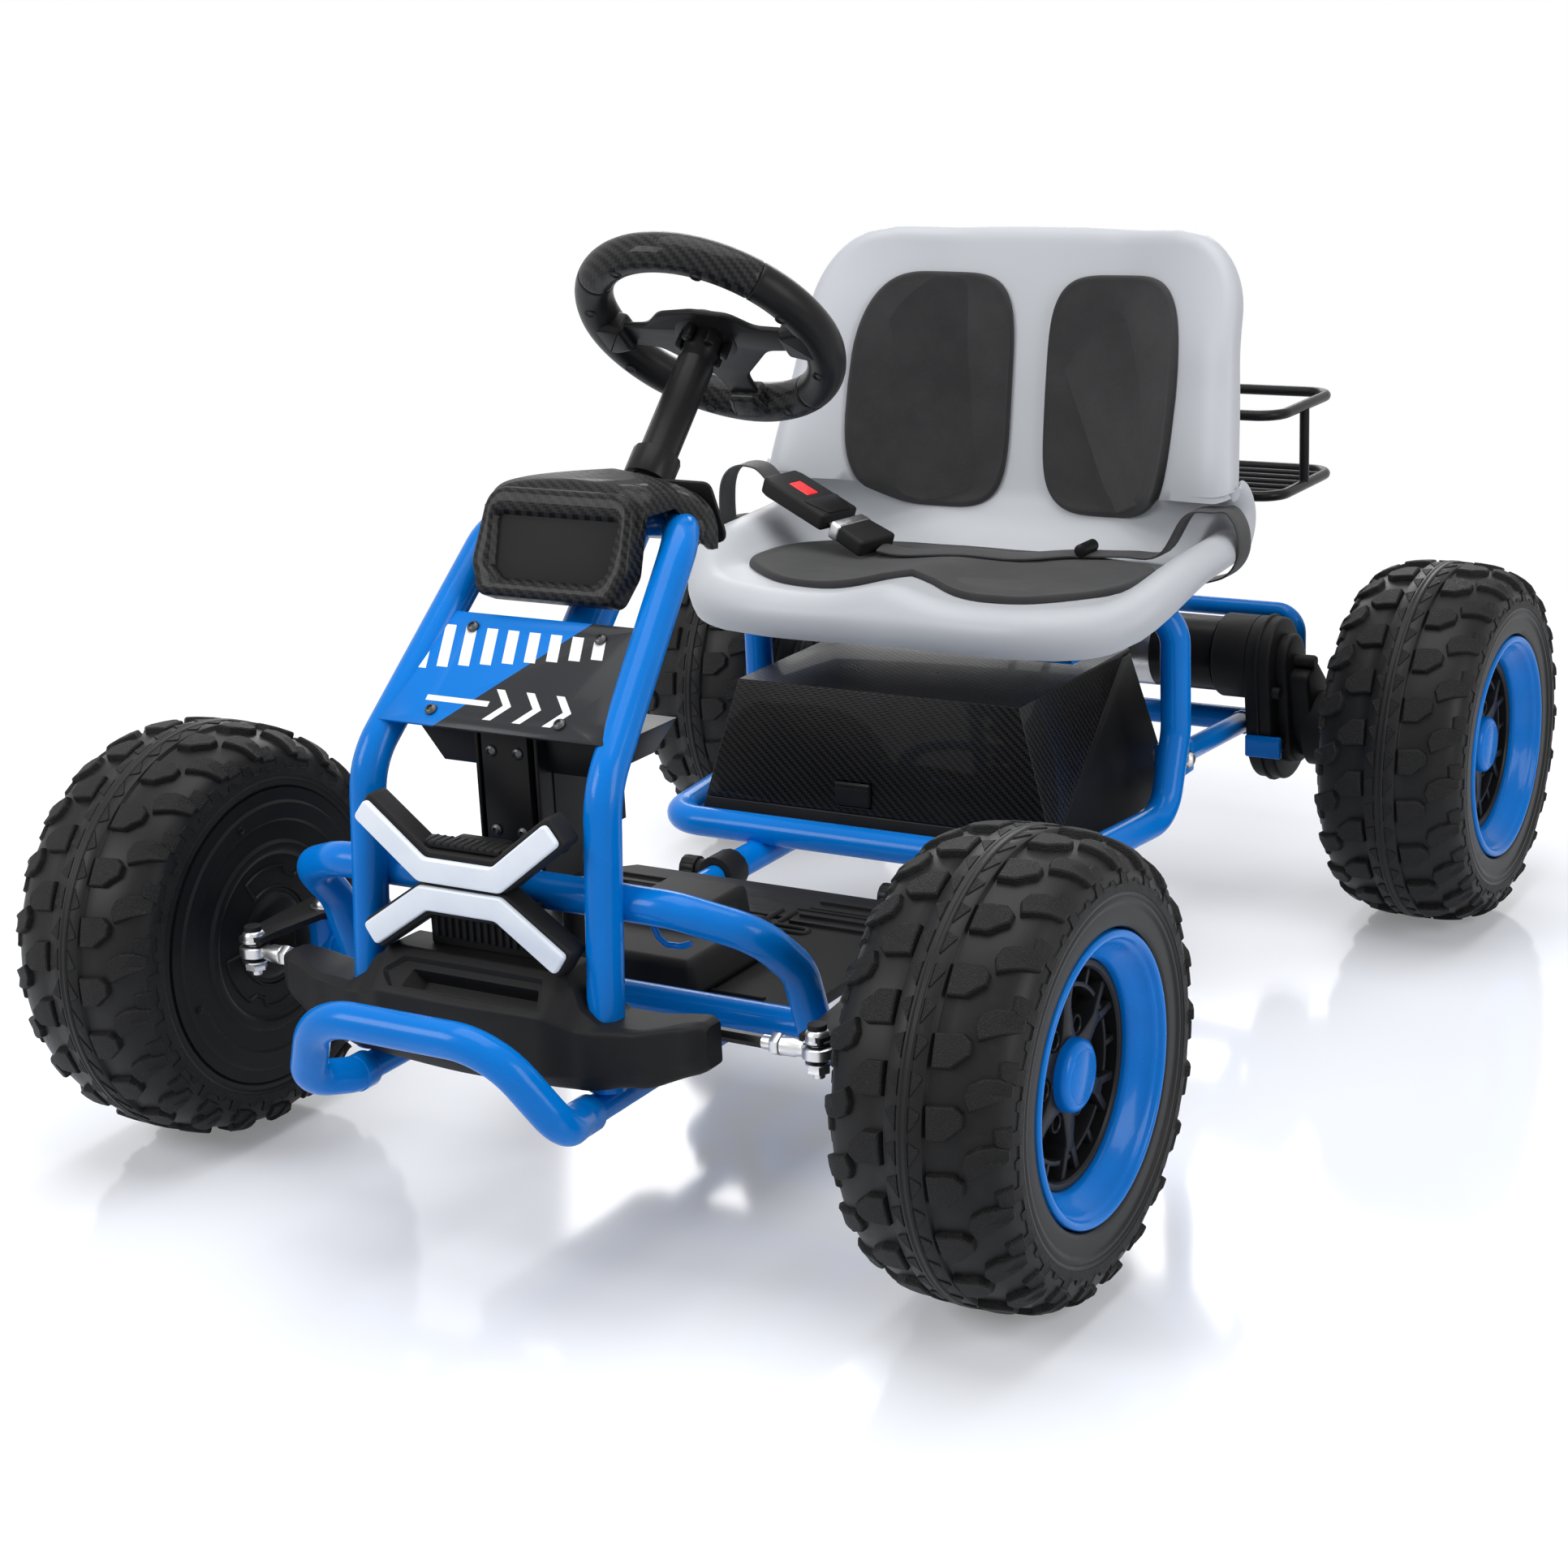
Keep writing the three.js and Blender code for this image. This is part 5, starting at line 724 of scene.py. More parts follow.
# %% Mast hoop and column tube
MAST = [(50, -336, 484), (78, -373, 483), (97, -514, 343), (98, -531, 141.6)]
mast = Shape()
mast.tube(filleted(mirrored(MAST), 60), TUBE, 32)
column_low = down_column(286)
mast.tube([column_low, down_column(160)], 17, 36)
mast.tube([down_column(289), down_column(286)], [12.6, 15.8], 36)
for side in (1, -1):
    weld_bead(mast, (side * 13, -336, 484), (1, 0, 0), TUBE - 0.4)
dress("mast_hoop_tube", mast, blue, "mast_hoop")
print("mast:", len(mast.points), "points")

# %% Arch, axle beam and rails
ARCH = [(140, -503, 264), (190, -478, 245), (197, -442, 210), (197, -424, 159.23)]
axle_frame = Shape()
axle_frame.tube(filleted(mirrored(ARCH), 45), TUBE, 32)
axle_frame.tube([(-230, FRONT_AXLE_Y, AXLE_Z), (230, FRONT_AXLE_Y, AXLE_Z)], TUBE, 28)
for side in (1, -1):
    sleeve = [(0, 12.2), (0.6, 13), (49.4, 13), (50, 12.2), (50, 6.4), (0, 6.4)]
    axle_frame.loop_turned(sleeve, (side * 230, FRONT_AXLE_Y, 134), (0, 0, 1), 32)
    capped_tube(axle_frame, [(side * RAIL_X, -560, RAIL_Z), (side * RAIL_X, 75, RAIL_Z)], RAIL)
    axle_frame.add(soft_block((20, 24, 32), (side * RAIL_X, FRONT_AXLE_Y, 144), 1.5))
    weld_bead(axle_frame, (side * 197, -424, 171), (0, 0.1, 1), TUBE - 0.2)
    weld_bead(axle_frame, (side * 218, FRONT_AXLE_Y, AXLE_Z), (1, 0, 0), TUBE - 0.3)
    weld_bead(axle_frame, (side * RAIL_X, -430, RAIL_Z), (0, 1, 0), RAIL - 0.4, 1.8)
    weld_bead(axle_frame, (side * (RAIL_X - RAIL), -205, RAIL_Z), (1, 0, 0), RAIL - 0.8, 1.8)
axle_frame.tube([(-RAIL_X, -205, RAIL_Z), (RAIL_X, -205, RAIL_Z)], RAIL - 0.3, 24)
axle_frame.turned([(0, 13), (24.8, 13), (25.3, 12.4)], (0, FRONT_AXLE_Y, AXLE_Z), (0, 0, 1), 32)
hook = [(116, -492, 246), (118, -490, 238), (124, -489, 233), (134, -488, 233), (142, -488, 236)]
axle_frame.tube(filleted(hook, 4, 4), 2.2, 12)
dress("front_axle_weldment", axle_frame, blue, "front_axle_frame")
print("axle frame:", len(axle_frame.points), "points")

# %% Bumper loop
BUMPER = [(72, -620, 199), (107, -594, 137), (94, -560, 130), (94, -546, 130)]
bumper = Shape()
bumper.tube(filleted(mirrored(BUMPER), 52, 14), TUBE, 32)
for side in (1, -1):
    collar = [(0, 10.4), (0, 12.2), (0.8, 13.1), (13, 13.1), (14, 12.6), (14, 10.4)]
    bumper.loop_turned(collar, (side * RAIL_X, -560, RAIL_Z), (0, 1, 0), 32)
dress("bumper_loop", bumper, blue, "bumper_hoop")
print("bumper:", len(bumper.points), "points")

# %% Rear cradle with its two sockets
CRADLE = [(184, -19, 150), (203, 142, 150), (203, 168, 218), (203, 168, 321), (146, 160, 321)]
cradle = Shape()
cradle.tube(filleted(mirrored(CRADLE), 34, 10), TUBE, 32)
for side in (1, -1):
    socket = [(0, 10.4), (0, 12), (0.6, 12.5), (177.4, 12.5), (178, 12), (178, 10.4)]
    cradle.loop_turned(socket, (side * RAIL_X, -66, RAIL_Z), (0, 1, 0), 32)
    weld_bead(cradle, (side * RAIL_X, -19, 141), (0, 0, 1), 9, 2.4)
    weld_bead(cradle, (side * 147, 160, 321), (1, 0, 0), TUBE - 0.3)
dress("cradle_weldment", cradle, blue, "cradle_tube")
print("cradle:", len(cradle.points), "points")

# %% Rear frame: stays, axle and the hoop over the motors
rear = Shape()
rear.tube(filleted(mirrored([(200, 452, 256), (200, 452, 216)]), 26, 10), 8, 24)
rear.tube([(-172, REAR_AXLE_Y, AXLE_Z), (172, REAR_AXLE_Y, AXLE_Z)], 11, 28)
rear.tube([(-361, REAR_AXLE_Y, AXLE_Z), (361, REAR_AXLE_Y, AXLE_Z)], 7.9, 24)
for side in (1, -1):
    capped_tube(rear, [(side * 190, 205, 186), (side * 164, REAR_AXLE_Y, AXLE_Z)], 9.5)
    rear.tube([(side * 40, REAR_AXLE_Y, AXLE_Z), (side * 40, 452, 256)], 8, 20)
    stem = [(side * 18, 452, 256), (side * 18, 512, 331.8), (side * 18, 620, 331.8)]
    capped_tube(rear, filleted(stem, 26, 8), 7.7, 20)
    weld_bead(rear, (side * 40, 427, 170), (0, 0.3, 1), 7.8, 1.9)
    weld_bead(rear, (side * 40, 450, 248), (0, 0.3, 1), 7.8, 1.8)
    weld_bead(rear, (side * 18, 458, 264), (0, 0.62, 0.78), 7.6, 1.8)
    weld_bead(rear, (side * 166, 402, 161.4), (-0.1, 1, -0.1), 9.2, 1.9)
dress("rear_frame_weldment", rear, blue, "rear_subframe")


def dome(height, radius, start=0.0, steps=7):
    """The profile of a round head above a start."""
    quarter = [pi / 2 * k / steps for k in range(1, steps + 1)]
    return [(start + height * sin(a), radius * cos(a)) for a in quarter]


def hexagon(radius):
    return [(radius * cos(pi * k / 3), radius * sin(pi * k / 3)) for k in range(6)]


def hex_nut(shape, place, radius, height):
    shape.plate(hexagon(radius), height, place, 0.7, 2)


def bolt(shape, at, way, head, length, domed):
    """A bolt head with a washer: way points out of the surface that it sits on."""
    place = facing(at, way)
    washer = [(0, head * 1.25), (0.9, head * 1.25), (1.2, head * 1.15)]
    shape.add(Shape().turned(washer, (0, 0, 0), (0, 0, 1), 24), place)
    if domed:
        shape.add(Shape().turned([(0, head)] + dome(length, head, steps=6), (0, 0, 1), (0, 0, 1), 24), place)
    else:
        hex_nut(shape, place @ move(0, 0, 1), head, length)


bolts = Shape()
for side, hand in HANDS:
    bracket = soft_block((25, 30, 28), (side * 190, 194, 186), 2.5)
    detail("stay_bracket_" + hand, bracket, blue, "rear_subframe")
    bolt(bolts, (side * 203, 194, 186), (side, 0, 0), 6.2, 5, True)
    bolt(bolts, (side * 177.5, 194, 186), (-side, 0, 0), 6.2, 5, False)
detail("stay_bolts", bolts, zinc, "rear_subframe", slot="zinc")
print("rear frame and its bolts done")

# %% [markdown]
# ## The wire basket
# The basket is two bent wire hoops with posts and floor rods, painted black. Round wire is cheap to sweep, so
# its bends are drawn with more steps than the solid has. The floor rods repeat, so a Geometry Nodes tree lays
# them.

# %% A tree that repeats a piece
def repeat_tree(name):
    """Copies of the object along a step and about the X axis, each turned by a further angle; one finish."""
    tree = bpy.data.node_groups.new(name, "GeometryNodeTree")
    for label, kind in (("Geometry", "Geometry"), ("Count", "Int"), ("Step", "Vector"), ("Turn", "Vector"),
                        ("Centre", "Vector"), ("Finish", "Material")):
        tree.interface.new_socket(label, in_out="INPUT", socket_type="NodeSocket" + kind)
    tree.interface.new_socket("Geometry", in_out="OUTPUT", socket_type="NodeSocketGeometry")

    def node(kind, sources, **settings):
        made = tree.nodes.new(kind)
        for setting, value in settings.items():
            setattr(made, setting, value)
        for socket, source in sources.items():
            tree.links.new(source, made.inputs[socket])
        return made.outputs[0] if len(made.outputs) else None

    given = tree.nodes.new("NodeGroupInput").outputs
    places = {"Count": given["Count"], "Start Location": given["Centre"], "Offset": given["Step"]}
    line = node("GeometryNodeMeshLine", places, mode="OFFSET")
    index = node("GeometryNodeInputIndex", {})
    angle = node("ShaderNodeVectorMath", {0: given["Turn"], "Scale": index}, operation="SCALE")
    turned = node("FunctionNodeEulerToRotation", {0: angle})
    laid = {"Points": line, "Instance": given["Geometry"], "Rotation": turned}
    real = node("GeometryNodeRealizeInstances", {0: node("GeometryNodeInstanceOnPoints", laid)})
    paint = node("GeometryNodeSetMaterial", {"Geometry": real, "Material": given["Finish"]})
    node("NodeGroupOutput", {0: paint})
    return tree


repeat = repeat_tree("repeat_along_and_round")
socket_named = {item.name: item.identifier for item in repeat.interface.items_tree if item.in_out == "INPUT"}


def repeated(shape, finish, count, step=(0, 0, 0), turn=(0, 0, 0), centre=(0, DRAWING_ZERO, 0), sharp=38.0,
             outward=True):
    """The shape, drawn about its own origin, repeated by the tree; a plain mesh comes back."""
    mesh = shape.mesh("pitch", sharp, outward)
    for vertex in mesh.vertices:
        vertex.co.y -= DRAWING_SHIFT / 1000
    given = {"Count": count, "Step": [v / 1000 for v in step], "Turn": turn, "Centre": list(spot(*centre)),
             "Finish": finish}
    settings = {"node_group": repeat, **{socket_named[label]: value for label, value in given.items()}}
    return smooth(worked(mesh, ("NODES", settings)), sharp)


print("inputs of the tree:", sorted(socket_named))

# %% Basket hoops, posts and floor rods
BASKET_HALF, BASKET_FRONT, BASKET_REAR, BASKET_LOW, BASKET_TOP = 150, 528, 672, 345, 421


def basket_hoop(z):
    right, left, front, back = BASKET_HALF, -BASKET_HALF, BASKET_FRONT, BASKET_REAR
    corners = [(0, front), (right, front), (right, back), (left, back), (left, front), (0, front)]
    return filleted([(x, y, z) for x, y in corners], 24, 8)[:-1]


basket = Shape()
for level in (BASKET_TOP, BASKET_LOW):
    basket.tube(basket_hoop(level), 5, 18, closed=True)
for x, y in ((150, 597), (-150, 597), (75, BASKET_FRONT), (-75, BASKET_FRONT)):
    basket.tube([(x, y, BASKET_LOW), (x, y, BASKET_TOP)], 4.6, 16)
dress("basket_hoops", basket, part_black, "basket")
rod = Shape().tube([(-149, 0, 0), (149, 0, 0)], 3, 12)
rods = repeated(rod, part_black, 5, step=(0, 24, 0), centre=(0, 552, 345))
detail("basket_floor_rods", rods, part_black, "basket")
print("basket done")

# %% [markdown]
# ## Wheels
# Each wheel has three parts: a hollow knobbly tyre, a deep blue rim ring and a black hub insert with six
# split spokes. They are drawn once about the X axis, with +X pointing away from the kart, and then placed
# four times. The right hand wheels are turned half round the Z axis, as on the kart, so no shape is turned
# inside out.

# %% Tyre carcass
CARCASS = [(54, 98.2), (60, 98.8), (61.6, 100), (62, 103), (62.4, 112), (62.2, 113.2), (62.8, 114.4),
           (63.6, 115), (63.9, 117), (63.2, 118.6), (63.0, 119.4), (64, 120.4), (64, 126), (63.2, 131),
           (61, 137), (57.5, 142), (52, 146), (44, 149.4), (34, 151.8), (24, 153), (14.6, 153.4), (13.9, 153.9),
           (13.3, 156.6), (12.8, 157.2), (4.1, 157.6), (3.7, 158.4), (2.7, 158.9), (1.3, 158.9), (0.8, 158.5),
           (0.2, 158.5)]


def tyre_profile():
    """The tyre's section: out over the right shoulder, down the left, and back through its hollow."""
    left = [(-x, r) for x, r in reversed(CARCASS)]
    hollow = [(-50, 104), (-30, 112), (30, 112), (50, 104)]
    return CARCASS + left + hollow


def between_marks(marks, at, eased=False):
    """The value at a place between marks of (place, value)."""
    for (a, low), (b, high) in zip(marks, marks[1:]):
        if at <= b:
            share = (at - a) / (b - a)
            return low + (high - low) * (smooth_step(share) if eased else share)
    return marks[-1][1]


def tread_radius(x):
    """The carcass radius under a point of the tread at a distance x from the middle."""
    return between_marks([(0, 154.6), (14, 153.4)] + CARCASS[19:11:-1], x)


carcass = Shape().loop_turned(tyre_profile(), (0, 0, 0), (1, 0, 0), 144)
print("carcass points:", len(carcass.points))

# %% [markdown]
# The tread is one pitch of blocks repeated 22 times round the tyre, which is what a Geometry Nodes tree is
# good at. A block is drawn flat, as an outline in millimetres along and across the tread, and then wrapped on
# the carcass. Across the shoulder the drawing follows the carcass's own arc, so a block keeps its size as it
# turns down the side. The walls are steep and the top's edge is crisp, as on moulded rubber.

# %% One pitch of tread
PITCHES = 22
TREAD_R = 157.0
ARC = [(0.0, 0.0, 154.6)]
for step in range(1, 660):
    run, x0, r0 = ARC[-1]
    x = min(step * 0.1, 64.0)
    r = tread_radius(x)
    ARC.append((run + hypot(x - x0, r - r0), x, r))


def polar(radius, angle):
    """A (y, z) point round the wheel's axis, with angle 0 straight up."""
    return radius * sin(angle), radius * cos(angle)


def on_arc(run):
    """The place on the carcass's section after a run from the middle, and the way out of it."""
    run = min(run, ARC[-1][0] - 0.2)
    low, high = 0, len(ARC) - 1
    while high - low > 1:
        half = (low + high) // 2
        low, high = (half, high) if ARC[half][0] < run else (low, half)
    a, b = ARC[max(low - 12, 0)], ARC[min(high + 12, len(ARC) - 1)]
    way = Vector((b[1] - a[1], b[2] - a[2])).normalized()
    return ARC[low][1], ARC[low][2], Vector((-way.y, way.x))


def wrapped(along, run, height):
    """A point of the flat drawing on the tyre: along it, at a run from the middle, and off the rubber."""
    x, r, out = on_arc(abs(run))
    x, r = x + out.x * height, min(r + out.y * height, 159.1)
    return Vector((copysign(min(x, 63.9), run), *polar(r, along / TREAD_R)))


print("arc of the tyre:", round(ARC[-1][0]), "mm from the middle to the side")

# %% A block, and the blocks of one pitch
def tread_block(shape, outline, height):
    """A rubber block: steep sides, a crisp edge and a top that follows the tyre."""
    dense = []
    for a, b in zip(outline, outline[1:] + outline[:1]):
        a, b = Vector(a), Vector(b)
        parts = 2 if (b - a).length > 9 else 1
        dense += [a.lerp(b, k / parts) for k in range(parts)]
    flat = [tuple(p) for p in dense]
    levels = [(-0.9, -0.6), (0.0, height - 0.9), (0.9, height)]
    rings = [[wrapped(x, y, rise) for x, y in outline_inset(flat, inset)] for inset, rise in levels]
    shape.rings(rings, caps=False)
    middle = sum(dense, Vector((0, 0))) / len(dense)
    top = len(shape.points) - len(dense)
    shape.points.append(wrapped(middle.x, middle.y, height))
    for i in range(len(dense)):
        shape.faces.append((top + i, top + (i + 1) % len(dense), top + len(dense)))


WEDGE = [(-10.5, 16.5), (10.5, 15.5), (12.5, 33), (8, 38.5), (0.5, 38.5), (-9.5, 28)]
CLAW = [(-12, 42), (-3, 38.5), (5, 41), (10, 49), (11, 58), (8, 66), (0, 66), (-2.5, 61), (-5, 55)]
TAB = [(11, 58), (21.5, 57), (23, 60), (23, 69), (8, 69), (8, 64)]


def tread_pitch():
    """On each side a wedge, a claw on the shoulder with its tab, and two teeth of the middle rib."""
    pitch = 2 * pi * TREAD_R / PITCHES
    shape = Shape()
    for side in (1, -1):
        shift = 0 if side > 0 else pitch * 0.5
        for outline, at, height in ((WEDGE, 0.0, 5.2), (CLAW, pitch * 0.5, 4.4), (TAB, pitch * 0.5, 2.4)):
            tread_block(shape, [(side * x + at + shift, side * y) for x, y in outline], height)
        for start in (shift, shift + pitch / 2):
            foot, tip = side * 4.4, side * 11.6
            tooth = [(start - 8.2, foot), (start + 8.2, foot), (start + 5.0, tip), (start + 3.4, side * 11.9)]
            middle = sum((Vector(t) for t in tooth), Vector((0, 0))) / 4
            rings = []
            for grow, lift in ((1.0, 157.0), (1.0, 158.0), (0.9, 158.5)):
                drawn = [middle + (Vector(t) - middle) * grow for t in tooth]
                rings.append([(q.y, *polar(lift, q.x / TREAD_R)) for q in drawn])
            shape.rings(rings)
    return shape


print("one pitch:", len(tread_pitch().faces), "faces")

# %% The sidewall's ledge, and both repeated
LEDGE = [(0.0, 128.5), (0.16, 128.5), (0.2, 136.5), (0.4, 137.5), (0.44, 130.5), (0.72, 129.5), (0.76, 132.0),
         (0.9, 132.0), (0.94, 128.5), (1.0, 128.5)]


def border_row(side, angle, edge):
    """A section of the sidewall's ledge, from its inner foot over its face and down its outer edge."""
    lip = edge - 0.7
    section = [(63.4, 121.6), (64.6, 122.4), (64.6, 127), (64.0 - (lip - 126) * 0.34 + 1.6, lip),
               (64.0 - (edge - 126) * 0.34 - 0.8, edge)]
    return [Vector((side * x, *polar(r, angle))) for x, r in section]


def border_pitch():
    """The grained rim of the sidewall: a low ledge whose outer edge steps in and out between the blocks."""
    pitch = 2 * pi / PITCHES
    shape = Shape()
    for side in (1, -1):
        shift = (0.5 if side > 0 else 0) * pitch
        rows = [border_row(side, shift + share * pitch, edge) for share, edge in LEDGE]
        for first, second in zip(rows, rows[1:]):
            b = len(shape.points)
            shape.points.extend(first + second)
            for i in range(b, b + 4):
                shape.faces.append((i, i + 1, i + 6, i + 5) if side < 0 else (i + 5, i + 6, i + 1, i))
    return shape


turn_step = (2 * pi / PITCHES, 0, 0)
blocks_mesh = repeated(tread_pitch(), grain_rubber, PITCHES, turn=turn_step, sharp=22)
border_mesh = repeated(border_pitch(), grain_rubber, PITCHES, turn=turn_step, outward=False)
print("tread faces:", len(blocks_mesh.polygons), "border faces:", len(border_mesh.polygons))

# %% [markdown]
# ## Rim and hub
# The rim is turned: a rounded outer lip, a fine step, and a long cone down to the hub. The hub insert is
# drawn as one sixth, a spoke that forks towards the rim with a lug boss beside it, and repeated by the same
# tree.

# %% Rim, hub and back disc
RIM = [(14, 97.2), (58.5, 97.2), (61.0, 97.4), (62.6, 96.6), (63.2, 95.0), (62.9, 93.2), (61.6, 91.9),
       (59.6, 91.2), (58.6, 90.2), (57.8, 88.8), (55.6, 88.0), (50, 82.6), (45.6, 78.0), (43.4, 76.4),
       (41, 76.1), (14, 76.1)]
rim_shape = Shape().loop_turned(RIM, (0, 0, 0), (1, 0, 0), 128)

HUB_BARREL = [(-64.6, 113), (-64.6, 104), (-66.4, 102), (-66.6, 90), (-64.9, 88), (-64.7, 74), (-66.9, 71.5),
              (-67.4, 67), (-66.2, 64), (-64.0, 62), (-64.0, 34), (-66.5, 31), (-68.2, 27), (-68.3, 9.2),
              (-60, 9.2), (-60, 60), (-60, 92), (8, 92), (8, 70), (38.6, 70), (40, 71.2), (40.6, 73.4),
              (40, 75.4), (13.6, 75.8), (13.6, 97.0), (-60, 97.0), (-60.4, 113)]
hub_shell = Shape().loop_turned(HUB_BARREL, (0, 0, 0), (1, 0, 0), 112)
hub_core = Shape()
hub_core.turned([(-60, 22), (24, 23), (33, 24.6), (36.4, 25.4), (37.2, 24.4)], (0, 0, 0), (1, 0, 0), 64)
hub_core.turned([(14.5, 70.4), (15, 70.4)], (0, 0, 0), (1, 0, 0), 96)


def ribbon_bar(shape, path, width, low, high, edge=1.4):
    """A raised bar along a flat path of (y, z) points; width is one number or one for each point."""
    widths = width if isinstance(width, list) else [width] * len(path)
    left, right = [], []
    for i, (p, w) in enumerate(zip(path, widths)):
        way = heading(path, i)
        side = Vector((-way.y, way.x)) * (w / 2)
        left.append(tuple(Vector(p) + side))
        right.append(tuple(Vector(p) - side))
    levels = [(0, low), (0, high - edge), (edge * 0.35, high - edge * 0.3), (edge, high)]
    outline = left + right[::-1]
    shape.rings([[(x, *q) for q in outline_inset(outline, inset)] for inset, x in levels])


def spoke_sixth():
    """One spoke with its fork, the ring between the forks, and a lug well beside its root."""
    shape = Shape()
    ribbon_bar(shape, [(0, 18), (0, 30), (0, 44), (0, 54)], [27, 17, 12, 12.5], 22, 37.2)
    for side in (1, -1):
        ribbon_bar(shape, [(side * 1.6, 48), (side * 6, 57), (side * 11.6, 71.4)], [8, 6.4, 6.2], 22, 37.0)
    middle = pi / 6
    for start, stop in ((-0.13, 0.13), (0.2, middle * 2 - 0.2)):
        ribbon_bar(shape, [polar(58.5, start + (stop - start) * k / 10) for k in range(11)], 3.6, 24, 35.6, 0.9)
    ribbon_bar(shape, [polar(58.5, middle), polar(71.2, middle)], 4.4, 24, 36, 0.9)
    ribbon_bar(shape, [polar(56.5, middle), polar(26, middle)], [3.2, 5], 16, 27, 0.9)
    well = [(0, 7.6), (9.5, 7.4), (11.2, 6.8), (11.6, 6.0), (10.8, 5.2), (3.0, 4.8), (3.0, 2.6), (5.0, 2.2),
            (5.0, 0)]
    return shape.turned(well, (24, *polar(32.5, middle)), (1, 0, 0), 22)


spokes_mesh = repeated(spoke_sixth(), satin_black, 6, turn=(pi / 3, 0, 0), sharp=30)
HUB_CAP = [(33, 21.5), (34, 24.4), (41, 24.6), (44.6, 23.6), (46.4, 21.0), (46.9, 18.6), (46.3, 18.0),
           (46.3, 17.4), (46.9, 16.8), (47, 0)]
cap_shape = Shape().turned(HUB_CAP, (0, 0, 0), (1, 0, 0), 72)


print("rim, hub and cap drawn")

# %% Back of the hub
def bean(radius, half_turn, half_width, notch):
    """The outline of a kidney-shaped recess with a notch in its outer side, about the X axis."""
    outer, inner = [], []
    for k in range(25):
        a = -half_turn + 2 * half_turn * k / 24
        dip = notch if abs(a) < 0.16 else 0
        outer.append(polar(radius + half_width - dip, a))
        inner.append(polar(radius - half_width, a))
    return outer + inner[::-1]


def back_details():
    """On the kart side of the hub disc: two kidney-shaped lips and a ring of small dimples."""
    shape = Shape()
    outline = bean(46, 1.02, 9.5, 6)
    lip = ((-64.2, 0), (-65.6, 0.9), (-65.6, 2.2), (-64.2, 3.0))
    for k in range(2):
        turn = Matrix.Rotation(pi * k + 0.5, 4, "X")
        rings = [[turn @ Vector((x, *q)) for q in outline_inset(outline, inset)] for x, inset in lip]
        shape.rings(rings, caps=False)
    dimple = [(0, 3.2), (1.3, 2.9), (1.5, 2.2), (0.7, 1.5), (0.7, 0)]
    for k in range(4):
        shape.turned(dimple, (-66.4, *polar(96, 2 * pi * k / 4 + 0.3)), (-1, 0, 0), 16)
    return shape


back_shape = back_details()
print("hub faces:", len(spokes_mesh.polygons))


# %% Place the four wheels
def centred(shape, sharp):
    mesh = shape.mesh("about_the_origin", sharp)
    mesh.transform(move(0, DRAWING_ZERO / 1000, 0))
    return mesh


WHEEL_PIECES = [
    (dress, "tyre_carcass_", centred(carcass, 50), smooth_rubber, "tyre_", None),
    (detail, "tyre_blocks_", blocks_mesh, grain_rubber, "tyre_", None),
    (detail, "tyre_border_", border_mesh, grain_rubber, "tyre_", None),
    (dress, "rim_ring_", centred(rim_shape, 50), rim_finish, "rim_", None),
    (dress, "hub_shell_", centred(hub_shell, 32), satin_black, "hub_", None),
    (detail, "hub_core_", centred(hub_core, 40), satin_black, "hub_", None),
    (detail, "hub_spokes_", spokes_mesh, satin_black, "hub_", None),
    (detail, "hub_cap_", centred(cap_shape, 45), rim_finish, "hub_", "blue_plastic"),
    (detail, "hub_back_", centred(back_shape, 40), satin_black, "hub_", None),
]
for end, y in (("front", FRONT_AXLE_Y), ("rear", REAR_AXLE_Y)):
    for side, hand in HANDS:
        turn = Matrix.Identity(4) if side > 0 else Matrix.Rotation(pi, 4, "Z")
        where = Matrix.Translation(spot(side * HALF_TRACK, y, AXLE_Z)) @ turn
        for fit, piece, mesh, finish, node, slot in WHEEL_PIECES:
            placed = mesh.copy()
            placed.transform(where)
            fit(piece + end + "_" + hand, placed, finish, node + end + "_" + hand, slot=slot)
print("four wheels placed")

# %% [markdown]
# ## The moulded seat
# The seat is one hollow moulding: a pan, a tight bend and a leaning back, with sides that rise into low walls
# and a rim that rolls over and outward. It could be modelled by pushing a subdivided grid, but a grid that
# follows a rule is easier to change: one function gives the middle line, one the half width and one the
# height of the sides. The rim then rolls on from the border of that grid, and Solidify gives the wall its
# thickness.

# %% The seat as a surface with a rule
PAN_Y, PAN_Z, SLOPE = 52, 345, radians(1.5)
BEND_R = 56
BACK_Y, BACK_Z, TOP_Z, LEAN = 298, 366, 603, radians(9.9)
FULL_HALF, BACK_HALF = 215, 193
FRONT_HALF, FRONT_CORNER = 118, 96
TOP_HALF, TOP_CORNER = 134, 60
ROLL, SEAT_WALL = radians(125), 4.5


def seat_lengths():
    back = (cos(LEAN), -sin(LEAN))
    pan = (sin(SLOPE), cos(SLOPE))
    back_at = back[0] * BACK_Y + back[1] * BACK_Z - BEND_R
    pan_at = pan[0] * PAN_Y + pan[1] * PAN_Z + BEND_R
    det = back[0] * pan[1] - back[1] * pan[0]
    centre = Vector(((back_at * pan[1] - back[1] * pan_at) / det, (back[0] * pan_at - pan[0] * back_at) / det))
    pan_length = (centre.x - BEND_R * sin(SLOPE) - PAN_Y) / cos(SLOPE)
    bend_length = BEND_R * (pi / 2 - LEAN + SLOPE)
    start = Vector((centre.x + BEND_R * cos(LEAN), centre.y - BEND_R * sin(LEAN)))
    back_length = (TOP_Z - start.y) / cos(LEAN)
    return centre, start, pan_length, bend_length, back_length


BEND_CENTRE, BACK_START, PAN, BEND, BACK = seat_lengths()
SEAT_RUN = PAN + BEND + BACK


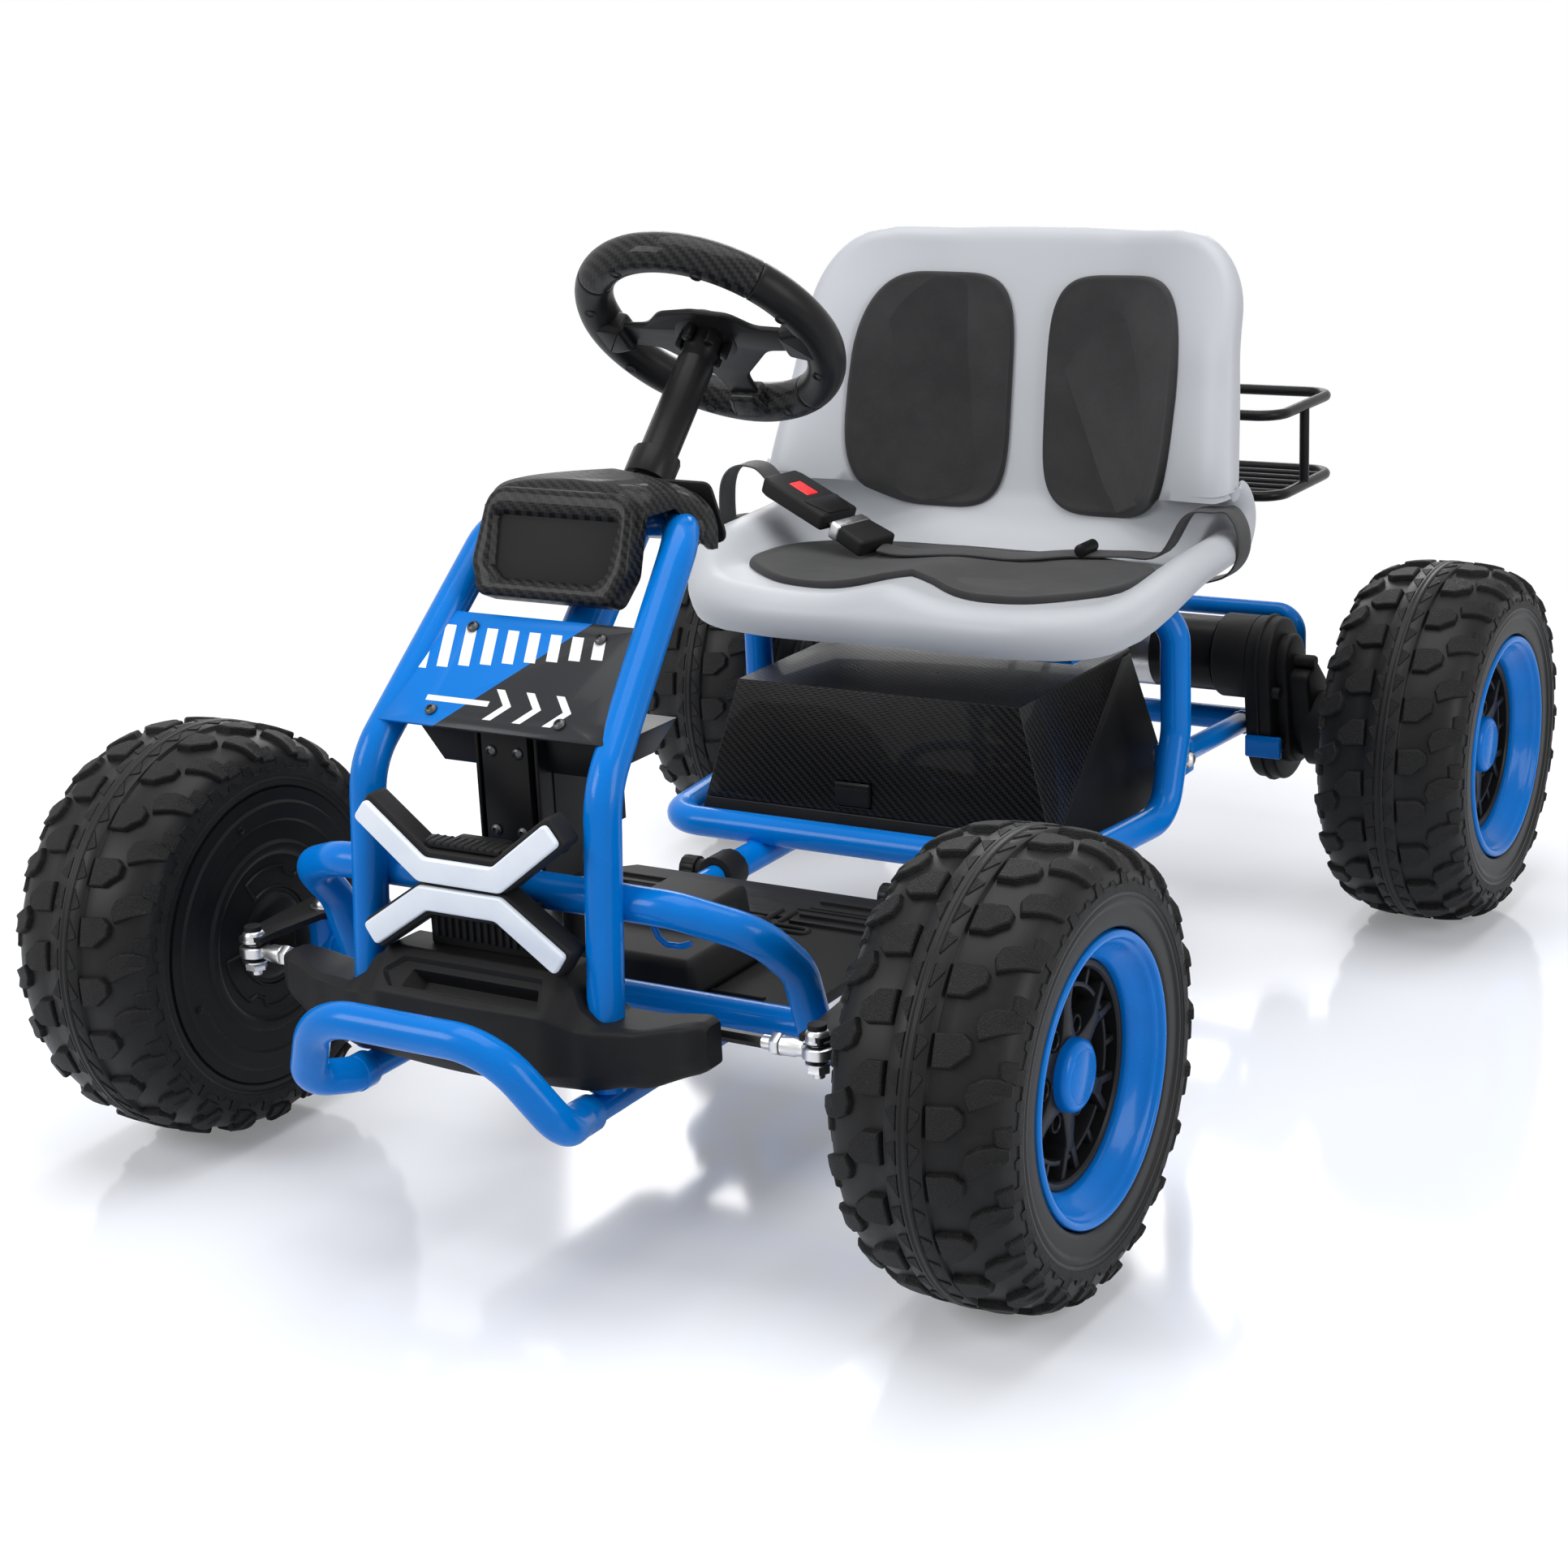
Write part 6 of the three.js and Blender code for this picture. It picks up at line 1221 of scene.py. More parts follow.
def seat_line(run):
    """The seat's middle line: (y, z) and the direction that faces the driver."""
    if run <= PAN:
        place = Vector((PAN_Y + run * cos(SLOPE), PAN_Z - run * sin(SLOPE)))
        return place, Vector((sin(SLOPE), cos(SLOPE)))
    if run <= PAN + BEND:
        angle = (run - PAN) / BEND_R - SLOPE
        facing = Vector((-sin(angle), cos(angle)))
        return BEND_CENTRE - facing * BEND_R, facing
    up = run - PAN - BEND
    place = Vector((BACK_START.x + up * sin(LEAN), BACK_START.y + up * cos(LEAN)))
    return place, Vector((-cos(LEAN), sin(LEAN)))


print("seat line:", [round(v) for v in seat_line(PAN + BEND)[0]])

# %% How wide the seat is, and how its sides rise
def mix(a, b, t):
    return a + (b - a) * smooth_step(t)


def body_half(run):
    """The half width before the corners are rounded."""
    return mix(FULL_HALF, BACK_HALF, (run - PAN) / (BEND + BACK))


def seat_half(run):
    def corner(away, size):
        return 0 if away >= size else size - sqrt(max(size ** 2 - (size - away) ** 2, 0))
    body = body_half(run)
    front = corner(run, FRONT_CORNER) * (FULL_HALF - FRONT_HALF) / FRONT_CORNER
    top = corner(SEAT_RUN - run, TOP_CORNER) * (BACK_HALF - TOP_HALF) / TOP_CORNER
    return body - front - top


RISES = [(0, 4), (PAN / 2, 27), (PAN + BEND / 2, 40), (PAN + BEND, 74), (PAN + BEND + BACK / 2, 56),
         (SEAT_RUN, 26)]


def seat_rise(run):
    """How far the sides stand proud of the middle, eased between the marks."""
    for i in range(len(RISES) - 1):
        (a, low), (b, high) = RISES[i], RISES[i + 1]
        if run <= b:
            t = (run - a) / (b - a)
            before = RISES[max(i - 1, 0)]
            after = RISES[min(i + 2, len(RISES) - 1)]
            m0 = (high - before[1]) / max(b - before[0], 1) * (b - a)
            m1 = (after[1] - low) / max(after[0] - a, 1) * (b - a)
            return ((2 * t ** 3 - 3 * t ** 2 + 1) * low + (t ** 3 - 2 * t ** 2 + t) * m0 * 0.6
                    + (-2 * t ** 3 + 3 * t ** 2) * high + (t ** 3 - t ** 2) * m1 * 0.6)
    return RISES[-1][1]


def wave(share, run):
    """The low hump between the driver's legs and the dips under them, which fade towards the back."""
    fade = 1 - smooth_step(run / PAN)
    x = abs(share) * seat_half(run)
    bump = 8 * exp(-((x / 40) ** 2)) * fade
    return bump - 5 * sin(pi * min(x / 172, 1)) * fade


def seat_point(share, run, off=0.0):
    place, facing = seat_line(run)
    x = share * seat_half(run)
    flat = mix(0.8, 0.35, (run - PAN) / BEND)
    side = smooth_step((abs(x) / body_half(run) - flat) / (1 - flat))
    rise = seat_rise(run) * side + wave(share, run) + off
    return Vector((x, place.x + rise * facing.x, place.y + rise * facing.y))


def seat_normal(share, run):
    h, step = 0.01, SEAT_RUN * 0.006
    across = seat_point(min(share + h, 1), run) - seat_point(max(share - h, -1), run)
    along = seat_point(share, min(run + step, SEAT_RUN)) - seat_point(share, max(run - step, 0))
    return across.cross(along).normalized()


print("seat run:", round(SEAT_RUN), "mm: pan", round(PAN), "bend", round(BEND), "back", round(BACK))

# %% The seat's skin
def roll_radius(run):
    if run < PAN:
        return mix(26, 16, run / 96)
    return mix(16, 12, (run - PAN - BEND) / BACK)


def seat_skin(columns=56, roll_steps=9):
    """The grid, and a border that rolls over and away from the driver."""
    shares = [-1 + 2 * c / columns for c in range(columns + 1)]
    marks = [0, PAN * 0.12, PAN, PAN + BEND, SEAT_RUN - 62, SEAT_RUN]
    counts = [6, 16, 18, 16, 12]
    runs = [0.0]
    for (a, b), n in zip(zip(marks, marks[1:]), counts):
        runs += [a + (b - a) * k / n for k in range(1, n + 1)]
    rows = len(runs) - 1
    shape = Shape().grid([[seat_point(s, r) for s in shares] for r in runs])
    border = [(c, 0) for c in range(columns)] + [(columns, r) for r in range(rows)]
    border += [(c, rows) for c in range(columns, 0, -1)] + [(0, r) for r in range(rows, 0, -1)]
    ids = [r * (columns + 1) + c for c, r in border]
    count = len(border)

    def eased(values, passes):
        for _ in range(passes):
            after = values[1:] + values[:1]
            values = [values[i - 1] * 0.25 + values[i] * 0.5 + after[i] * 0.25 for i in range(count)]
        return values

    edge = [shape.points[i] for i in ids]
    places = [(shares[c], runs[r]) for c, r in border]
    level = [seat_point(s, r, -wave(s, r)) - p for (s, r), p in zip(places, edge)]
    calm = eased([p + down for p, down in zip(edge, level)], 6)
    upward = [n.normalized() for n in eased([seat_normal(s, r) for s, r in places], 40)]
    tangent = [(calm[(i + 1) % count] - calm[i - 1]).normalized() for i in range(count)]
    outward = [t.cross(n).normalized() for t, n in zip(eased(tangent, 6), upward)]
    radii = eased([roll_radius(runs[r]) for c, r in border], 12)
    ring_before = ids
    for k in range(1, roll_steps + 1):
        angle = ROLL * k / roll_steps
        settle = smooth_step(angle / radians(80))
        ring = []
        for i in range(count):
            n, radius = upward[i], radii[i]
            arm = outward[i] * sin(angle) + n * cos(angle)
            shape.points.append(edge[i] + level[i] * settle - n * radius + arm * radius)
            ring.append(len(shape.points) - 1)
        for i in range(count):
            j = (i + 1) % count
            shape.faces.append((ring_before[j], ring_before[i], ring[i], ring[j]))
        ring_before = ring
    return shape


seat_mesh = seat_skin().mesh("seat_skin", 60, outward=False)
seat_wall = {"thickness": SEAT_WALL / 1000, "offset": -1}
seat_solid = smooth(worked(seat_mesh, ("SOLIDIFY", seat_wall)), 60)
dress("seat_moulding", seat_solid, seat_grey, "seat_shell")
print("seat faces:", len(seat_solid.polygons))

# %% [markdown]
# ## Foam pads
# Three flat sheets of closed-cell foam are stuck to the seat. A cloth simulation makes a stuffed cushion, and
# these are not stuffed: they're moulded sheets of even thickness with a pressed edge. So each is a fine grid
# laid on the seat's own rule, with a rounded edge, a faint crown and a few shallow creases where the foam has
# been sat on.

# %% Foam pads on the seat's rule
def crease(x, y, seed):
    """Shallow waves that fade out, so the sheet isn't dead flat."""
    return 0.35 * sin(x * 0.045 + seed) * sin(y * 0.036 + seed * 2) + 0.2 * sin((x + y) * 0.09 + seed)


def foam_sheet(name, node, to_seat, outline, seed, count=120):
    """A pad as rings from its centre out, the last of which turn down to the seat."""
    levels = [(k / 22, 1.0) for k in range(1, 21)]
    levels += [(0.95, 1.0), (0.972, 0.97), (0.988, 0.82), (0.998, 0.5), (1.0, 0.1)]
    shape = Shape()
    thickness = 6.2
    rings = []
    for scale, height in levels:
        ring = []
        for angle in turns(count):
            a, b = outline(angle, scale)
            crown = 0.5 * (1 - scale ** 2)
            lip = 0.7 * exp(-((scale - 0.93) / 0.012) ** 2)
            h = 0.3 + thickness * height + (crown + crease(a, b, seed) - lip) * height - 0.6 * (height > 0.99)
            ring.append(to_seat(a, b, min(h, 6.7)))
        rings.append(ring)
    shape.rings(rings, caps=False)
    centre = outline(0, 0)
    shape.points.append(to_seat(centre[0], centre[1], 6.4))
    middle = len(shape.points) - 1
    for k in range(count):
        shape.faces.append(((k + 1) % count, k, middle))
    last = (len(levels) - 1) * count
    bottom = []
    for angle in turns(count):
        a, b = outline(angle, 0.99)
        shape.points.append(to_seat(a, b, 0.25))
        bottom.append(len(shape.points) - 1)
    for k in range(count):
        j = (k + 1) % count
        shape.faces.append((last + k, last + j, bottom[j], bottom[k]))
    shape.faces.append(tuple(reversed(bottom)))
    piece = dress(name, shape, foam, node, 50)
    return piece


print("foam tool ready")

# %% From a height or a depth to a place on the seat
def run_at_height(z):
    up = (z - BACK_START.y) / cos(LEAN)
    if up >= 0:
        return PAN + BEND + up
    lean = max(min((BEND_CENTRE.y - z) / BEND_R, 1), -1)
    return PAN + BEND_R * (acos(lean) + SLOPE)


def run_at_depth(y):
    """The run along the pan where the middle line reaches y, found by halving the span."""
    low, high = 0.0, PAN + BEND
    for _ in range(24):
        middle = (low + high) / 2
        low, high = (middle, high) if seat_line(middle)[0].x < y else (low, middle)
    return low


def on_seat(x, run, off):
    share = x / seat_half(run)
    return seat_point(share, run) + seat_normal(share, run) * off


def on_back(x, z, off):
    return on_seat(x, run_at_height(z), off)


def on_pan(x, y, off):
    return on_seat(x, run_at_depth(y), off)


def squarish(v, power):
    return copysign(abs(v) ** power, v)


def back_outline(side):
    """Tall pads: straight beside the middle, rounder on the outside, and narrower at their feet."""
    def outline(angle, scale):
        a, b = squarish(cos(angle), 0.5), squarish(sin(angle), 0.45)
        inner = a * side < 0
        half = 68 if inner else 75 - 6 * max(-b, 0) ** 2 - 13 * max(b, 0) ** 2
        return (side * 85 + a * half * scale, 470 + b * 103 * scale)
    return outline


def pan_outline(angle, scale):
    """A wide pad whose front edge has two lobes with a peak between them."""
    a, b = squarish(cos(angle), 0.62), squarish(sin(angle), 0.55)
    x = a * 182
    front = 64 + 24 * exp(-((x / 38) ** 2)) + 20 * smooth_step((abs(x) - 110) / 80)
    rear = 236 - 3 * (x / 182) ** 2
    middle = 152
    y = middle + (b * (rear - middle) if b > 0 else b * (middle - front))
    return (x * scale, middle + (y - middle) * scale)


for side, hand in HANDS:
    foam_sheet("back_foam_" + hand, "back_pad_" + hand, on_back, back_outline(side), 1.3 * side)
foam_sheet("pan_foam", "seat_pad", on_pan, pan_outline, 0.7, 160)
print("three foam pads laid on the seat")

# %% [markdown]
# ## The steering wheel
# The wheel is a moulded grip in two finishes: a woven print at the top and bottom and a smooth satin skin at
# the sides, split by fine seams. Under it a pressed three-armed plate slides into swollen sockets in the
# grip. The grip is swept in its own frame, whose Z axis is the column, and then set in place with one matrix.

# %% The wheel's own frame and its grip
WHEEL_FRAME = Matrix.Translation(WHEEL_CENTRE) @ Matrix((
    (1, 0, 0, 0),
    (0, sin(COLUMN_TILT), cos(COLUMN_TILT), 0),
    (0, -cos(COLUMN_TILT), sin(COLUMN_TILT), 0),
    (0, 0, 0, 1),
))
GRIP = 90.5
ARMS = [0, pi / 2, pi]
SEAMS = [radians(d) for d in (-138, -42, 52, 128)]


def grip_ring(angle):
    """A section of the grip: an oval that is flatter where the wheel's upper face is, and slim at a seam."""
    near_seam = min(abs(remainder(angle - s, 2 * pi)) for s in SEAMS)
    groove = 0.9 if near_seam < 0.006 else (0.25 if near_seam < 0.014 else 0)
    near_arm = min(abs(remainder(angle - a, 2 * pi)) for a in ARMS)
    swell = 0.9 * (1 - smooth_step(near_arm / 0.42))
    ring = []
    for b in turns(32):
        radial = (13.6 + swell - groove) * cos(b)
        height = (14.6 - groove) * sin(b)
        if cos(b) < 0:
            radial -= 1.1 * (1 - near_arm / 3)
        r = GRIP + radial
        ring.append(WHEEL_FRAME @ Vector((r * cos(angle), r * sin(angle), height)))
    return ring


def grip_part(first, last, steps):
    angles = [first + (last - first) * k / steps for k in range(steps + 1)]
    extra = [first + 0.008, last - 0.008, first + 0.016, last - 0.016]
    return Shape().rings([grip_ring(a) for a in sorted(angles + extra)])


woven_grip = grip_part(SEAMS[0], SEAMS[1], 40).add(grip_part(SEAMS[2], SEAMS[3], 34))
satin_grip = grip_part(SEAMS[1], SEAMS[2], 40).add(grip_part(SEAMS[3], SEAMS[0] + 2 * pi, 40))
for arm in ARMS:
    place = WHEEL_FRAME @ Matrix.Rotation(arm, 4, "Z")
    outline = [(66, -12.5), (80, -17), (93, -18.5), (93, 18.5), (80, 17), (66, 12.5)]
    socket = slab(outline, 5, 4, 19, move(0, 0, -14.5), 5, 4)
    (woven_grip if arm == pi / 2 else satin_grip).add(socket, place)
screw_holes = Shape()
for k in range(8):
    place = WHEEL_FRAME @ spin(22.5 + 45 * k, "Z") @ move(GRIP - 2.5, 0, -13.4)
    wall = [(0, 3.1), (0, 4.2), (1.4, 4.4), (1.4, 2.9), (-1, 2.9)]
    hole = Shape().loop_turned(wall, (0, 0, 0), (0, 0, -1), 20)
    hole.turned([(-1, 3), (0.2, 3)], (0, 0, 0), (0, 0, -1), 16)
    screw_holes.add(hole, place)
dress("grip_woven", woven_grip, grip_weave, "steering_wheel_grip", 60)
detail("grip_satin", satin_grip, satin_black, "steering_wheel_grip", 60)
detail("grip_screw_wells", screw_holes, screen_black, "steering_wheel_grip")
print("grip points:", len(woven_grip.points) + len(satin_grip.points))

# %% Spoke plate, hub and column
corners, radii = [], []
for arm in ARMS:
    way, side = Vector((cos(arm), sin(arm))), Vector((-sin(arm), cos(arm)))
    corners += [tuple(way * r + side * w) for r, w in ((46, -13), (78, -11), (78, 11), (46, 13))]
    radii += [18, 2, 2, 18]
corners += [(-30, -27), (0, -31), (30, -27)]
radii += [20, 30, 20]
spoke_plate = Shape().plate(rounded_outline(corners, radii, 6), 4.6, WHEEL_FRAME @ move(0, 0, -8.4), 1.2, 3)
HUB_COVER = [(-9, 22), (-8.5, 24), (-3.6, 24), (-2, 22), (4, 19), (5.6, 15), (6, 0)]
spoke_plate.add(Shape().turned(HUB_COVER, (0, 0, 0), (0, 0, 1), 48), WHEEL_FRAME)
for k in range(6):
    a = pi * k / 3 + 0.3
    place = WHEEL_FRAME @ Matrix.Rotation(a, 4, "Z")
    spoke_plate.add(soft_block((5, 7, 12), (17.4, 0, -15), 1.2), place)
SLEEVE = [(-9, 13.8), (-20, 13.6), (-22, 12.8), (-30, 12.3), (-118, 12.5), (-119, 15.4), (-120, 15.9),
          (-132, 16), (-133.4, 15.2), (-133.4, 11.9)]
column_sleeve = Shape().add(Shape().turned(SLEEVE, (0, 0, 0), (0, 0, 1), 44), WHEEL_FRAME)
dress("spoke_plate", spoke_plate, part_black, "steering_wheel_spokes", 34)
detail("column_sleeve", column_sleeve, satin_black, "steering_shaft", 34)
dress_refined("column_shaft", "steering_shaft", part_black, 0.5)
dress_refined("pitman_lever", "pitman_shaft", gritty_black, 0.7)
print("wheel and column done")

# %% [markdown]
# ## Steering arms and track rods
# Flat gritty arms reach forward from the axle ends. Each carries a zinc rod end: a round eye with a domed
# screw above and a nut below, a threaded shank, a jam nut, and then the black track rod. The nut faces and
# the dome are what the eye picks out, so they get most of the faces.

# %% Steering arms and their hardware
ROD_Y, ROD_Z, BALL_X, KINGPIN_X = -490.5, 177, 238, 230
UP, DOWN = (0, 0, 1), (0, 0, -1)
for side, hand in HANDS:
    node = "knuckle_" + hand
    dress_refined("steering_arm_" + hand, node, gritty_black, 0.9)
    hardware = Shape()
    at = Vector((side * BALL_X, ROD_Y, 184.4))
    hardware.turned([(0, 9.4), (1.4, 9.4), (1.7, 8.6)], at, UP, 28)
    hardware.turned([(0, 8.6), (2.4, 8.6)] + dome(6.0, 8.4, 2.4), at + Vector((0, 0, 1.6)), UP, 28)
    hardware.turned([(0, 9), (1.2, 9), (1.4, 8)], (side * BALL_X, ROD_Y, 169.8), DOWN, 24)
    hex_nut(hardware, move(side * BALL_X, ROD_Y, 162.6), 8.2, 6.4)
    hardware.turned([(0, 4), (4, 4), (4.8, 3)], (side * BALL_X, ROD_Y, 163), DOWN, 18)
    kingpin = Vector((side * KINGPIN_X, FRONT_AXLE_Y, 0))
    hardware.turned([(0, 10.6), (1.2, 10.6), (1.5, 9.6)], kingpin + Vector((0, 0, 189.4)), UP, 28)
    hardware.turned([(0, 8.6), (1.5, 8.6)] + dome(5.2, 8.2, 1.5), kingpin + Vector((0, 0, 190.6)), UP, 28)
    hex_nut(hardware, move(side * KINGPIN_X, FRONT_AXLE_Y, 123.4), 9.4, 7)
    detail("arm_hardware_" + hand, hardware, zinc, node, 34, slot="zinc")
print("steering arms done")

# %% Track rods with rod ends
for side, hand in HANDS:
    node = "tie_rod_" + hand
    flats = [(ROD_Y + y, ROD_Z + z) for y, z in hexagon(4.6)]
    rod = Shape().rings([[(side * x, y, z) for y, z in flats] for x in (26, 204)])
    dress("track_rod_" + hand, rod, part_black, node, 30)
    ends = Shape()
    for x, way, large in ((side * BALL_X, -side, True), (side * 8, side, False)):
        at = (x, ROD_Y, ROD_Z)
        r, share = (11.0, 1) if large else (7.2, 0.66)
        eye = [(-4.2, r - 1), (-3.4, r), (3.4, r), (4.2, r - 1), (4.6, 6.4), (3, 5.4), (-3, 5.4), (-4.6, 6.4)]
        ends.loop_turned([(a, b * share) for a, b in eye], at, UP, 36)
        ball = [(-4.9, 4.0), (-4.9, 5.6), (0, 6.2 if large else 4.2), (4.9, 5.6 if large else 4), (4.9, 4.0)]
        ends.turned(ball, at, UP, 24)
        if large:
            ends.turned([(9, 5.2), (14, 5.6), (17, 6.6), (26, 6.9), (27, 6.2)], at, (way, 0, 0), 28)
            hex_nut(ends, move(x + way * 27.4, ROD_Y, ROD_Z) @ spin(90 * way, "Y"), 8.0, 6.4)
            ends.turned([(33, 4.9), (41, 4.9)], at, (way, 0, 0), 20)
        else:
            ends.turned([(5, 3.8), (12, 4.2), (19, 5.2), (24, 5.2)], at, (way, 0, 0), 20)
    detail("rod_ends_" + hand, ends, zinc, node, 34, slot="zinc")
print("track rods done")

# %% [markdown]
# ## The front: bumper cover, lamp, plate and cowl
# These are injection moulded shells with rounded edges. A bevelled box would read as a block, so the bumper
# cover is lofted through sections that change from its centre to its wings, and its recess is cut with a
# Boolean.

# %% Bumper cover
def blend_marks(marks, at):
    return between_marks(marks, at, eased=True)


def cover_section(x):
    """The cover's outline in Y and Z at a distance x from the middle; its wings sweep up and back."""
    a = abs(x)
    crest = blend_marks([(0, 222), (71, 222), (80, 214), (92, 199), (104, 192), (125, 192), (177, 199)], a)
    crest_front = blend_marks([(0, -537), (72, -537), (92, -545), (130, -540), (177, -523)], a)
    nose_y = blend_marks([(0, -565), (66, -563), (92, -556), (130, -548), (165, -538), (177, -531)], a)
    nose_z = blend_marks([(0, 197), (66, 197), (92, 189), (110, 189.5), (177, 197)], a)
    bottom_front = blend_marks([(0, -556), (92, -551), (130, -545), (177, -528)], a)
    bottom = blend_marks([(0, 144.5), (90, 145.5), (130, 151), (177, 163)], a)
    rear = blend_marks([(0, -504), (140, -504), (177, -508)], a)
    corners = [(rear, bottom), (bottom_front, bottom), (nose_y, bottom + 12), (nose_y + 1, nose_z),
               (crest_front, crest), (rear, crest - 0.5)]
    radii = [3, 8, 6, blend_marks([(0, 5), (70, 5), (100, 4), (177, 4)], a), 4, 3]
    return rounded_outline(corners, radii, 4)


def bumper_cover():
    """The sections in a row, drawn in over the last millimetres of each wing."""
    rings = []
    for x in (-177 + 354 * k / 96 for k in range(97)):
        end = max(abs(x) - 168, 0) / 9
        pull = 1 - 0.2 * end ** 2.2
        section = cover_section(x)
        cy, cz = (sum(p[i] for p in section) / len(section) for i in (0, 1))
        rings.append([(x, cy + (y - cy) * pull, cz + (z - cz) * pull) for y, z in section])
    return Shape().rings(rings)


print("cover section points:", len(cover_section(0)))

# %% Wells cut into the cover
def carved(mesh, cutters, sharp):
    """The mesh with cutter shapes taken out of it."""
    tools = [linked("cutter", cutter.mesh("cutter", 30)) for cutter in cutters]
    cuts = [("BOOLEAN", {"object": tool, "operation": "DIFFERENCE", "solver": "EXACT"}) for tool in tools]
    result = smooth(worked(mesh, *cuts), sharp)
    for tool in tools:
        bpy.data.objects.remove(tool)
    return result


def sunk_well(outer, inner, matrix, depth, rise=8):
    """A cutter with sloped walls: outer outline at the surface and inner outline at the bottom."""
    lift = [(x + (x - u) * rise / depth, y + (y - v) * rise / depth) for (x, y), (u, v) in zip(outer, inner)]
    levels = ((lift, rise), (inner, -depth))
    return Shape().rings([[matrix @ Vector((*q, z)) for q in ring] for ring, z in levels])


cover_slope = atan2(25, 27)
top_panel = move(0, -551, 210) @ Matrix.Rotation(cover_slope, 4, "X")
wide_outer = rounded_outline([(-60, -13), (69, -13), (60, 12), (-56, 12), (-72, -1)], 2, 3)
wide_inner = rounded_outline([(-57, -11), (66, -11), (58, 9), (-54, 9), (-66, -1)], 2, 3)
deep_outer = rounded_outline([(-50, -10), (63, -10), (58, 4), (-46, 4)], 2, 3)
deep_inner = rounded_outline([(-40, -8.5), (60, -8.5), (55, 1), (-40, 1)], 2, 3)
wells = [sunk_well(wide_outer, wide_inner, top_panel, 4),
         sunk_well(deep_outer, deep_inner, top_panel @ move(0, 0, -3.9), 12, 3)]
cover_mesh = carved(bumper_cover().mesh("cover"), wells, 28)
dress("bumper_cover_shell", cover_mesh, matt_black, "bumper_cover")
print("cover faces:", len(cover_mesh.polygons))

# %% Cross shaped lamp
FACE_ON = Matrix(((1, 0, 0, 0), (0, 0, -1, 0), (0, 1, 0, 0), (0, 0, 0, 1)))


def strip_outline(path, half):
    """The outline of an even strip along a path, mitred at its bends."""
    left, right = [], []
    for i, p in enumerate(path):
        p = Vector(p)
        before = (p - Vector(path[i - 1])).normalized() if i else (Vector(path[1]) - p).normalized()
        after = (Vector(path[i + 1]) - p).normalized() if i < len(path) - 1 else before
        middle = (before + after).normalized()
        side = Vector((-middle.y, middle.x)) * (half / max(middle.dot(after), 0.4))
        left.append(tuple(p + side))
        right.append(tuple(p - side))
    return left + right[::-1]


UPPER_BAR = [(-79, 321), (-31, 283.5), (31, 283.5), (79, 321)]
LOWER_BAR = [(-79, 231), (-31, 263.5), (31, 263.5), (79, 231)]
BAR_ROUNDING = [4, 9, 9, 4, 4, 9, 9, 4]
LAMP_BACK = move(0, -526.4, 0) @ FACE_ON
for label, path in (("upper", UPPER_BAR), ("lower", LOWER_BAR)):
    bar = slab(strip_outline(path, 8.6), BAR_ROUNDING, 5, 5.2, move(0, -544.6, 0) @ FACE_ON, 1.9, 4)
    dress("lamp_bar_" + label, bar, lens_white, "lamp_lens_" + label, 50)
lamp = Shape()
for path, lift in ((UPPER_BAR, 1.6), (LOWER_BAR, -1.6)):
    path = [(x * 1.015, z + lift) for x, z in path]
    lamp.add(slab(strip_outline(path, 11.6), BAR_ROUNDING, 5, 18.5, LAMP_BACK, 2.4, 4))
lamp.add(slab([(-34, 262), (34, 262), (34, 285), (-34, 285)], 4, 3, 15, LAMP_BACK, 1.5))
lamp.add(slab([(-38, -526), (38, -526), (32, -541), (-32, -541)], 4, 4, 5, move(0, 0, 297), 1.6))
for k in range(11):
    lamp.add(soft_block((3.0, 15, 3.0), (-30 + 6 * k, -534, 301), 1.0))
for k in range(14):
    lamp.add(soft_block((3.0, 3, 24), (-39 + 6 * k, -525, 240), 0.8))
lamp.add(soft_block((92, 9, 40), (0, -520, 241), 2.5))
lamp.add(soft_block((52, 10, 22), (0, -524, 262), 3))
lamp.add(soft_block((44, 14, 60), (0, -518, 270), 3))
for side in (1, -1):
    lamp.turned([(0, 5), (3, 5), (4, 4)], (side * 70, -526, 306), (0, 1, 0), 20)
dress("lamp_housing", lamp, matt_black, "lamp_body", 40)
print("lamp points:", len(lamp.points))

# %% [markdown]
# ## The printed front plate
# The thin plate between the mast legs has a two-tone print: a blue corner, leaning white bars that grow
# shorter, and open arrows. A print has no thickness worth modelling, so it's painted by shader arithmetic on
# Object coordinates: one axis runs across the kart and the other up the plate's slope, and each bar is a
# product of two comparisons.

# %% Printed plate
def plate_print():
    f = Finish("printed_plate", {"IOR": 1.48, "Specular IOR Level": 0.14, "Coat Roughness": 0.1})
    x, y, z = f.axes()
    up = (z - 0.369) * 1.54
    cloud = f.noise(8, 3)
    fine = f.noise(1400, 1)
    dark = f.tint(cloud, (0.017, 0.018, 0.021, 1), (0.024, 0.025, 0.028, 1))
    corner = (up - x * 1.1) > 0.052
    colour = f.tint(corner, dark, shade(BLUE, 1.0))
    lean = x + up * 0.28 + 0.071
    column = (lean / 0.0178).floor()
    tall = (up < 0.0845) * (up > 0.047 + column * 0.0026)
    bar = ((lean % 0.0178) < 0.0092) * tall * (lean > 0.0) * (lean < 0.1602)
    off_line = (up - 0.024).absolute()
    arrow_x = x - 0.002 + off_line * 0.9
    arrow = ((arrow_x % 0.0245) < 0.0068) * (off_line < 0.0125) * (arrow_x > 0.0) * (arrow_x < 0.0735)
    dash = (off_line < 0.0022) * (x < -0.01) * (x > -0.062)
    white = bar + arrow + dash
    colour = f.tint(white.between(0, 1, soft=False), colour, (0.82, 0.83, 0.84, 1))
    return f.done(colour, 0.32 + cloud * 0.08, fine, 0.00003, 0.3, 0.04 + cloud * 0.06)


PLATE_UP = Vector((0, 72, 61.5)).normalized()
PLATE_OUT = Vector((0, -61.5, 72)).normalized()


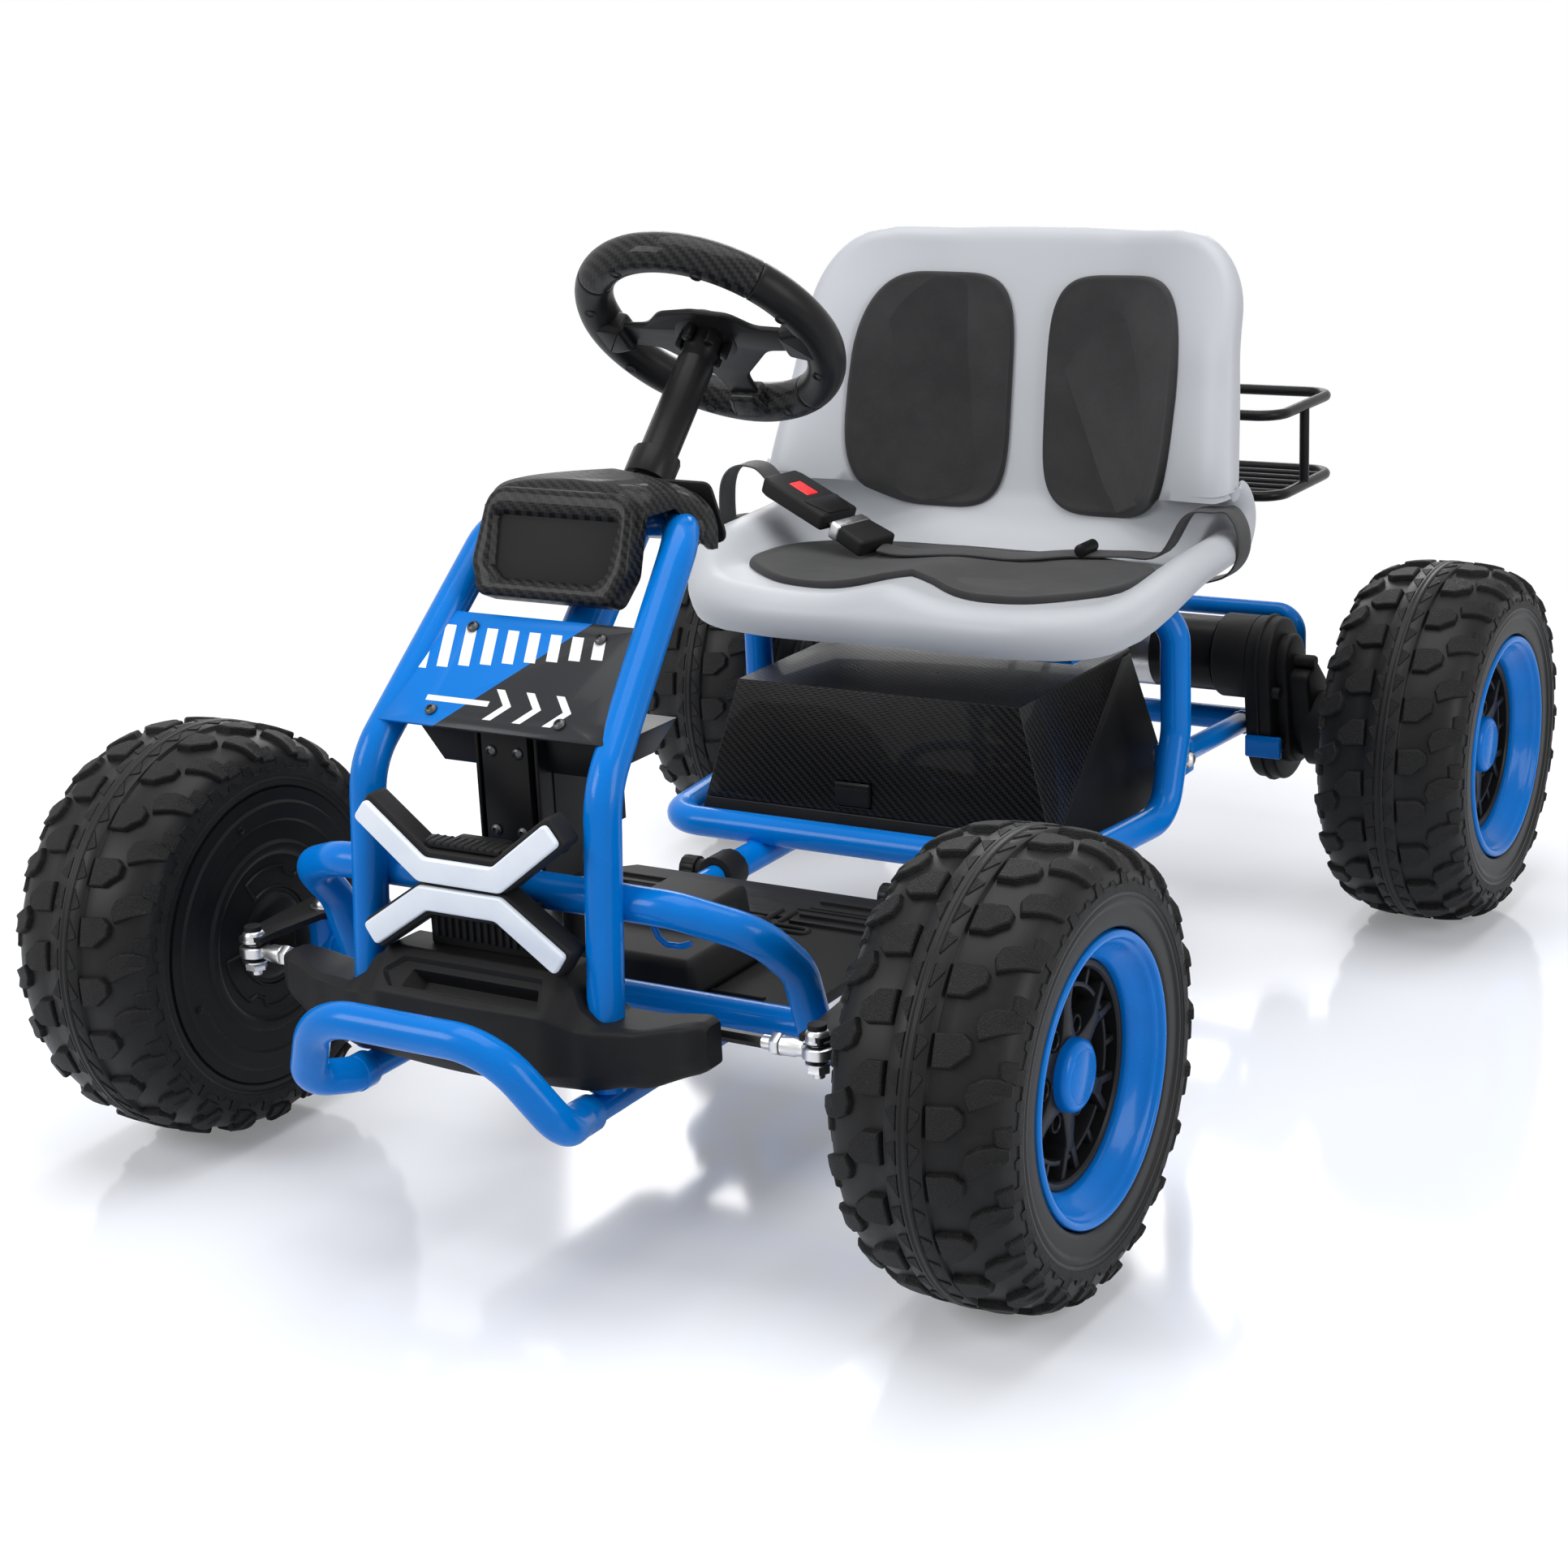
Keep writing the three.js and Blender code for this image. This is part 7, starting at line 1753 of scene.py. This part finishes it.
def pan_screw(shape, at, way, radius, depth):
    """A domed screw head with a round well in it."""
    head = [(0, radius), (depth * 0.45, radius * 0.98), (depth * 0.8, radius * 0.8), (depth, radius * 0.5),
            (depth * 0.55, radius * 0.42), (depth * 0.5, 0)]
    shape.add(Shape().turned(head, (0, 0, 0), (0, 0, 1), 20), facing(at, way))


dress_refined("printed_front_plate", "front_plate", plate_print(), 0.6, 2)
plate_screws = Shape()
for x in (-53, 53):
    for rise in (12, 82):
        pan_screw(plate_screws, Vector((x, -503, 369)) + PLATE_UP * rise + PLATE_OUT * 2.0, PLATE_OUT, 4.4, 2.8)
detail("plate_screws", plate_screws, dark_steel, "front_plate", 30, slot="black_steel")
print("front plate and its screws done")

# %% Cowl: a deep face frame, a wrapping roof and a back wall
face_up = Vector((0, 30, 70)).normalized()
face_out = Vector((0, -70, 30)).normalized()
face_place = move(0, -430, 445) @ Matrix((
    (1, 0, 0, 0), (0, face_up.y, face_out.y, 0), (0, face_up.z, face_out.z, 0), (0, 0, 0, 1)))
FACE = [(-56, -1), (56, -1), (65, 22), (61, 76), (-61, 76), (-65, 22)]
bezel_outer = rounded_outline(FACE, [9, 9, 16, 19, 19, 16], 8)


def face_half():
    """The right half of the face's outline, from the middle of its top to its lower corner, in even steps."""
    right = [Vector(p) for p in bezel_outer if p[0] > 0]
    right.sort(key=lambda p: atan2(p.x, p.y - 36))
    path = [Vector((0, 76))] + right[:-1]
    lengths = [0.0]
    for a, b in zip(path, path[1:]):
        lengths.append(lengths[-1] + (b - a).length)

    def at(share):
        want = share * lengths[-1]
        for i in range(1, len(path)):
            if want <= lengths[i] or i == len(path) - 1:
                part = (want - lengths[i - 1]) / max(lengths[i] - lengths[i - 1], 1e-6)
                return path[i - 1].lerp(path[i], min(part, 1))
    return at


def cowl_skin(columns=18, rows=44):
    """It starts as the face's outline and turns into a roof whose edges arch over the mast tube."""
    crown_marks = ([(0, -398), (1, -320)], [(0, 515), (0.25, 520), (0.6, 519.5), (1, 511)])
    shoulder = ([(0, 60), (0.3, 66), (0.7, 67), (1, 60)], [(0, 515), (0.3, 519), (1, 508)])
    edge = ([(0, 58), (0.14, 62), (0.3, 65), (0.62, 70), (0.82, 80), (1, 78)],
            [(0, -426), (0.14, -414), (0.3, -400), (0.6, -368), (0.75, -352), (1, -330)],
            [(0, 446), (0.12, 450), (0.26, 488), (0.38, 499), (0.6, 500), (0.8, 472), (0.9, 466), (1, 465)])
    outline = face_half()
    rings = []
    for r in range(rows + 1):
        v = r / rows
        crown = Vector((0, blend_marks(crown_marks[0], v), blend_marks(crown_marks[1], v)))
        foot = Vector([blend_marks(marks, v) for marks in edge])
        corner_y = crown.y * 0.8 + foot.y * 0.2
        corner = Vector((blend_marks(shoulder[0], v), corner_y, blend_marks(shoulder[1], v)))
        outer = Vector((max(corner.x, foot.x) + 3, crown.y * 0.4 + foot.y * 0.6, mix(corner.z, foot.z, 0.3)))
        share = smooth_step(v / 0.24)
        half = []
        for c in range(columns + 1):
            u = c / columns
            w = 1 - u
            bent = crown * w ** 3 + corner * (3 * u * w ** 2) + outer * (3 * u * u * w) + foot * u ** 3
            flat = outline(u)
            half.append((face_place @ Vector((flat.x, flat.y, -0.6 - 34 * v))).lerp(bent, share))
        rings.append([Vector((-p.x, p.y, p.z)) for p in reversed(half[1:])] + half)
    return Shape().grid(rings)


cowl_wall = {"thickness": 0.0035, "offset": -1}
cowl_edge = {"width": 0.001, "segments": 2, "angle_limit": radians(50)}
cowl_mesh = smooth(worked(cowl_skin().mesh("cowl_skin", 60), ("SOLIDIFY", cowl_wall), ("BEVEL", cowl_edge)), 45)
dress("cowl_cover", cowl_mesh, cowl_weave, "cowl_shell")
WINDOW = [(-39, 9), (39, 9), (50, 19), (54, 60), (-54, 60), (-50, 19)]
bezel_mid = rounded_outline(WINDOW, [5, 5, 6, 7, 7, 6], 8)
bezel = Shape()
levels = ((bezel_outer, 0, -15), (bezel_outer, 0, -1.0), (bezel_outer, 0.6, 1.6), (bezel_outer, 2.2, 3.6),
          (bezel_outer, 4.6, 4.6), (bezel_mid, 0, 4.2), (bezel_mid, 1.2, 3.2), (bezel_mid, 4.2, -3.5))
bezel.rings([[face_place @ Vector((*q, height)) for q in outline_inset(outline, inset)]
             for outline, inset, height in levels], caps=False)
detail("cowl_bezel", bezel, cowl_weave, "cowl_shell", 40)
panel = Shape().plate(outline_inset(bezel_mid, 2.6), 1.6, face_place @ move(0, 0, -3.6), 0.6, 3)
dress("cowl_screen", panel, screen_black, "cowl_panel", 40)
back_wall = slab([(-80, 466), (80, 466), (66, 509), (-66, 509)], 9, 5, 3, move(0, -316, 0) @ FACE_ON, 1.2)
switch_gap = soft_block((24.6, 20, 16.6), (46, -317, 490), 1)
back_mesh = carved(back_wall.mesh("cowl_back"), [switch_gap], 40)
detail("cowl_back_wall", back_mesh, satin_black, "cowl_shell")
COLLAR = [(0, 12.4), (0, 17.4), (13, 17.4), (14.6, 16.2), (14.6, 12.4)]
collar = Shape().turned(COLLAR, down_column(158), COLUMN_UP, 40)
detail("column_collar", collar, satin_black, "cowl_shell", 40)
dress_refined("rocker_switch", "drive_switch", satin_black, 0.8)
print("cowl ready")

# %% [markdown]
# ## Column housing, footboard and pedal
# The column drops into a narrow moulded housing between the mast tubes. The footboard is a moulded tray with
# raised lines that a foot can't slide on, and the pedal stands on a rounded pod. Their solids already have the
# right planes, so a Bevel modifier rounds the edges, and the side plates, lines and screws are further pieces.

# %% Column housing with its screws
dress_refined("column_housing", "column_shroud", satin_black, 2.2, 3, 24)
housing_screws = Shape()
for x in (-11, 11):
    for z in (352, 296):
        pan_screw(housing_screws, (x, -487.0, z), (0, -1, 0), 4.2, 2.6)
flanks = Shape()
FLANK = [(-486, 262), (-486, 374), (-440, 392), (-402, 400), (-402, 374), (-418, 340), (-444, 256)]
for side in (1, -1):
    flanks.plate(rounded_outline(FLANK, 6, 4), 3, along_x(23, side), 1.2, 3)
detail("column_housing_sides", flanks, satin_black, "column_shroud", 40)
detail("housing_screws", housing_screws, dark_steel, "column_shroud", 30, slot="black_steel")
print("column housing ready")

# %% Footboard, motor pod and pedal
dress_refined("foot_board", "footboard", matt_black, 1.2, 3, 28)
beads = Shape()
for side in (1, -1):
    loop = ((30, -190), (30, -232), (74, -232), (74, -222), (42, -222), (42, -190))
    beads.tube(filleted([(side * x, y, 149.4) for x, y in loop], 5, 5), 2.2, 10)
    for y in (-182, -362, -376):
        beads.tube([(side * 40, y, 149.2), (side * 118, y, 149.2)], 2.0, 10)
detail("board_beads", beads, matt_black, "footboard", 40)
dress_refined("pod_cover", "pedal_pod", matt_black, 6.0, 4, 20)
dress_refined("foot_pedal", "accelerator_pedal", satin_black, 1.4, 3, 28)
print("board, pod and pedal ready")

# %% [markdown]
# ## Battery box
# A tapered tub with a big woven-print hood that slides off its front. Both are smooth shells with generous
# edges, so the solids' own planes are kept and their edges are rounded. A bar latch turns at the hood's foot.

# %% Box, hood, latch and battery
dress_refined("battery_tub", "battery_box", satin_black, 5.0, 4, 22)
dress_refined("hood_cover", "battery_hood", hood_weave, 6.0, 5, 22)
dress_refined("battery_cell", "battery", label_grey, 3.0, 3, 28, slot="black_plastic")
dress_refined("latch_turn", "hood_latch", satin_black, 1.2, 3, 28)
print("box ready")

# %% [markdown]
# ## Seat bracket, clamp collars and knobs
# A blue pressed tray holds the seat. Under it, a collar on each rail is clamped by a knob, which sets how long
# the kart is. A knob's grip is a plate whose outline is a circle with a cosine added, so its lobes are even.

# %% Seat bracket, clamp collars and knobs
dress_refined("under_seat_tray", "seat_bracket", blue, 3.0, 4, 24)
LIP = [(-100, 96, 316), (-88, 76, 302), (88, 76, 302), (100, 96, 316)]
tray_lip = Shape().tube(filleted(LIP, 14, 6), 5.5, 20)
detail("tray_lip", tray_lip, blue, "seat_bracket", 40)
for side, hand in HANDS:
    dress_refined("collar_" + hand, "clamp_collar_" + hand, matt_black, 1.6, 3, 30)
    knob = Shape()
    lobes = [(10.4 + 0.9 * cos(8 * a), a) for a in turns(72)]
    at = Vector((side * RAIL_X - 23, -79.3, RAIL_Z))
    outline = [(r * cos(a), r * sin(a)) for r, a in lobes]
    knob.plate(outline, 12.6, Matrix.Translation(at) @ spin(-90, "Y"), 1.8, 3)
    knob.turned([(12, 6), (13.8, 5.4), (14, 0)], at, (-1, 0, 0), 24)
    detail("knob_" + hand, knob, satin_black, "clamp_knob_" + hand, 40)
    dress_refined("knob_stem_" + hand, "clamp_knob_" + hand, satin_black, 0.6)
print("collars ready")

# %% [markdown]
# ## Motors and gearboxes
# Each rear wheel has a can motor beside a two-lobed gearbox. The can is turned, with a bright end cap and a
# plain grey band. The gearbox is a plate shape with rounded edges, and its cover, screw bosses and axle boss
# sit on it.

# %% Drives
MOTOR_AT = (400.0, 225.0)
AXLE_AT = (REAR_AXLE_Y, AXLE_Z)


def two_lobes(motor_r, axle_r, grow=0.0):
    """The outline that wraps a circle round the motor and one round the axle."""
    a, b = Vector(MOTOR_AT), Vector(AXLE_AT)
    away = b - a
    lean = acos((motor_r - axle_r) / away.length)
    heading = atan2(away.y, away.x)
    ring = []
    for centre, radius, start, stop in ((a, motor_r, heading + lean, heading + 2 * pi - lean),
                                        (b, axle_r, heading - lean, heading + lean)):
        for k in range(21):
            t = start + (stop - start) * k / 20
            ring.append((centre.x + (radius + grow) * cos(t), centre.y + (radius + grow) * sin(t)))
    return ring


CAN = [(69, 0), (69, 32.4), (70, 33.6), (71.5, 33.9), (149.4, 33.9), (149.4, 0)]
END_CAP = [(58.4, 0), (58.4, 9), (59.5, 10), (62, 10.4), (62, 26), (63, 31), (65, 33), (69.2, 33.6), (69.2, 0)]
HUMP = [(384, 214), (410, 224), (440, 196), (446, 150), (420, 128), (396, 160)]
for side, hand in HANDS:
    way = (side, 0, 0)
    middle = (0, *MOTOR_AT)
    dress("motor_can_" + hand, Shape().turned(CAN, middle, way, 56), part_black, "motor_" + hand, 40)
    cap = Shape().turned(END_CAP, middle, way, 56)
    detail("motor_end_" + hand, cap, bright_steel, "motor_" + hand, 40, slot="zinc")
    band = Shape().loop_turned([(71, 34.0), (71, 34.25), (90, 34.25), (90, 34.0)], middle, way, 56)
    detail("motor_band_" + hand, band, zinc, "motor_" + hand, 40, slot="zinc")
    box = Shape().turned([(151, 34.5), (152, 37), (154, 38), (184, 38)], middle, way, 56)
    box.plate(two_lobes(38, 50), 25, along_x(183, side), 3, 4)
    box.plate(two_lobes(38, 50, 2.2), 3.2, along_x(194, side), 1, 2)
    box.plate(two_lobes(24, 34), 12, along_x(207, side), 3, 3)
    box.plate(rounded_outline(HUMP, 8, 5), 24, along_x(212, side), 3, 3)
    box.turned([(230, 34), (250, 34), (259, 32), (261.6, 28)], (0, *AXLE_AT), way, 48)
    for place in ((400, 225), (433, 188), (382, 150), (374, 200), (452, 128)):
        box.turned([(205, 5.6), (213, 5.4), (214.4, 4.4), (214.4, 0)], (0, *place), way, 20)
    box.turned([(214, 6), (236, 6), (238, 5)], middle, way, 24)
    dress("gear_case_" + hand, box, matt_black, "gearbox_" + hand)
    clip = soft_block((34, 6, 20), (side * 201, 367, 151), 2)
    clip.add(soft_block((8, 34, 8), (side * 196, 384, 156), 2))
    detail("gear_clip_" + hand, clip, blue, "rear_subframe", 40)
print("drives ready")

# %% [markdown]
# ## Lap belt
# The webbing is a flat ribbon, drawn station by station along its route over the pad, round the seat's rim and
# back under it. Cloth simulation would let it slide off its line, so it's modelled directly: each station has
# a centre and a width, and a UV map in metres runs with the ribbon so that the weave follows every turn.

# %% Ribbons with a weave
def smooth_path(points, per):
    """A Catmull-Rom line through the points."""
    points = [Vector(p) for p in points]
    full = [points[0] * 2 - points[1]] + points + [points[-1] * 2 - points[-2]]
    line = []
    for a, b, c, d in zip(full, full[1:], full[2:], full[3:]):
        for t in (k / per for k in range(per)):
            square, cube = 2 * a - 5 * b + 4 * c - d, 3 * b - a - 3 * c + d
            line.append(0.5 * (2 * b + (c - a) * t + square * t ** 2 + cube * t ** 3))
    return line + [points[-1]]


def webbing_strip(path):
    """A webbing strip along a path with slim selvedges, and its own UV map in metres."""
    steps = 8
    spread = [-1 + 2 * k / steps for k in range(steps + 1)]
    lengths = [0.0]
    for a, b in zip(path, path[1:]):
        lengths.append(lengths[-1] + (b - a).length)

    def half_thick(t):
        return BELT_T / 2 * (1 - 0.45 * abs(t) ** 6)

    rings = []
    for i, p in enumerate(path):
        along = heading(path, i)
        wide = Vector((0, 1, 0))
        wide = (wide - along * wide.dot(along)).normalized()
        up = along.cross(wide).normalized()
        upper = [p + wide * (t * BELT_W / 2) + up * half_thick(t) for t in spread]
        rings.append(upper + [p + wide * (t * BELT_W / 2) - up * half_thick(t) for t in reversed(spread)])
    mesh = Shape().rings(rings).mesh("webbing", 55)
    count = 2 * (steps + 1)
    layer = mesh.uv_layers.new(name="webbing")
    for loop in mesh.loops:
        station, k = divmod(loop.vertex_index, count)
        t = (k if k <= steps else count - 1 - k) / steps
        layer.data[loop.index].uv = (t * BELT_W / 1000, lengths[min(station, len(lengths) - 1)] / 1000)
    return mesh


BELT_W, BELT_T, OVER_PAD = 26, 2.4, 9
BUCKLE = move(-158, 190, 388) @ spin(-12, "Z") @ spin(21, "Y")


def above_seat(x, y, off):
    return on_pan(x, y, 0) + Vector((0, 0, off))


rim_place = seat_point(1, run_at_depth(230))
route = [BUCKLE @ Vector((90, 0, -2))]
route += [above_seat(x, y, OVER_PAD) for x, y in ((-52, 178), (0, 186), (45, 194), (82, 222), (128, 236))]
route += [above_seat(166, 230, OVER_PAD + 5), above_seat(190, 230, 36)]
route += [rim_place + Vector(step) for step in ((0, 0, 20), (12, 2, 19), (20, 4, 4), (19, 8, -18), (6, 12, -36),
                                                (-20, 16, -46))]
belt_path = smooth_path(route, 7)
dress("belt_strap_left", webbing_strip(belt_path), webbing, "belt_left")
hem = above_seat(96, 226, OVER_PAD + 5)
hem_path = [hem + Vector((0, y, 0)) for y in (-13.2, -12.6, 12.6, 13.2)]
hem_roll = Shape().tube(hem_path, [4.6, 5.6, 5.6, 4.6], 24)
detail("belt_hem_roll", hem_roll, satin_black, "belt_left", 40, slot="black_plastic")
loop_start = BUCKLE @ Vector((-42, 0, 0))
loop = ((0, 0, 0), (-14, 0, 11), (-30, -6, 12), (-40, -12, 2), (-43, -14, -20), (-42, -14, -62))
loop_path = smooth_path([loop_start + Vector(step) for step in loop], 8)
dress("belt_strap_right", webbing_strip(loop_path), webbing, "belt_right")
print("belt strap length:", round(sum((b - a).length for a, b in zip(belt_path, belt_path[1:]))), "mm")

# %% Buckle, press button and tongue
CASE = [(-39, -20), (-30, -23), (39, -23), (39, 23), (-30, 23), (-39, 20)]
case = slab(CASE, [4, 6, 4, 4, 6, 4], 4, 15.8, BUCKLE @ move(0, 0, -8), 3, 4)
well = Shape().plate(box_outline(24.8, 15.8, 1.2, 3, -8, 0), 12, BUCKLE @ move(0, 0, 0.4))
mouth = Shape().plate(box_outline(36, 30, 1, 3, 39, 0), 4, BUCKLE @ move(0, 0, -4))
dress("buckle_case", carved(case.mesh("buckle"), [well, mouth], 32), matt_black, "buckle")
ridge = slab([(12, -21), (38, -14), (38, 14), (12, 21)], 3, 3, 1.4, BUCKLE @ move(0, 0, 7.6), 0.6, 2)
detail("buckle_ridge", ridge, satin_black, "buckle", 30)
button = Shape().plate(box_outline(24, 15, 1.6, 4, -8, 0), 5, BUCKLE @ move(0, 0, 3), 0.9, 3)
dress("press_button", button, red_finish, "buckle_button", 40)
tongue = slab([(47, -20), (87, -23), (87, 23), (47, 20)], 4, 4, 15, BUCKLE @ move(0, 0, -9.5), 3, 4)
detail("tongue_body", tongue, matt_black, "belt_tongue", 40, slot="black_plastic")
BLADE = [(25.5, -11), (28, -13.5), (48, -13.5), (48, 13.5), (28, 13.5), (25.5, 11)]
blade = slab(BLADE, 2, 3, 2.4, BUCKLE @ move(0, 0, -3.2), 0.5, 2)
SHOULDER = [(45.6, -20.6), (58, -21.4), (58, 21.4), (45.6, 20.6)]
blade.add(slab(SHOULDER, 3, 4, 15.8, BUCKLE @ move(0, 0, -9.9), 2.4, 3))
dress("tongue_blade", blade, zinc, "belt_tongue", 40)
print("buckle ready")

# %% [markdown]
# ## Floor, light and camera
# The kart stands on a pale, faintly glossy sheet in a white studio. The floor must read as pure white around
# the kart and still keep its shadow, so it shows white to camera rays only where nothing shades it, by way of
# a Mix Shader. The world gives white to camera, glossy and transmission rays, and a softer grey light to the
# rest.

# %% Floor and white surround
def seen_rays(nodes):
    """1 for a ray from the camera, or one that a mirror or a clear shell sends on."""
    ray = nodes.add("LightPath").socket.node
    seen = [Wire(nodes, ray.outputs["Is " + kind + " Ray"]) for kind in ("Camera", "Glossy", "Transmission")]
    return seen[0].math("MAXIMUM", seen[0].math("MAXIMUM", seen[0], seen[1]), seen[2])


def add_floor(reach=9.0):
    mesh = bpy.data.meshes.new("studio_floor")
    corners = [(-reach, -reach, 0), (reach, -reach, 0), (reach, reach, 0), (-reach, reach, 0)]
    mesh.from_pydata(corners, [], [(0, 1, 2, 3)])
    floor = linked("studio_floor", mesh)
    f = Finish("pale_studio_floor", {"Base Color": (0.80, 0.82, 0.87, 1), "Roughness": 0.1, "IOR": 1.6})
    x, y, z = f.axes()
    away = (x * x + y * y).math("SQRT", x * x + y * y)
    plain = Wire(f, f.shader.outputs[0])
    white = f.add("Emission", {"Color": (1, 1, 1, 1), "Strength": 1.0})
    glow = f.add("Emission", {"Color": (1, 1, 1, 1), "Strength": 0.2})
    lifted = f.add("AddShader", {0: plain, 1: glow})
    far = f.add("MixShader", {0: away.between(0.75, 1.9), 1: lifted, 2: white})
    last = f.add("MixShader", {0: seen_rays(f), 1: plain, 2: far})
    f.feed(f.tree.nodes["Material Output"].inputs["Surface"], last)
    mesh.materials.append(f.material)


def add_surround():
    world = bpy.data.worlds.new("white_studio")
    w = Finish("white_studio", {"Color": (0.93, 0.95, 1.0, 1), "Strength": 0.27}, world)
    white = w.add("Background", {"Color": (1, 1, 1, 1), "Strength": 1.0})
    blend = w.add("MixShader", {0: seen_rays(w), 1: Wire(w, w.shader.outputs[0]), 2: white})
    w.feed(w.tree.nodes["World Output"].inputs["Surface"], blend)
    bpy.context.scene.world = world


add_floor()
add_surround()
print("floor and surround ready")

# %% [markdown]
# Soft boxes from above, from the front, from the right and from behind do what the studio's lamps did: long,
# soft highlights along the blue tubes and a bright rim on the seat. Area lamps are the plain choice for that,
# and each is aimed with a rotation from its place to the kart's middle.

# %% Lamps
def soft_box(name, place, aim, size, power):
    data = bpy.data.lights.new(name, "AREA")
    data.shape = "RECTANGLE"
    data.size, data.size_y = size
    data.energy = power
    lamp = linked(name, data)
    lamp.location = place
    lamp.rotation_euler = (Vector(aim) - Vector(place)).to_track_quat("-Z", "Y").to_euler()


soft_box("top_box", (0.0, -0.2, 2.7), (0, 0, 0.2), (2.0, 2.4), 54)
soft_box("key_box", (-1.7, -2.5, 1.9), (0, -0.1, 0.3), (1.3, 1.3), 47)
soft_box("side_box", (2.7, -0.6, 1.3), (0, 0, 0.25), (1.2, 1.6), 34)
soft_box("back_box", (-1.2, 2.6, 1.7), (0, 0.1, 0.4), (1.8, 1.0), 26)
print("four soft boxes")

# %% Camera
def add_camera():
    """The photograph's view: its place and roll were solved from the wheels, the seat and the tubes."""
    data = bpy.data.cameras.new("photo_camera")
    data.lens = 66.385
    data.sensor_width = 36.0
    camera = linked("photo_camera", data)
    around, above, roll = radians(31.578), radians(16.434), radians(-2.655)
    back = Vector((sin(around) * cos(above), -cos(around) * cos(above), sin(above)))
    right = (-back).cross(Vector((0, 0, 1))).normalized()
    up = right.cross(-back)
    side = right * cos(roll) + up * sin(roll)
    top = up * cos(roll) - right * sin(roll)
    turn = Matrix((side, top, back)).transposed().to_4x4()
    camera.matrix_world = move(1.14045, -2.00786, 0.87331) @ turn
    bpy.context.scene.camera = camera


add_camera()
bpy.context.scene.view_settings.view_transform = "Standard"
print("camera placed")

# %% Close the scene
bpy.context.view_layer.update()
